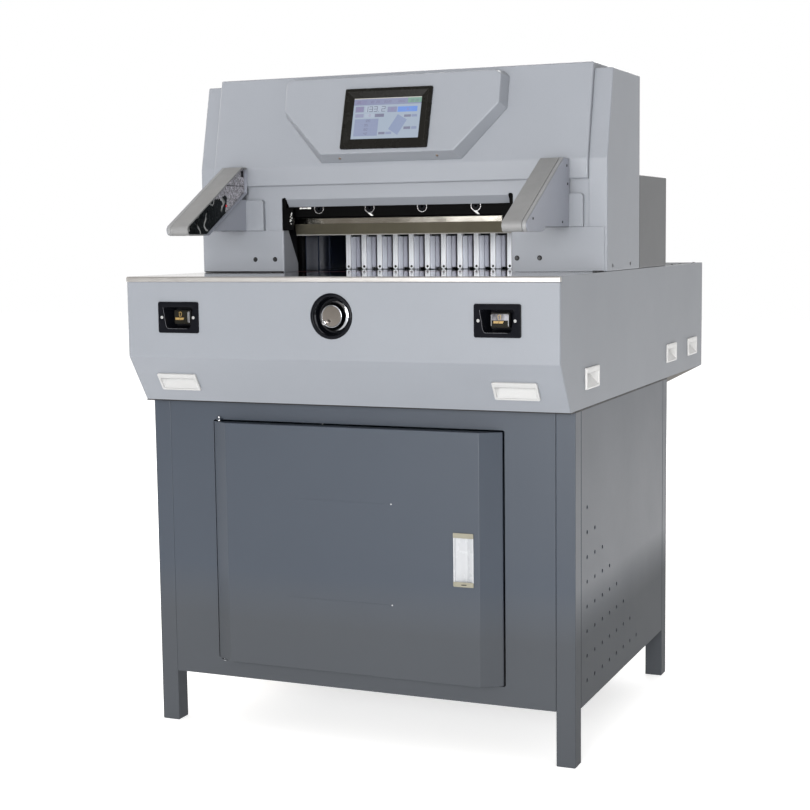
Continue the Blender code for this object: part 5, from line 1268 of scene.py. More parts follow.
# Chrome of the wheel's face; its warm brown tint is a painted reflection of the surroundings in front, unlike
# the cooler spun chrome of the same wheel.
FACE_CHROME = Metal("wheel_face_chrome", Slot.CHROME, (0.3, 0.275, 0.25), roughness=0.13, grain=900.0,
    relief=0.01, tint=(0.32, 0.295, 0.27), smudge=0.03, lines=0.05)
SCREW_GREY = Metal("grey_screw", Slot.CHROME, (0.06, 0.06, 0.062), roughness=0.42, grain=900.0, relief=0.05)
KNIFE_BODY = Metal("knife_back_steel", Slot.STEEL, (0.16, 0.16, 0.155), roughness=0.34, grain=260.0,
    stretch=(0.02, 1.0, 1.0), relief=0.04)
ALLOY = Metal("gauge_alloy", Slot.ALLOY, (0.74, 0.76, 0.81), roughness=0.42, grain=420.0,
    stretch=(1.0, 1.0, 0.02), relief=0.03, tint=(0.78, 0.8, 0.84), bare=0.12)
ALLOY_DULL = Metal("gauge_channel_alloy", Slot.ALLOY, (0.4, 0.42, 0.49), roughness=0.42, grain=420.0,
    stretch=(1.0, 1.0, 0.015), relief=0.05, tint=(0.44, 0.46, 0.53), smudge=0.06, lines=0.25, bare=0.12)
# Darker copy of the channel alloy: painted shade on the channels' flanks, which the next rib shades.
ALLOY_SHADED = Metal("gauge_channel_shade", Slot.ALLOY, (0.27, 0.28, 0.345), roughness=0.45, grain=420.0,
    stretch=(1.0, 1.0, 0.015), relief=0.05, tint=(0.31, 0.32, 0.385), smudge=0.06, lines=0.35, bare=0.12)
# Lighter copy of the knife steel for the thin edge strip: painted highlight along the cutting edge.
KNIFE_EDGE_HIGHLIGHT = Metal("knife_bright_edge", Slot.STEEL, (0.36, 0.355, 0.34), roughness=0.34, grain=340.0,
    stretch=(0.012, 1.0, 1.0), relief=0.02, lines=0.2, bare=0.5)

IRON = Casting("dark_iron", Slot.CASTING, (0.02, 0.021, 0.024))
MOTOR_IRON = Casting("motor_enamel", Slot.CASTING, (0.045, 0.05, 0.06), roughness=0.45)
WINDOW = Foil("light_cell_window", Slot.GLASS)
SCREEN = Picture("screen_picture", Slot.SCREEN)


# Cabinet base


@dataclass
class CabinetBase:
    """Four tube legs with rails and the sheets between them."""

    shop: Workshop
    front: float = -0.4725
    back: float = 0.2245
    leg: float = 0.037
    leg_wall: float = 0.0018
    clear: float = 0.104
    top: float = 0.6627
    rail: float = 0.025
    opening_half: float = 0.3048
    opening_low: float = 0.141
    opening_high: float = 0.6236
    hole_radius: float = 0.004
    hole_columns: int = 8
    first_hole: Pair = (0.0755, 0.0435)
    hole_pitch: Pair = (0.0517, 0.047)
    louvre_count: int = 9
    louvre_pitch: float = 0.02
    louvre_half: float = 0.06

    def build(self) -> None:
        """Make and dress every piece of the base."""
        self.legs()
        self.rails()
        self.front_sheet()
        for side in Side:
            self.side_sheet(side)
        self.rear_sheet()
        self.inlet()
        keep_nodes(base_floor=SLATE_SHADED)

    def legs(self) -> None:
        """Make the legs as square tubes that are open below."""
        legs, bores, wall = Draft(), Draft(), self.leg_wall
        for x in (-HALF, HALF - self.leg):
            for y in (self.front, self.back - self.leg):
                legs.box((x, y, 0.0), (x + self.leg, y + self.leg, self.top))
                bores.box((x + wall, y + wall, -0.01), (x + self.leg - wall, y + self.leg - wall, 0.03))
        piece("base_legs", legs, SLATE, "base_frame", edging=Edging(0.0016, 3), cutters=[bores])

    def rails(self) -> None:
        """Make the upper and lower rings of rails."""
        half, front, back = HALF - SHEET - 2 * GAP, self.front + SHEET + GAP, self.back - SHEET - GAP
        draft = Draft()
        for low, high in ((self.clear + GAP, self.clear + self.rail), (self.top - self.rail, self.top - GAP)):
            rings = []
            for inset, level in ((0.0, low), (0.0, high), (self.rail, high), (self.rail, low)):
                left, near, far = inset - half, front + inset, back - inset
                rings.append(
                    [Vector((x, y, level))
                        for x, y in ((left, near), (-left, near), (-left, far), (left, far))])
            draft.loft(rings, ring=True)
        piece("base_rails", draft, SLATE_SHADED, "base_frame", edging=Edging(0.001, 2))

    def front_sheet(self) -> None:
        """Make the front sheet with the door opening, its folded edge and the hinge lugs."""
        half = HALF - self.leg - GAP
        sheet = Draft().box((-half, self.front, self.clear), (half, self.front + SHEET, self.top))
        wide, tall = self.opening_half * 2, self.opening_high - self.opening_low
        seat = front_seat(0.0, (self.opening_low + self.opening_high) / 2, self.front)
        piece("base_front_sheet", sheet, SLATE, "front_panel", rim=Edging(0.0005, 2, 50.0),
            cutters=[Draft().slab(seat, wide, tall, -0.01, 0.01, 0.004, 4)])
        rows = ((0.0005, -0.0005, 0.004), (0.0005, -0.022, 0.004), (0.004, -0.022, 0.006),
            (0.004, -0.0021, 0.006))
        fold = [seat.rectangle(wide + more, tall + more, w, radius, 4) for more, w, radius in rows]
        # The fold takes the darker slate as painted shade in the gap round the door.
        piece("door_opening_fold", Draft().loft(fold, ring=True), SLATE_SHADED)
        lugs, bores = Draft(), Draft()
        for level in (self.opening_high + 0.0005, self.opening_low - 0.0035):
            lugs.slab(top_seat(HINGE[0], HINGE[1] - 0.001, level), 0.012, 0.0105, 0.0, 0.003, 0.004, 4)
        for level in (self.opening_high, self.opening_low):
            bores.turned(top_seat(*HINGE, level), ((HINGE_BORE, -0.01), (HINGE_BORE, 0.01)), 20)
        piece("hinge_lugs", lugs, SLATE, edging=Edging(0.0003, 1), cutters=[bores])

    def side_sheet(self, side: Side) -> None:
        """Make one side sheet with its triangle of air holes.

        Args:
            side: Side of the machine.
        """
        low, high = self.front + self.leg + 0.0015, self.back - self.leg - 0.0015
        left, right = side.span(HALF, HALF - SHEET)
        sheet = Draft().box((left, low, self.clear), (right, high, self.top))
        item = shaped(f"base_side_sheet_{side.word}", sheet, Edging(0.0005, 2))
        x, y, z = side.value * (HALF - SHEET
            / 2), self.front + self.first_hole[0], self.clear + self.first_hole[1]
        across, up = self.hole_pitch
        places = [(x, y + column * across, z + row * up) for column in range(self.hole_columns)
            for row in range(self.hole_columns - column)]
        guide = linked("hole_guide", point_cloud("hole_guide", places))
        self.shop.perforation.grow(item,
            {"Guide": guide, "Hole Radius": self.hole_radius, "Hole Depth": 0.012,
                "Material": SLATE.material()})
        drop(guide)
        dress(softened(item), SLATE, f"{side.word}_panel")

    def rear_sheet(self) -> None:
        """Make the back sheet with two rows of pressed louvres and its screws."""
        half = HALF - self.leg - GAP
        sheet = Draft().box((-half, self.back - SHEET, self.clear), (half, self.back, self.top))
        hole = Draft().slab(self.inlet_seat(), 0.0486, 0.0386, -0.01, 0.01, 0.002, 3)
        piece("base_rear_sheet", sheet, SLATE, "rear_panel", cutters=[hole], rim=Edging(0.0005, 2, 50.0))
        section = [(-0.0004, 0.0), (0.003, 0.0), (0.0026, 0.004), (0.001, 0.0085), (-0.0004, 0.0095)]
        for name, x in (("louvres_left", -0.12), ("louvres_right", 0.07)):
            louvre = Draft().prism([(self.back + out, 0.42 + up) for out, up in section], Axis.X,
                x - self.louvre_half, x + self.louvre_half)
            self.shop.repeated(shaped(name, louvre, Edging(0.0006, 2, 20.0)), self.louvre_count,
                (0.0, 0.0, self.louvre_pitch), SLATE)
        seats = [back_seat(x, z, self.back) for x in (-0.385, 0.0, 0.385) for z in (0.118, 0.383, 0.648)]
        self.shop.screws("rear_sheet_screws", seats, Screw(), ZINC, 3)

    def inlet_seat(self) -> Seat:
        """Give the seat of the appliance inlet in the back sheet."""
        return back_seat(0.25, 0.25, self.back)

    def inlet(self) -> None:
        """Make the appliance inlet with its three pins."""
        seat = self.inlet_seat()
        loops = seat.stack(4, (0.048, 0.038, -0.03, 0.004), (0.048, 0.038, GAP, 0.004),
            (0.06, 0.05, GAP, 0.006), (0.06, 0.05, 0.0022, 0.006), (0.0585, 0.0485, 0.003, 0.006),
            (0.03, 0.022, 0.003, 0.003), (0.029, 0.021, 0.0022, 0.003), (0.029, 0.021, -0.02, 0.003))
        piece("inlet_housing", Draft().loft(loops), BLACK_MATT, "power_inlet", edging=Edging(0.0004, 1, 50.0))
        pins = Draft()
        for place in ((-0.007, -0.002), (0.0, 0.003), (0.007, -0.002)):
            pins.slab(seat, 0.0022, 0.005, -0.0205, -0.004, 0.0006, 2, place)
        piece("inlet_pins", pins, ZINC, edging=Edging(0.0003, 1))
        self.shop.screws("inlet_screws", [seat.moved(u, 0.0, 0.003) for u in (-0.023, 0.023)],
            Screw(0.003, 0.0012), ZINC, 5)


# Door


@dataclass
class CabinetDoor:
    """Pan door with bevelled flanks, pressed lines and a flush pull."""

    shop: Workshop
    half: float = 0.302
    low: float = 0.143
    high: float = 0.621
    face: float = -0.4995
    edge: float = -0.4755
    back: float = -0.4705
    bevel: float = 0.038
    pull_x: float = 0.233
    pull_z: float = 0.382

    def plan(self, inset: float) -> list[Pair]:
        """Give the plan of the pan, or of its hollow.

        Args:
            inset: Wall between the two; 0 gives the pan.

        Returns:
            The plan's points.
        """
        flat, half = self.half - self.bevel - inset * 0.28, self.half - inset
        back = self.back + (0.004 if inset else 0.0)
        path = [(-half, back), (-half, self.edge + inset * 0.45), (-flat, self.face + inset),
            (flat, self.face + inset), (half, self.edge + inset * 0.45), (half, back)]
        return rounded_path(path, 0.0032 if not inset else 0.0012, 5)

    def build(self) -> None:
        """Make and dress every piece of the door."""
        hollow = Draft().prism(self.plan(SHEET), Axis.Z, self.low + SHEET, self.high - SHEET)
        seat, holes = front_seat(self.pull_x, self.pull_z, self.face), Draft()
        for level in (self.low, self.high):
            holes.turned(top_seat(*HINGE, level), ((HINGE_BORE, -0.006), (HINGE_BORE, 0.006)), 20)
        holes.slab(seat, 0.0362, 0.0972, -0.006, 0.006)
        piece("door_pan", Draft().prism(self.plan(0.0), Axis.Z, self.low, self.high), SLATE, "door",
            body=Body.DOOR, edging=Edging(0.0012, 3, 50.0), cutters=[hollow, holes], smooth=30.0)
        keep_nodes(door_pin=ZINC)
        self.pull(seat)
        self.lines()

    def pull(self, seat: Seat) -> None:
        """Make the pull: a white channel that a tan cap closes at each end.

        Args:
            seat: Its place on the door's face.
        """
        body = Draft().loft(
            seat.stack(4, (0.0358, 0.0966, -0.016, 0.001), (0.0358, 0.0966, -0.0022, 0.001),
                (0.036, 0.0968, GAP, 0.001), (0.04, 0.101, GAP, 0.0022), (0.04, 0.101, 0.001, 0.0022),
                (0.039, 0.1, 0.0015, 0.0022)))
        section = [(-0.0172, 0.006), (-0.0172, 0.0006), (-0.0155, -0.0015), (0.0005, -0.0098),
            (0.004, -0.0098), (0.0184, -0.0004), (0.0184, 0.006)]
        channel = Draft().loft(
            [[seat.point(u, v, w) for u, w in rounded_path(section, 0.002, 3)] for v in (-0.0415, 0.0415)])
        piece("door_pull_channel", body, PULL_WHITE, "door_pull", body=Body.DOOR, cutters=[channel],
            rim=Edging(0.0005, 2, 50.0), smooth=40.0)
        caps = Draft()
        for v in (-0.046, 0.046):
            caps.slab(seat, 0.0403, 0.0094, 0.0006, 0.0021, 0.0014, 3, (0.0, v))
        piece("door_pull_caps", caps, TAN, body=Body.DOOR, edging=Edging(0.0004, 2))
        marks = Draft().slab(seat, 0.0105, 0.0016, 0.002, 0.0023, 0.0005, 2, (0.001, -0.0465))
        piece("door_pull_marks", marks, BLACK_MATT, body=Body.DOOR)

    def lines(self) -> None:
        """Press two fine lines into the door's face, each with a white dot at its right end, a painted
        highlight on a small dome.
        """
        seat = front_seat(0.0, 0.0, self.face)
        draft, dots = Draft(), Draft()
        for left, right, level in ((-0.121, 0.082, 0.479), (-0.14, 0.082, 0.285)):
            draft.slab(seat, right - left, 0.0007, -0.0003, 0.0004, 0.0003, 2, ((left + right) / 2, level))
            dots.turned(seat, ((0.0014, -0.0003), (0.0014, 0.0003), (0.0008, 0.0006)), 14,
                shift=(right + 0.006, level))
        piece("door_pressed_lines", draft, SLATE, body=Body.DOOR, smooth=20.0)
        # Painted highlight: the dots are white for the glint that a small dome catches.
        piece("door_line_dots", dots, PULL_WHITE, body=Body.DOOR, smooth=20.0)


# Table housing


@dataclass
class FingerPull:
    """White moulded finger pull with a sloping floor."""

    seat: Seat
    name: str
    finish: Finish
    width: float = 0.086
    height: float = 0.04
    proud: float = 0.004
    deep: float = 0.014
    taper: float = 0.1

    def build(self) -> None:
        """Make and dress the pull."""
        mouth_width, mouth_height, shift = self.width - 0.0095, self.height - 0.0145, (0.0, -0.00275)
        wide, tall, proud = self.width, self.height, self.proud
        loops = self.seat.stack(4, (0.081, 0.035, -0.016, 0.002), (0.081, 0.035, GAP, 0.002),
            (wide, tall, GAP, 0.003), (wide, tall, proud * 0.62, 0.003),
            (wide - 0.0006, tall - 0.0006, proud * 0.85, 0.003),
            (wide - 0.0022, tall - 0.0022, proud, 0.0028),
            (mouth_width + 0.002, mouth_height + 0.002, proud, 0.0028, shift),
            (mouth_width + 0.0004, mouth_height + 0.0004, proud - 0.0007, 0.0024, shift),
            (mouth_width, mouth_height, proud - 0.002, 0.0022, shift))
        loops.append(self.floor(mouth_width - 0.004, mouth_height - 0.0012, shift[1]))
        piece(f"{self.name}_moulding", Draft().loft(loops), self.finish, self.name, smooth=42.0)

    def floor(self, width: float, tall: float, shift: float) -> Loop:
        """Give the outline of the floor, which is deep above and runs out below.

        Args:
            width: Size across at its lower edge.
            tall: Size up.
            shift: Move of its middle, up.

        Returns:
            The outline.
        """
        loop = []
        for u, v in rounded_rectangle(width, tall, 0.0016, 4, (0.0, shift - 0.0002)):
            share = (v - shift + tall / 2) / tall
            loop.append(
                self.seat.point(u * (1 - self.taper * share), v, self.proud - 0.0023 - self.deep * share))
        return loop


@dataclass
class CutKey:
    """Two-hand cut key: a black bezel with a deep pocket and the key in it."""

    shop: Workshop
    side: Side
    back_of_key: float = -0.023
    lean: float = 5.6

    def build(self) -> None:
        """Make and dress the key and its bezel."""
        seat, word = front_seat(self.side.value * KEY_X, KEY_Z), self.side.word
        right = self.side is Side.RIGHT
        self.bezel(seat, word)
        body = Body.KEY_RIGHT if right else Body.KEY_LEFT
        key = Draft().slab(seat, 0.0356, 0.0272, self.back_of_key, -0.014, 0.0022, 4)
        stem = Draft().slab(seat, 0.008, 0.008, -0.039, self.back_of_key + 0.0005, 0.0006, 2)
        piece(f"cut_key_{word}_body", key, BLACK_MATT, f"cut_key_{word}", body=body, edging=Edging(0.0008, 2))
        piece(f"cut_key_{word}_stem", stem, WHITE_BRIGHTENED, body=body, edging=Edging(0.0003, 1))
        cover = Draft().loft(
            seat.stack(4, (0.0345, 0.0262, -0.0139, 0.0024), (0.0345, 0.0262, -0.013, 0.0024),
                (0.0337, 0.0254, -0.0123, 0.0022), (0.0315, 0.0232, -0.012, 0.0018)))
        piece(f"cut_key_{word}_cover", cover, KEY_COVER, body=body, smooth=20.0)
        if right:
            # Painted reflection: a light, cloudy patch over the upper part of the right key's cover.
            reflection_patch = Draft().slab(seat, 0.0312, 0.0112, -0.0121, -0.0119, 0.001, 3, (0.0, 0.0056))
            piece("cut_key_right_film", reflection_patch, KEY_REFLECTION, body=body, smooth=20.0)
        # Painted highlights: thin light strips where the cover's clear edges catch the light.
        edge_highlights = Draft().slab(seat, 0.0009, 0.0215, -0.0121, -0.0113, 0.0004, 2, (0.016, 0.0))
        edge_highlights.slab(seat, 0.0007, 0.02, -0.0121, -0.0114, 0.0003, 2, (-0.016 if right else 0.0134, 0.0))
        piece(f"cut_key_{word}_edges", edge_highlights, KEY_EDGE_HIGHLIGHT, body=body)
        self.pictogram(seat.moved(-0.0015 if right else -0.0042, -0.0005), body)
        # Painted highlight: a thin grey strip along the pocket mouth's left and lower edges, where the
        # rounded lip catches the light.
        edge = self.leaning(
            [(-0.0298, 0.019), (-0.0298, -0.015), (-0.0285, -0.0196), (-0.025, -0.0216), (0.022, -0.0216)])
        lip_glint = Draft().strip(seat, rounded_path(edge, 0.004, 3), 0.0006, 0.0027, 0.0032)
        piece(f"cut_bezel_{word}_rubbed_edge", lip_glint, LIP_HIGHLIGHT)

    def leaning(self, points: Iterable[Pair]) -> list[Pair]:
        """Widen an outline towards its top, as the pocket's mouth is."""
        return [(u * (1 + self.lean * v), v) for u, v in points]

    def bezel(self, seat: Seat, word: str) -> None:
        """Make the bezel with its pocket and its two screws.

        Args:
            seat: Its place on the housing's front.
            word: Side in its name.
        """
        steps = 5
        loops = seat.stack(steps, (0.068, 0.048, -0.034, 0.003), (0.068, 0.048, GAP, 0.003),
            (0.0885, 0.06, GAP, 0.0036), (0.0885, 0.06, 0.002, 0.0036), (0.0877, 0.0592, 0.0028, 0.0033),
            (0.0862, 0.0577, 0.003, 0.003))
        for width, height, w in ((0.0605, 0.0425, 0.003), (0.0592, 0.0412, 0.0026), (0.0584, 0.0404, 0.0016)):
            mouth = rounded_rectangle(width, height, 0.0048, steps, (0.0, -0.0008))
            loops.append(seat.outline(self.leaning(mouth), w))
        loops.append(seat.rectangle(0.044, 0.034, -0.029, 0.004, steps))
        stem_hole = Draft().slab(seat, 0.0086, 0.0086, -0.04, -0.02)
        piece(f"cut_bezel_{word}_moulding", Draft().loft(loops), BLACK, f"cut_bezel_{word}",
            cutters=[stem_hole], smooth=40.0)
        self.shop.screws(f"cut_bezel_{word}_screws", [seat.moved(u, 0.0, 0.0029) for u in (-0.0356, 0.0336)],
            Screw(0.003, 0.0012, 0.8), WHITE_DIMMED, 7 + self.side.value)

    def pictogram(self, seat: Seat, body: Body) -> None:
        """Lay the gold loop and bar on the key's cover.

        Args:
            seat: Its place on the cover.
            body: Body of the key.
        """
        loop = [(-0.0004, 0.001), (-0.0014, 0.003), (-0.0018, 0.009), (-0.0004, 0.0102), (0.0022, 0.0102),
            (0.0034, 0.009), (0.0028, 0.004), (0.0012, 0.001)]
        draft = Draft().strip(seat, rounded_path(loop, 0.001, 2), 0.001, -0.0121, -0.0117)
        for left, right, top in ((-0.0104, -0.0018, -0.0104), (-0.001, 0.007, 0.0008)):
            outline = [(left, -0.0048), (right, -0.0048), (right + 0.0018, -0.0006), (top, -0.0006)]
            draft.loft([seat.outline(outline, w) for w in (-0.0121, -0.0117)])
        piece(f"cut_key_{self.side.word}_pictogram", draft, GOLD, body=body, smooth=20.0)


@dataclass
class GaugeWheel:
    """Hand wheel of the back gauge in its black cup."""

    steps: int = 72

    def build(self) -> None:
        """Make and dress the cup, the wheel and its turning grip."""
        seat = front_seat(0.0, WHEEL_Z)
        cup = [(0.0361, 0.0012), (0.0366, 0.0021), (0.0376, 0.0026), (0.04, 0.0025), (0.0416, 0.0019),
            (0.0425, 0.001), (0.0426, GAP), (0.0385, GAP), (0.0385, -0.022), (0.0104, -0.022),
            (0.0104, -0.02), (0.03, -0.02), (0.0325, -0.019), (0.0338, -0.0165), (0.0354, -0.004)]
        piece("wheel_cup_turned", Draft().turned(seat, cup, self.steps, ring=True), BLACK, "wheel_cup",
            smooth=40.0)
        wheel = [(0.0115, -0.019), (0.0115, -0.0172), (0.0125, -0.017), (0.0275, -0.017), (0.0283, -0.0164),
            (0.0285, -0.0152), (0.028, -0.0144), (0.0262, -0.0139), (0.024, -0.0131), (0.022, -0.0115),
            (0.0206, -0.009), (0.02, -0.006), (0.0198, -0.003), (0.0203, -0.0014), (0.0209, -0.0008),
            (0.0209, -0.0003), (0.0204, 0.0), (0.0197, -0.0001), (0.0193, -0.0006), (0.0188, -0.0009)]
        piece("hand_wheel_turned", Draft().turned(seat, wheel, self.steps), SPUN, "hand_wheel",
            body=Body.WHEEL, smooth=40.0)
        face = [(0.0189, -0.0009), (0.0189, -0.0004), (0.0187, -0.0002), (0.003, -0.0002)]
        piece("hand_wheel_face", Draft().turned(seat, face, self.steps), FACE_CHROME, body=Body.WHEEL,
            smooth=28.0)
        grip_seat = seat.moved(-0.01, -0.0115)
        grip = [(0.0032, 0.0003), (0.0032, 0.0042), (0.0036, 0.0056), (0.0044, 0.0078), (0.0047, 0.0096),
            (0.0045, 0.0109), (0.0037, 0.0117), (0.0022, 0.012)]
        piece("finger_grip_turned", Draft().turned(grip_seat, grip, 32), CHROME, "finger_grip",
            body=Body.FINGER_GRIP, smooth=40.0)
        keep_nodes(gauge_screw=ZINC)


@dataclass
class TableHousing:
    """Folded housing with the table, its bright edge, the deck behind and what is let into it."""

    shop: Workshop
    top: float = 0.8977
    fold: float = 0.753
    low: float = 0.663
    inset: float = 0.061
    back: float = 0.5735
    corner: float = 0.0035
    wrap: float = 0.0093
    pull_x: float = 0.347

    def build(self) -> None:
        """Make and dress every piece of the housing."""
        self.shell()
        self.deck()
        keep_nodes(table_plate=TABLE_STEEL, cutting_stick=RED)
        self.edge_strip()
        for side in Side:
            CutKey(self.shop, side).build()
            # Front pulls take the dimmed white and flank pulls the brightened one, for how the light falls on
            # each.
            FingerPull(self.front_pull_seat(side), f"finger_pull_front_{side.word}", WHITE_DIMMED).build()
            for number, seat in enumerate(self.flank_seats(side), 1):
                FingerPull(seat, f"finger_pull_{side.word}_{number}", WHITE_BRIGHTENED, deep=0.0158,
                    taper=0.5).build()
        GaugeWheel().build()

    def flank_seats(self, side: Side) -> list[Seat]:
        """Give the seats of the finger pulls on one flank, from the front."""
        return [side_seat(side, at_depth(depth), self.low + 0.053) for depth in PULL_DEPTHS]

    def front_pull_seat(self, side: Side) -> Seat:
        """Give the seat of a finger pull on the front's lower face, which leans back.

        Args:
            side: Side of the machine.

        Returns:
            The seat.
        """
        drop, share = self.fold - self.low, 0.555
        length = math.hypot(self.inset, drop)
        centre = Vector((side.value * self.pull_x, at_depth(self.inset * share), self.fold - drop * share))
        return Seat(centre, Vector((1, 0, 0)), Vector((0, -self.inset / length, drop / length)),
            Vector((0, -drop / length, -self.inset / length)))

    def holes(self) -> Draft:
        """Give the cut-outs for the pulls, the keys and the wheel.

        Returns:
            The cutting bodies.
        """
        draft = Draft()
        for side in Side:
            draft.slab(self.front_pull_seat(side), *PULL_HOLE, -0.008, 0.008)
            draft.slab(front_seat(side.value * KEY_X, KEY_Z), 0.0686, 0.0486, -0.008, 0.008, 0.003, 3)
            for seat in self.flank_seats(side):
                draft.slab(seat, *PULL_HOLE, -0.008, 0.008)
        return draft.turned(front_seat(0.0, WHEEL_Z), ((0.0388, -0.008), (0.0388, 0.008)), 48)

    def plan(self, inset: float) -> list[Pair]:
        """Give the plan of the housing at one level.

        Args:
            inset: How far the front stands back.

        Returns:
            The plan's points, from back left to back right.
        """
        front = FRONT + inset
        path = [(-HALF, self.back), (-HALF, front + self.wrap)]
        for sign, start in ((-1, 0.5), (1, 0.75)):
            path += arc((sign * (HALF - self.corner), front + self.corner), self.corner, math.tau * start,
                math.tau / 4, 5)
        return path + [(HALF, front + self.wrap), (HALF, self.back)]

    def shell(self) -> None:
        """Make the front and both flanks as one folded sheet, its rims and a black strip of painted shadow
        under it.
        """
        profile = rounded_path([(0.0, self.top), (0.0, self.fold), (self.inset, self.low)], 0.006, 5)
        sheet = Draft().surface([[Vector((x, y, z)) for x, y in self.plan(inset)] for inset, z in profile])
        piece("housing_shell", sheet, GREY, "apron", "left_skirt", "right_skirt", cutters=[self.holes()],
            rim=Edging(0.0004, 2, 55.0), wall=SHEET)
        rims = Draft()
        # Painted shadow: a black strip along the housing's lower edge, where it overhangs the base.
        shadow_band = Draft().box((-HALF, at_depth(0.0625), self.low - 0.002), (HALF, -0.4735, self.low - 0.0002))
        for side in Side:
            left, right = side.span(HALF, HALF - SHEET)
            rims.box((left, at_depth(self.wrap), self.top - 0.0004), (right, self.back, TABLE))
            left, right = side.span(HALF - 0.003, HALF + 0.0003)
            shadow_band.box((left, -0.4728, self.low - 0.0032), (right, 0.224, self.low - 0.0002))
        flange = thickened(
            [(at_depth(self.inset + 0.025), self.low), (at_depth(self.inset + 0.0015), self.low)], -SHEET)
        rims.prism(flange, Axis.X, -HALF + SHEET, HALF - SHEET)
        piece("housing_rims", rims, GREY, edging=Edging(0.0006, 2))
        piece("housing_gasket", shadow_band, BLACK_MATT)

    def deck(self) -> None:
        """Make the deck behind the rear box, with its screws."""
        path = rounded_path(
            [(at_depth(0.7703), TABLE), (self.back, TABLE), (self.back, self.low),
                (self.back - 0.025, self.low)], 0.003, 4)
        half = HALF - SHEET - GAP
        deck = Draft().prism(thickened(path, -SHEET), Axis.X, -half, half)
        piece("rear_deck_sheet", deck, DECK_GREY, "rear_deck", edging=Edging(0.0005, 1, 50.0))
        seats = [top_seat(sign * 0.425, at_depth(depth), TABLE) for sign in (-1, 1)
            for depth in (0.8, 0.89, 0.965, 1.11)]
        seats += [back_seat(x, z, self.back) for x in (-0.4, 0.0, 0.4) for z in (0.69, 0.88)]
        gussets = Draft()
        for side in Side:
            gussets.prism(
                [(0.2255, self.low - 0.011), (0.57, self.low - 0.0012), (0.57, self.low - GAP),
                    (0.2255, self.low - GAP)], Axis.X, *side.span(HALF - 0.006, HALF - 0.002))
        piece("deck_gussets", gussets, GUSSET_GREY, edging=Edging(0.0004, 1))
        self.shop.screws("deck_screws", seats, Screw(0.0036, 0.0012), SCREW_GREY, 11)

    def edge_strip(self) -> None:
        """Make the bright strip along the table's front edge."""
        outline = rounded_path(
            [(FRONT - 0.001, TABLE - 0.01), (FRONT - 0.001, TABLE), (at_depth(0.009), TABLE),
                (at_depth(0.009), TABLE - 0.01)], 0.003, 5)
        strip = Draft().prism(outline, Axis.X, -HALF, HALF)
        piece("table_edge_strip", strip, TRIM_STEEL, "front_trim", edging=Edging(0.0012, 3, 50.0))


# Head


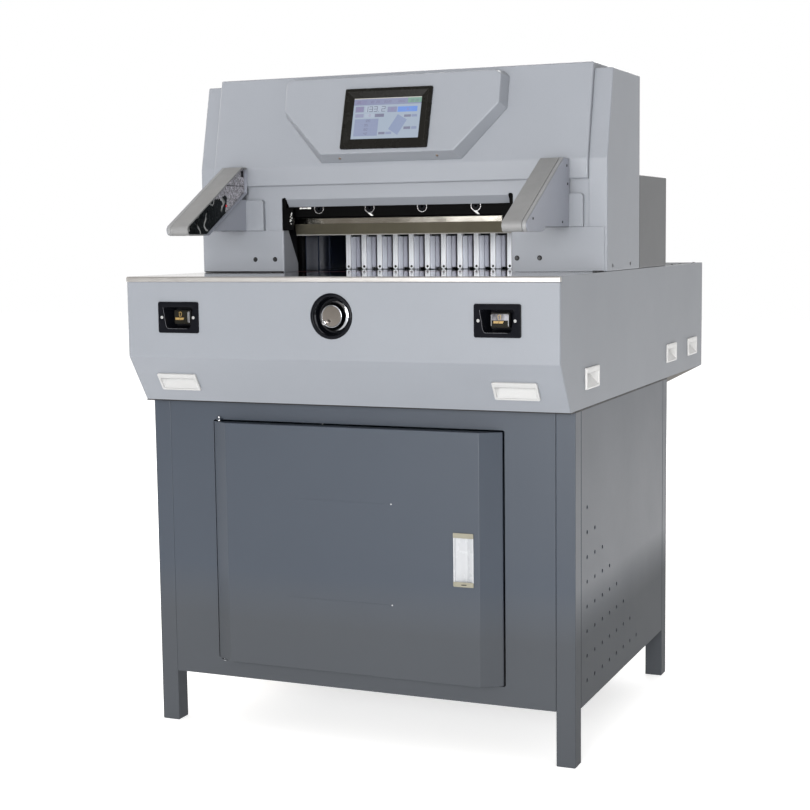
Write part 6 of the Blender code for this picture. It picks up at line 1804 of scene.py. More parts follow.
@dataclass
class HeadCovers:
    """Hood, side covers, front cover with lip and bosses, corner guards and the rear box."""

    shop: Workshop
    front: float = -0.2625
    back: float = -0.02
    lean: float = 0.041
    fold: float = 1.1225
    side_top: float = 1.295
    hood_top: float = 1.307
    hood_low: float = 1.085
    hood_half: float = 0.404
    proud: float = 0.009
    throat_half: float = 0.248
    slot_half: float = 0.2513
    lip_half: float = 0.242
    lip_fold: float = 1.057
    lip_low: float = 1.0418
    boss_x: float = 0.3425
    boss_half: float = 0.0525
    boss_low: float = 0.9943
    boss_top: float = 1.0575
    guard_top: float = 0.994
    guard_fold: float = 0.065

    def build(self) -> None:
        """Make and dress every piece of the head's covers."""
        self.hood()
        for side in Side:
            self.side_cover(side)
            self.guard(side)
        self.front_cover()
        self.rear_box()
        self.screws()

    def outline(self, front: float, top: float, low: float, inset: float) -> list[Pair]:
        """Give the side outline of a cover, or of its hollow, which is open below.

        Args:
            front: Y of the cover's front.
            top: Z of its top.
            low: Z of its lower edge.
            inset: Wall between the cover and its hollow; 0 gives the cover.

        Returns:
            The outline's points.
        """
        rise = top - self.fold
        slope = math.hypot(self.lean, rise)
        tangent = (slope - rise) / self.lean
        bottom = low - (0.004 if inset else 0.0)
        upper = front + self.lean + inset * (slope - self.lean) / rise
        return [(front + inset, bottom), (front + inset, self.fold - inset * tangent), (upper, top - inset),
            (self.back - inset, top - inset), (self.back - inset, bottom)]

    def hood(self) -> None:
        """Make the hood with its soft folds, open below."""
        front = self.front - self.proud
        shell = Draft().prism(self.outline(front, self.hood_top, self.hood_low, 0.0), Axis.X, -self.hood_half,
            self.hood_half)
        hollow = Draft().prism(self.outline(front, self.hood_top, self.hood_low, SHEET), Axis.X,
            -self.hood_half + SHEET, self.hood_half - SHEET)
        piece("hood_sheet", shell, GREY_LIT_HEAD, "hood", edging=Edging(0.0032, 4, 8.0), cutters=[hollow],
            smooth=30.0)

    def side_cover(self, side: Side) -> None:
        """Make one side cover: a plate with its front, top and back flanges.

        Args:
            side: Side of the machine.
        """
        inner = self.hood_half + GAP
        shell = Draft().prism(self.outline(self.front, self.side_top, TABLE + GAP, 0.0), Axis.X,
            *side.span(inner - 0.008, HALF))
        left, right = side.span(inner - 0.02, inner)
        trim = Draft().box((left, self.front - 0.01, TABLE - 0.01),
            (right, self.back + 0.01, self.side_top + 0.01))
        hollow = Draft().prism(self.outline(self.front, self.side_top, TABLE + GAP, SHEET), Axis.X,
            *side.span(inner - 0.004, HALF - SHEET))
        piece(f"side_cover_{side.word}_sheet", shell, GREY_LIT_HEAD, f"side_cover_{side.word}",
            edging=Edging(0.0026, 4, 8.0), cutters=[hollow, trim], smooth=30.0)

    def front_cover(self) -> None:
        """Make the front cover with the throat's opening, its folded lip and the two bosses."""
        low, half, step = TABLE + GAP, self.hood_half, self.hood_low - GAP
        behind = half - SHEET - GAP
        slot_top = self.lip_fold + 0.004
        corner = rounded_path(
            [(self.slot_half, self.lip_fold - 0.02), (self.slot_half, slot_top), (self.lip_half, slot_top),
                (self.lip_half, self.lip_fold - 0.001)], 0.0042, 4)[1:-1]
        right = [(self.slot_half, low)] + corner + [(self.lip_half, self.lip_fold)]
        outline = [(-x, z) for x, z in right]
        outline += [(x, z) for x, z in reversed(right)]
        outline += [(half, low), (half, step), (behind, step), (behind, self.hood_low + 0.015),
            (-behind, self.hood_low + 0.015), (-behind, step), (-half, step), (-half, low)]
        sheet = Draft().prism(outline, Axis.Y, self.front, self.front + SHEET)
        piece("front_cover_sheet", sheet, GREY_LIT_HEAD, "front_cover", edging=Edging(0.0004, 1, 60.0))
        path = rounded_path(
            [(self.front + 0.0004, self.lip_fold + 0.003), (self.front + 0.0004, self.lip_fold),
                (self.front + 0.014, self.lip_low)], 0.003, 4)
        lip = Draft().prism(thickened(path, 0.0015), Axis.X, -self.lip_half + 0.0005, self.lip_half - 0.0005)
        piece("throat_lip", lip, GREY_LIT_HEAD, edging=Edging(0.0005, 2, 50.0))
        for side in Side:
            middle, low, top, cut = side.value * self.boss_x, self.boss_low, self.boss_top, 0.004
            left, right = middle - self.boss_half, middle + self.boss_half
            shape = [(left, low), (right, low), (right, top - cut), (right - cut, top), (left + cut, top),
                (left, top - cut)]
            boss = Draft().prism(shape, Axis.Y, self.front - 0.01, self.front + 0.0005)
            piece(f"arm_boss_{side.word}", boss, GREY_LIT_HEAD, edging=Edging(0.0012, 3, 25.0))

    def guard(self, side: Side) -> None:
        """Make one corner guard as a folded sheet with a sloping return.

        Args:
            side: Side of the machine.
        """
        face, inner, outer = self.front - GAP - SHEET, self.throat_half - GAP, HALF - 0.005
        end = face + self.guard_fold
        path = rounded_path([(outer, face), (inner, face), (inner, end)], 0.003, 5)
        plan = [(side.value * x, y) for x, y in thickened(path, -SHEET)]
        low, top, corner, start = TABLE + GAP, self.guard_top, 0.926, 0.023
        sheet = Draft().prism(plan, Axis.Z, low, top)
        far, slope = 0.01, (corner - top) / (self.guard_fold - start)
        cutter = [(face + start, top + 0.0001), (end + far, corner + slope * far), (end + far, top + far),
            (face + start, top + far)]
        notch = Draft().prism(cutter, Axis.X, *side.span(inner - 0.01, inner + 0.02))
        piece(f"guard_{side.word}_sheet", sheet, GREY_LIT_HEAD, f"guard_{side.word}", cutters=[notch],
            rim=Edging(0.0005, 2, 50.0))

    def rear_box(self) -> None:
        """Make the box over the rear table with its folds, open below."""
        low, high = (-HALF, self.back + GAP, TABLE + GAP), (HALF, at_depth(0.77), 1.098)
        shell = Draft().box(low, high)
        hollow = Draft().box((low[0] + SHEET, low[1] - 0.004, low[2] - 0.004),
            (high[0] - SHEET, high[1] - SHEET, high[2] - SHEET))
        piece("rear_box_sheet", shell, BOX_GREY, "rear_box", edging=Edging(0.0028, 4, 30.0), cutters=[hollow],
            smooth=30.0)

    def screws(self) -> None:
        """Set the screws of the guards, the side covers and the rear box, and lay black strips of painted
        shadow under the guards.
        """
        face = self.front - GAP - SHEET
        seats = [front_seat(x, 0.935, face) for x in (-0.3145, -0.2685, 0.26, 0.306)]
        self.shop.screws("guard_screw_rings", seats, Screw(0.005, 0.0006, 0.9, Recess.SLOT), BLACK_MATT, 2)
        self.shop.screws("guard_screws", [seat.moved(0, 0, 0.0002) for seat in seats],
            Screw(0.0034, 0.0018, 0.7), SCREW_GREY, 3)
        # Painted shadow: thin black strips under the guards, where the gap over the table lies in shade.
        for word, low, high, rise in (("left", -HALF + 0.006, -self.throat_half - 0.001, 0.0026),
                ("right", 0.412, HALF - 0.006, 0.0022)):
            shadow_line = Draft().box((low, face - 0.0006, TABLE + 0.0003), (high, face + 0.0015, TABLE + rise))
            piece(f"guard_seal_{word}", shadow_line, BLACK_MATT)
        flanks = [side_seat(side, at_depth(depth), z) for side in Side
            for depth, z in ((0.339, 0.919), (0.469, 0.92))]
        self.shop.screws("side_cover_screws", [seat.moved(0, 0, -0.0004) for seat in flanks],
            Screw(0.004, 0.0004, 0.9, Recess.SLOT), BRASS, 8)
        rear = [back_seat(x, z, self.back) for x in (-0.37, 0.0, 0.37) for z in (1.13, 1.27)]
        rear += [back_seat(x, 0.925, at_depth(0.77)) for x in (-0.4, -0.13, 0.13, 0.4)]
        self.shop.screws("head_back_screws", rear, Screw(), ZINC, 9)


@dataclass
class GuardArm:
    """Light guard arm: moulded cover, painted side plate, window and bracket."""

    shop: Workshop
    side: Side
    inner: float = 0.33
    thick: float = 0.038
    wide: float = 0.0095
    rear: float = -0.2718
    rear_low: float = 1.0715
    top: float = 1.124
    top_front: float = -0.3035
    nose_front: float = -0.5275
    nose_low: float = 0.9855
    nose_top: float = 1.0125
    nose_round: float = 0.011
    heel: float = -0.4335
    wedge_low: float = 0.9945
    wedge_high: float = 1.059
    wedge_back: float = -0.2678

    def outline(self, steps: int = 12) -> list[Pair]:
        """Give the arm's side outline: a leaning bar with a rounded nose.

        Args:
            steps: Faces of the rounded nose.

        Returns:
            The outline's points, from below at the rear.
        """
        slope = math.atan2(self.top - self.nose_top, self.top_front - self.nose_front)
        nose = arc((self.nose_front + self.nose_round, self.nose_low + self.nose_round), self.nose_round,
            math.pi / 2 + slope, math.pi - slope, steps)
        return [(self.rear, self.rear_low), (self.rear, self.top - 0.003), (self.rear - 0.003, self.top),
            (self.top_front, self.top), *nose, (self.heel, self.nose_low)]

    def span(self, start: float, end: float) -> Pair:
        """Give the two X of a slice, counted from the arm's inner face."""
        return self.side.span(self.inner + start, self.inner + end)

    def build(self) -> None:
        """Make and dress every piece of the arm."""
        word, whole = self.side.word, self.outline()
        core = Draft().prism(inset_outline(whole, 0.0028), Axis.X, *self.span(0.0034, self.thick - 0.0016))
        piece(f"arm_core_{word}", core, LILAC, f"arm_shell_{word}", smooth=32.0)
        self.cover(whole)
        low, back = self.wedge_low, self.wedge_back
        sheet = whole[1:] + [(self.under(low), low), (back, low), (back, self.wedge_high)]
        plate = Draft().prism(inset_outline(sheet, 0.0007), Axis.X,
            *self.span(self.thick - 0.0015, self.thick))
        piece(f"arm_plate_{word}", plate, LILAC, slot=Slot.GREY, edging=Edging(0.0006, 2, 25.0), smooth=32.0)
        glass = Draft().prism(inset_outline(whole, 0.0034), Axis.X, *self.span(0.0016, 0.003))
        piece(f"arm_window_{word}_foil", glass, WINDOW, f"arm_window_{word}", edging=Edging(0.0004, 1, 25.0))
        self.cells()
        self.bracket()

    def cover(self, whole: list[Pair]) -> None:
        """Make the moulded cover over the arm's front and nose in two bands, and the painted rim.

        Args:
            whole: The arm's side outline.
        """
        path = [(self.rear - 0.0012, self.top - 0.0012), (self.rear - 0.003, self.top)] + whole[3:-1]
        path.append((self.heel - 0.03, self.nose_low))
        seam = self.thick * 0.74
        for number, (start, end) in enumerate(((-self.wide, seam), (seam + 0.0006, self.thick - 0.0018))):
            band = Draft().prism(thickened(path, 0.003), Axis.X, *self.span(start, end))
            near, far = (self.side.value * (self.inner - along) for along in (0.004, self.wide + 0.002))
            corner = Draft().prism(
                [(near, self.rear - 0.003), (near, self.rear + 0.01), (far, self.rear + 0.01),
                    (far, self.rear - 0.045)], Axis.Z, self.rear_low, self.top + 0.01)
            piece(f"arm_cover_{self.side.word}_{number}", band, ARM_COVER if number == 0 else ARM_NOSE,
                cutters=[corner], rim=Edging(0.0013, 3, 40.0), smooth=32.0)
        edge = [(self.heel - 0.0297, self.nose_low), (self.heel, self.nose_low), (self.rear, self.rear_low),
            (self.rear, self.top - 0.0035)]
        rim = Draft().prism(thickened(rounded_path(edge, 0.004, 3), 0.0028), Axis.X,
            *self.span(-0.004, self.thick - 0.0018))
        piece(f"arm_rim_{self.side.word}", rim, LILAC, edging=Edging(0.0006, 2, 40.0))

    def window_seat(self, y: float, z: float) -> Seat:
        """Give a seat on the window, which looks to the throat."""
        return side_seat(self.side.other, y, z, -self.inner - 0.0016)

    def cells(self) -> None:
        """Set the light cells on the window's black half, two dark lines on the window, the long one a
        painted reflection of a cover seam, and the red lamp.
        """
        word, draft, dark_lines = self.side.word, Draft(), Draft()
        for number in range(6):
            y, z = self.nose_front + 0.03 + number * 0.0235, self.nose_low + 0.013 + number * 0.0115
            draft.turned(self.window_seat(y, z), ((0.0032, -0.0006), (0.0032, 0.0004), (0.0024, 0.0006)), 14)
        piece(f"arm_cells_{word}", draft, BLACK, smooth=30.0)
        # Painted reflection: the long dark line mirrors a seam of the covers in the window.
        for y, z, width, height in ((-0.322, 1.0862, 0.087, 0.0015), (-0.283, 1.111, 0.0105, 0.0125)):
            dark_lines.slab(self.window_seat(y, z), width, height, -0.0004, 0.0003, 0.0006, 2)
        piece(f"arm_seams_{word}", dark_lines, BLACK)
        lamp = Draft().turned(self.window_seat(-0.353, 1.045),
            ((0.0024, -0.0006), (0.0023, 0.0008), (0.0013, 0.0013)), 16)
        piece(f"arm_lamp_{word}", lamp, RED_LAMP, smooth=40.0)

    def under(self, level: float) -> float:
        """Give the Y under the arm at a level."""
        share = (self.rear_low - self.nose_low) / (self.rear - self.heel)
        return self.heel + (level + GAP * math.hypot(1, share) - self.nose_low) / share

    def bracket(self) -> None:
        """Make the painted wedge under the arm, with the screws of the side plate."""
        low, high, back = self.wedge_low, self.wedge_high, self.wedge_back
        outline = [(self.under(low), low), (back, low), (back, high), (self.under(high), high)]
        wedge = Draft().prism(outline, Axis.X, *self.span(0.0, self.thick - 0.0016))
        # The wedge takes the lightened bracket coat as painted light.
        piece(f"arm_bracket_{self.side.word}_wedge", wedge, WEDGE_LIT, f"arm_bracket_{self.side.word}",
            edging=Edging(0.0016, 3, 30.0), smooth=32.0)
        places = ((0.069, 1.009), (0.245, 1.003), (0.273, 1.109), (0.278, 1.075))
        seats = [side_seat(self.side, at_depth(depth), z, self.inner + self.thick) for depth, z in places]
        self.shop.screws(f"arm_screws_{self.side.word}", seats, Screw(0.0026, 0.0009, 0.8, Recess.SLOT),
            BLACK_MATT, 21, slot=Slot.CHROME)


# Operator display


@dataclass
class DisplayUnit:
    """Raised panel on the hood's slope with a framed touch screen."""

    shop: Workshop
    slope: float = 0.189
    rise: float = 0.028
    run: float = 0.041
    climb: float = 0.1845
    half_low: float = 0.152
    half_side: float = 0.24
    half_top: float = 0.228
    width: float = 0.1878
    height: float = 0.123
    glass_width: float = 0.146
    glass_height: float = 0.083
    thick: float = 0.006

    def seat(self, lift: float = 0.0, up: float = 0.0) -> Seat:
        """Give a seat on the hood's slope.

        Args:
            lift: Height above the slope.
            up: Way up the slope from its foot.

        Returns:
            The seat.
        """
        length = math.hypot(self.run, self.climb)
        up_way, out = Vector((0, self.run, self.climb)) / length, Vector((0, -self.climb, self.run)) / length
        base = Seat(Vector((-0.003, -0.2715, 1.1225)), Vector((1, 0, 0)), up_way, out)
        return base.moved(0.0, up, lift)

    def leaning(self, lift: float, up: float) -> Seat:
        """Give a seat for the framed screen, which leans a little to the right.

        Args:
            lift: Height above the slope.
            up: Way up the slope from its foot.

        Returns:
            The seat.
        """
        seat = self.seat(lift, up - 0.0016).moved(-0.003, 0.0)
        return Seat(seat.centre, (seat.across - seat.up * 0.007).normalized(), seat.up + seat.across * 0.034,
            seat.out)

    def outline(self, inset: float, foot: float) -> list[Pair]:
        """Give the panel's eight-cornered outline.

        Args:
            inset: How far its sides stand in.
            foot: How far its foot stands up.

        Returns:
            The outline's points.
        """
        low, side, top = self.half_low - inset, self.half_side - inset, self.half_top - inset
        first, second = self.slope * 0.0265 + foot, self.slope * 0.5503 + inset / 2
        third, fourth = self.slope * 0.8889 - inset / 4, self.slope * 0.9418 - inset / 2
        return [(-low, first), (low, first), (side, second), (side, third), (top, fourth), (-top, fourth),
            (-side, third), (-side, second)]

    def build(self) -> None:
        """Make and dress the panel, the frame, the screen and its picture."""
        seat = self.seat()
        panel = Draft().loft(
            [seat.outline(self.outline(0.0, 0.0), GAP), seat.outline(self.outline(0.009, 0.012), self.rise)])
        piece("display_panel_shell", panel, GREY_LIT_HEAD, "display_panel", edging=Edging(0.0022, 3, 15.0),
            smooth=24.0)
        self.frame(self.leaning(self.rise, 0.0875))
        foot = self.seat(0.0142, 0.011)
        way = (foot.up * 0.012 + foot.out * 0.0277).normalized()
        foot = Seat(foot.centre, foot.across, way, foot.across.cross(way))
        screws = [foot.moved(u, 0.0) for u in (-0.105, 0.105)]
        self.shop.screws("display_panel_screws", screws, Screw(0.003, 0.001, 0.8), BRASS, 4)

    def frame(self, seat: Seat) -> None:
        """Make the black frame, the glass and the picture on it.

        Args:
            seat: Where the frame lies.
        """
        wide, tall, thick = self.width, self.height, self.thick
        loops = seat.stack(4, (wide, tall, GAP, 0.003), (wide, tall, thick - 0.0022, 0.003),
            (wide - 0.0012, tall - 0.0012, thick - 0.0007, 0.0028),
            (wide - 0.003, tall - 0.003, thick, 0.0022), (wide - 0.015, tall - 0.013, thick, 0.0012),
            (wide - 0.016, tall - 0.014, thick - 0.0003, 0.001),
            (self.glass_width, self.glass_height, 0.0031, 0.0006),
            (self.glass_width, self.glass_height, GAP, 0.0006))
        piece("display_frame", Draft().loft(loops, ring=True), FRAME_BLACK, "display_bezel", smooth=26.0)
        picture = ScreenPicture(seat, self.glass_width - 2 * GAP, self.glass_height - 2 * GAP).draft()
        piece("screen_glass", picture, SCREEN, "screen", smooth=20.0)


@dataclass
class ScreenPicture:
    """Plain blocks and digits of the cutting program's page."""

    seat: Seat
    width: float
    height: float
    face: float = 0.0023
    layer: float = 0.00004
    strokes: dict[str, str] = field(
        default_factory=lambda: {"0": "abcdef", "1": "bc", "2": "abged", "3": "abgcd", "4": "fgbc",
            "5": "afgcd", "6": "afgedc", "7": "abc", "8": "abcdefg", "9": "abcdfg", ".": "p", "-": "g"})

    def place(self, across: float, up: float) -> Pair:
        """Give the place of two shares of the screen, counted from its lower left corner."""
        return across * self.width - self.width / 2, up * self.height - self.height / 2

    def patch(self, draft: Draft, outline: Sequence[Pair], lift: int) -> None:
        """Lay one flat shape on the glass, a number of layers high."""
        draft.loft(
            [self.seat.outline(outline, w) for w in (self.face - 0.0002, self.face + self.layer * lift)])

    def block(self, draft: Draft, low: Pair, high: Pair, lift: int) -> None:
        """Lay one flat block from its lower left to its upper right corner."""
        self.patch(draft, [low, (high[0], low[1]), high, (low[0], high[1])], lift)

    def digits(self, draft: Draft, text: str, left: float, low: float, size: float, colour: Colour) -> None:
        """Write digits of seven strokes.

        Args:
            draft: Where they go.
            text: Digits, points and dashes.
            left: Left edge, as a share of the width.
            low: Lower edge, as a share of the height.
            size: Height, as a share of the screen's height.
            colour: Colour of the strokes.
        """
        tall, wide = size * self.height, size * self.height * 0.72
        pen = tall * 0.1
        u, v = self.place(left, low)
        boxes = {"a": (0, tall - pen, wide, tall), "d": (0, 0, wide, pen),
            "g": (0, (tall - pen) / 2, wide, (tall + pen) / 2), "b": (wide - pen, tall / 2, wide, tall),
            "c": (wide - pen, 0, wide, tall / 2), "e": (0, 0, pen, tall / 2), "f": (0, tall / 2, pen, tall),
            "p": (0, 0, pen, pen)}
        for sign in text:
            for stroke in self.strokes[sign]:
                x0, y0, x1, y1 = boxes[stroke]
                self.block(draft, (u + x0, v + y0), (u + x1, v + y1), 3)
            u += wide * (0.85 if sign == "." else 1.3)
        draft.tinted(colour)

    def draft(self) -> Draft:
        """Give the glass with the whole picture.

        Returns:
            The faces, each with its tint.
        """
        draft = Draft().slab(self.seat, self.width, self.height, GAP, self.face)
        draft.tinted((0.355, 0.425, 0.52))
        violet, lilac, dusk, ink = (0.23, 0.25,
            0.39), (0.24, 0.28, 0.43), (0.17, 0.17, 0.26), (0.09, 0.1, 0.15)
        pane, sky = (0.4, 0.46, 0.56), (0.13, 0.27, 0.72)
        blocks = [(0.0, 0.985, 1.0, 1.0, (0.7, 0.68, 0.6)), (0.0, 0.83, 1.0, 0.985, violet),
            (0.02, 0.85, 0.19, 0.95, (0.25, 0.24, 0.38)), (0.8, 0.86, 1.0, 0.985, (0.2, 0.4, 0.26)),
            (0.03, 0.66, 0.155, 0.8, (0.23, 0.22, 0.36)), (0.175, 0.655, 0.48, 0.81, pane),
            (0.51, 0.64, 0.65, 0.775, (0.23, 0.24, 0.38)), (0.66, 0.64, 0.95, 0.77, sky),
            (0.035, 0.53, 0.16, 0.617, (0.27, 0.28, 0.42)), (0.175, 0.53, 0.32, 0.617, pane),
            (0.33, 0.53, 0.465, 0.61, dusk), (0.035, 0.07, 0.39, 0.49, lilac),
            (0.765, 0.51, 0.865, 0.57, dusk), (0.875, 0.51, 0.955, 0.57, lilac),
            (0.774, 0.21, 0.874, 0.275, dusk), (0.888, 0.21, 0.965, 0.275, lilac),
            (0.408, 0.1, 0.502, 0.16, dusk), (0.512, 0.1, 0.6, 0.16, lilac)]
        lines = [(0.035, 0.07 + row * 0.105 - 0.004, 0.39, 0.07 + row * 0.105, (0.28, 0.3, 0.44))
            for row in range(1, 4)]
        for lift, rows in ((1, blocks), (2, lines)):
            for left, low, right, high, colour in rows:
                self.block(draft, self.place(left, low), self.place(right, high), lift)
                draft.tinted(colour)
        for row, text in enumerate(("42", "60", "95", "120")):
            self.digits(draft, text, 0.185, 0.1 + row * 0.105, 0.055, (0.11, 0.1, 0.17))
        for left in (0.05, 0.25, 0.33, 0.45, 0.51, 0.66, 0.71, 0.84, 0.91):
            self.digits(draft, "20", left, 0.88, 0.05, (0.14, 0.11, 0.2))
        self.digits(draft, "133.2", 0.165, 0.662, 0.132, ink)
        for left, low in ((0.06, 0.7), (0.55, 0.685), (0.22, 0.55), (0.78, 0.68)):
            self.digits(draft, "10", left, low, 0.05, (0.28, 0.16, 0.34))
        turned_sheet = [((u - 0.5) * self.width, (v - 0.5) * self.height)
            for u, v in ((0.67, 0.584), (0.548, 0.225), (0.69, 0.075), (0.812, 0.445))]
        self.patch(draft, turned_sheet, 2)
        return draft.tinted((0.235, 0.29, 0.45))


# Press


@dataclass
class CuttingPress:
    """Press frame, knife with its beam, clamp, screws and motors."""

    shop: Workshop
    half: float = 0.243
    knife_back: float = -0.2135
    knife_front: float = -0.2231
    edge: float = 0.9834
    band_low: float = 1.007
    band_high: float = 1.018
    top: float = 1.09
    beam_front: float = -0.245
    lip: float = 0.0018
    cheek_front: float = -0.2598

    def build(self) -> None:
        """Make and dress every piece of the press."""
        keep_nodes(press_frame=PRESS_BLACK, clamp_beam=IRON, clamp_screw=ZINC, knife_screw=ZINC,
            knife_motor=MOTOR_IRON, gauge_motor=MOTOR_IRON, drive_belt=RUBBER, bed=IRON)
        self.knife()
        self.beam()
        self.cheeks()
        self.flecks()

    def knife(self) -> None:
        """Make the knife: its back, a polished band, the ground bevel and the edge strip, lightened as a
        painted highlight.
        """
        back, front, tip = self.knife_back, self.knife_front, self.knife_back - 0.0006
        lip, band, top = self.edge + self.lip, self.band_low, self.band_high
        low_front = tip - (tip - front) * self.lip / (band - self.edge)
        for name, low, high, near_low, near_high, finish, nodes, edging in (
                ("knife_back", top, self.top, front, front, KNIFE_BODY, ("knife",), Edging(0.0004, 1)),
                ("knife_band", band, top, front, front, KNIFE_BAND, (), Edging(0.0003, 1)),
                ("knife_bevel", lip, band, low_front, front, KNIFE_BEVEL, (), None),
                ("knife_edge", self.edge, lip, tip, low_front, KNIFE_EDGE_HIGHLIGHT, (), None)):
            outline = [(back, low), (back, high), (near_high, high), (near_low, low)]
            piece(name, Draft().prism(outline, Axis.X, -self.half, self.half), finish, *nodes,
                body=Body.KNIFE, edging=edging)

    def beam(self) -> None:
        """Finish the knife beam, set its bolts with their washers and lay painted glints below two of them.
        """
        keep_nodes(knife_beam=BEAM_BLACK)
        seats = [front_seat(x, 1.038, self.beam_front) for x in (-0.175, -0.061, 0.054, 0.1685)]
        rings = Draft()
        for seat in seats:
            rings.turned(seat,
                ((0.0088, 0.0), (0.0112, 0.0), (0.011, 0.0008), (0.0104, 0.0012), (0.0096, 0.0012),
                    (0.009, 0.0008)), 32, ring=True)
        piece("knife_bolt_rings", rings, CHROME, body=Body.KNIFE, smooth=30.0)
        self.shop.screws("knife_bolts", seats, Screw(0.0068, 0.0018, 0.92, Recess.SOCKET, 24), BLACK, 31,
            body=Body.KNIFE, slot=Slot.CHROME)
        # Painted reflection: small white patches below the second and fourth bolts, for glints of light on
        # the glossy beam.
        marks = Draft()
        for seat in seats[1::2]:
            outline = [(0.003, -0.0165), (0.008, -0.0165), (0.002, -0.0105), (-0.0045, -0.0105)]
            marks.loft([seat.outline(outline, w) for w in (-0.0002, 0.0003)])
        piece("knife_beam_marks", marks, WHITE_BRIGHTENED, body=Body.KNIFE)

    def flecks(self) -> None:
        """Strew what is left of torn silver tape over the left cheek."""
        chance, draft = random.Random(11), Draft()
        seat = front_seat(-0.232, 1.022, self.cheek_front)
        for _ in range(16):
            size = chance.uniform(0.0007, 0.0022), chance.uniform(0.0006, 0.0022)
            draft.slab(seat, *size, -0.0004, 0.0002, 0.0002, 1,
                (chance.uniform(-0.0022, 0.0022), chance.uniform(-0.016, 0.016)))
        piece("throat_tape_flecks", draft, SILVER_TAPE)
        tape, seat = Draft(), front_seat(-0.206, 1.0392, self.beam_front)
        scraps = ((-0.0105, 0.005, 0.003), (-0.002, 0.01, 0.0024), (0.0085, 0.0085, 0.0032))
        for shift, width, height in scraps:
            tape.slab(seat, width, height, -0.0002, 0.0003, 0.0005, 2, (shift, 0.0))
        piece("knife_beam_tape", tape, SILVER_TAPE, body=Body.KNIFE)

    def cheeks(self) -> None:
        """Make the black plates over the knife's ends and the navy sheets along the throat's sides."""
        for side in Side:
            shape = [(0.2275, 0.995), (0.2518, 0.995), (0.2518, 1.064), (0.2432, 1.064), (0.2432, 1.04),
                (0.2275, 1.04)]
            plate = Draft().prism([(side.value * x, z) for x, z in shape], Axis.Y, self.cheek_front,
                self.cheek_front + 0.005)
            piece(f"throat_cheek_{side.word}", plate, BEAM_BLACK, edging=Edging(0.0006, 2))
            path = [(0.2488, -0.158), (0.2488, -0.102), (0.2472, -0.099), (0.2472, -0.09), (0.2488, -0.087),
                (0.2488, -0.048), (0.2472, -0.045), (0.2472, -0.036), (0.2488, -0.033), (0.2488, 0.045)]
            plan = [(side.value * x, y) for x, y in thickened(rounded_path(path, 0.003, 3), -0.0015)]
            sheet = Draft().prism(plan, Axis.Z, TABLE + 0.0006, 1.03)
            piece(f"throat_side_{side.word}", sheet, NAVY, smooth=40.0)


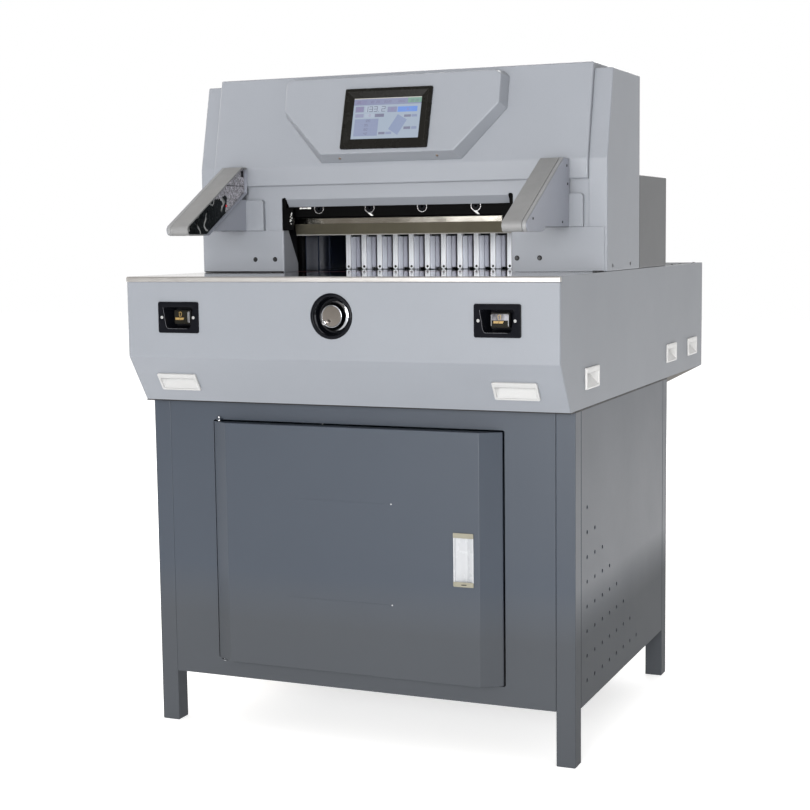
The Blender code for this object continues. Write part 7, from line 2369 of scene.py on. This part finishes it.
@dataclass
class BackGauge:
    """Comb of alloy fins on a cross bar, with its nut and tongue under the table."""

    shop: Workshop
    face: float = -0.0175
    bar_front: float = -0.0055
    bar_back: float = 0.0165
    span: float = 0.444
    count: int = 12
    pitch: float = 0.0375
    rib: float = 0.0123

    def build(self) -> None:
        """Make and dress every piece of the back gauge."""
        left, low = -self.span / 2, TABLE + 0.0004
        first, last, face, back = left + 0.0006, left + self.rib, self.face, self.bar_front + 0.0005
        rib_plan = [(first, back), (first, face + 0.0006), (first + 0.0006, face)]
        for groove in (0.0042, 0.0066):
            rib_plan += [(first + groove, face), (first + groove, face + 0.0006),
                (first + groove + 0.0006, face + 0.0006), (first + groove + 0.0006, face)]
        rib_plan += [(last - 0.0006, face), (last, face + 0.0006), (last, back)]
        middle, foot = (first + last) / 2, low + 0.0058
        corners = Draft()
        for sign in (-1, 1):
            round_corner = [(middle + sign * 0.0059 * u, foot - 0.0058 * v)
                for u, v in arc((0.0, 0.0), 1.0, 0.0, math.pi / 2, 6)]
            corners.prism(
                [(middle + sign * 0.007, low - 0.001), (middle + sign * 0.007, foot), *round_corner,
                    (middle, low - 0.001)], Axis.Y, face - 0.002, back + 0.002)
        hole = Draft().turned(front_seat(middle, foot, face), ((0.0029, -0.004), (0.0029, 0.001)), 14)
        rib = shaped("gauge_ribs", Draft().prism(rib_plan, Axis.Z, low, 0.9845), None, [corners, hole])
        row = self.count, (self.pitch, 0.0, 0.0)
        self.shop.repeated(rib, *row, ALLOY, "back_gauge", body=Body.GAUGE)
        # Painted shade: a black disc at the bottom of each rib's hole, which lies in shade.
        hole_shade = Draft().turned(front_seat(middle, foot, face), ((0.00285, -0.0039), (0.00285, -0.0006)), 14)
        self.shop.repeated(shaped("gauge_rib_plugs", hole_shade), *row, BLACK_MATT, body=Body.GAUGE)
        start = left + self.rib
        # The flanks take the darker alloy as painted shade from the next rib.
        kinds = (("gauge_channels", 0.0, 0.0112, 0.0092, 0.001, ALLOY_DULL),
            ("gauge_channel_flanks", 0.0112, 0.0202, 0.0068, 0.0046, ALLOY_SHADED))
        for name, near, far, depth, rise, finish in kinds:
            face, foot = self.bar_front - depth, TABLE + rise
            plan = [(start + near, self.bar_front + 0.0005), (start + near, face),
                (start + near + 0.003, face), (start + near + 0.0036, face + 0.0004),
                (start + far - 0.0012, face + 0.0004), (start + far, face),
                (start + far, self.bar_front + 0.0005)]
            channel = shaped(name, Draft().prism(plan, Axis.Z, foot, 0.979), Edging(0.0002, 1, 40.0))
            self.shop.repeated(channel, *row, finish, body=Body.GAUGE)
        bar = Draft().box((left, self.bar_front, 0.912), (left + self.span, self.bar_back, 0.98))
        piece("gauge_bar", bar, IRON, body=Body.GAUGE, edging=Edging(0.001, 2))
        middle = (self.bar_front + self.bar_back) / 2
        seat = front_seat(0.0, WHEEL_Z, middle)
        nut = Draft().box((-0.022, middle - 0.02, 0.813), (0.022, middle + 0.02, 0.857))
        bore = Draft().turned(seat, ((0.0103, -0.03), (0.0103, 0.03)), 32)
        piece("gauge_nut", nut, IRON, body=Body.GAUGE, edging=Edging(0.0012, 2), cutters=[bore])
        tongue = Draft().box((-0.008, self.bar_front + 0.001, 0.8565), (0.008, self.bar_back - 0.001, 0.9125))
        piece("gauge_tongue", tongue, IRON, body=Body.GAUGE, edging=Edging(0.0006, 2))


# Studio


@dataclass
class Studio:
    """Pale floor, soft light and the camera at the photograph's place."""

    place: Vector = field(default_factory=lambda: Vector((1.2589, -3.1945, 0.9855)))
    yaw: float = 22.925
    pitch: float = 6.195
    roll: float = -0.7
    lens: float = 70.31
    world: float = 0.9

    def build(self) -> None:
        """Make the floor, the lights and the camera."""
        scene = bpy.context.scene
        scene.view_settings.view_transform = "Standard"
        scene.view_settings.look = "None"
        self.floor()
        self.surround(scene)
        self.lamp("left_front_light", (-0.95, -4.3, 1.68), (0.0, -0.4, 0.9), (1.1, 1.2), 30.0)
        self.lamp("right_front_light", (0.9, -5.5, 1.3), (0.0, -0.4, 0.8), (2.4, 2.0), 275.0)
        self.lamp("back_light", (-0.6, 4.0, 3.0), (0.0, 0.2, 0.8), (2.6, 2.0), 110.0)
        self.lamp("left_light", (-4.0, 0.3, 2.6), (0.0, 0.0, 0.8), (2.4, 2.0), 90.0, (1.0, 0.92, 0.84))
        self.camera(scene)

    def floor(self) -> None:
        """Make the pale floor."""
        reach, data = 14.0, bpy.data.meshes.new("floor")
        data.from_pydata(
            [(-reach, -reach, 0.0), (reach, -reach, 0.0), (reach, reach, 0.0), (-reach, reach, 0.0)], [],
            [(0, 1, 2, 3)])
        graph = Graph("pale_floor")
        tone = graph.mixed(graph.ranged(graph.noise(1.5), 0.0, 1.0), (0.66, 0.66, 0.66), (0.68, 0.68, 0.68))
        graph.put(Base_Color=tone, Roughness=0.9, Specular_IOR_Level=0.0, Emission_Color=WHITE,
            Emission_Strength=0.62)
        data.materials.append(graph.material)
        linked("floor", data)

    def surround(self, scene: bpy.types.Scene) -> None:
        """Make the even white surroundings; the background itself shows white.

        Args:
            scene: The scene that they stand round.
        """
        world = bpy.data.worlds.new("studio_white")
        world.use_nodes = True
        tree = Wiring(world.node_tree)
        tree.nodes.clear()
        seen = tree.first("ShaderNodeBackground", {"Color": (*WHITE, 1.0)})
        way = tree.node("ShaderNodeTexCoord").outputs["Generated"]
        depth = tree.node("ShaderNodeSeparateXYZ", {0: way}).outputs["Y"]
        share = tree.first("ShaderNodeMapRange", {"Value": depth, "From Min": -0.9, "From Max": -0.2})
        dim, bright = (0.36, 0.33, 0.3, 1.0), (0.975, 0.965, 0.955, 1.0)
        tone = tree.node("ShaderNodeMix", {"Factor": share, 6: dim, 7: bright}, data_type="RGBA").outputs[2]
        lit = tree.first("ShaderNodeBackground", {"Color": tone, "Strength": self.world})
        path = tree.node("ShaderNodeLightPath").outputs["Is Camera Ray"]
        mix = tree.first("ShaderNodeMixShader", {0: path, 1: lit, 2: seen})
        tree.node("ShaderNodeOutputWorld", {"Surface": mix})
        scene.world = world

    def lamp(self, name: str, place: Place, target: Place, size: Pair, watts: float,
            colour: Colour = WHITE) -> None:
        """Make one large soft light.

        Args:
            name: Its name.
            place: Where it stands.
            target: What it looks at.
            size: Its width and height.
            watts: Its power.
            colour: Its colour.
        """
        data = bpy.data.lights.new(name, "AREA")
        data.shape = "RECTANGLE"
        data.size, data.size_y = size
        data.energy = watts
        data.color = colour
        item = linked(name, data)
        item.location = place
        item.rotation_euler = (Vector(target) - Vector(place)).to_track_quat("-Z", "Y").to_euler()

    def camera(self, scene: bpy.types.Scene) -> None:
        """Set the camera where the photograph was taken from.

        Args:
            scene: The scene that it looks at.
        """
        yaw, pitch, roll = (math.radians(angle) for angle in (self.yaw, self.pitch, self.roll))
        way = Vector((-math.sin(yaw) * math.cos(pitch), math.cos(yaw) * math.cos(pitch), -math.sin(pitch)))
        right = Vector((math.cos(yaw), math.sin(yaw), 0.0))
        up = right.cross(way)
        right, up = (math.cos(roll) * right + math.sin(roll) * up,
            -math.sin(roll) * right + math.cos(roll) * up)
        data = bpy.data.cameras.new("camera")
        data.lens, data.sensor_width = self.lens, 36.0
        item = linked("camera", data)
        item.matrix_world = Matrix.Translation(self.place) @ Matrix((right, up, -way)).transposed().to_4x4()
        scene.camera = item


def main() -> None:
    """Build the whole machine, then the studio round it."""
    logging.basicConfig(level=logging.INFO, format="%(name)s %(message)s")
    shop = Workshop()
    Studio().build()
    CabinetBase(shop).build()
    CabinetDoor(shop).build()
    TableHousing(shop).build()
    HeadCovers(shop).build()
    for side in Side:
        GuardArm(shop, side).build()
    DisplayUnit(shop).build()
    CuttingPress(shop).build()
    BackGauge(shop).build()


if __name__ == "__main__":
    main()
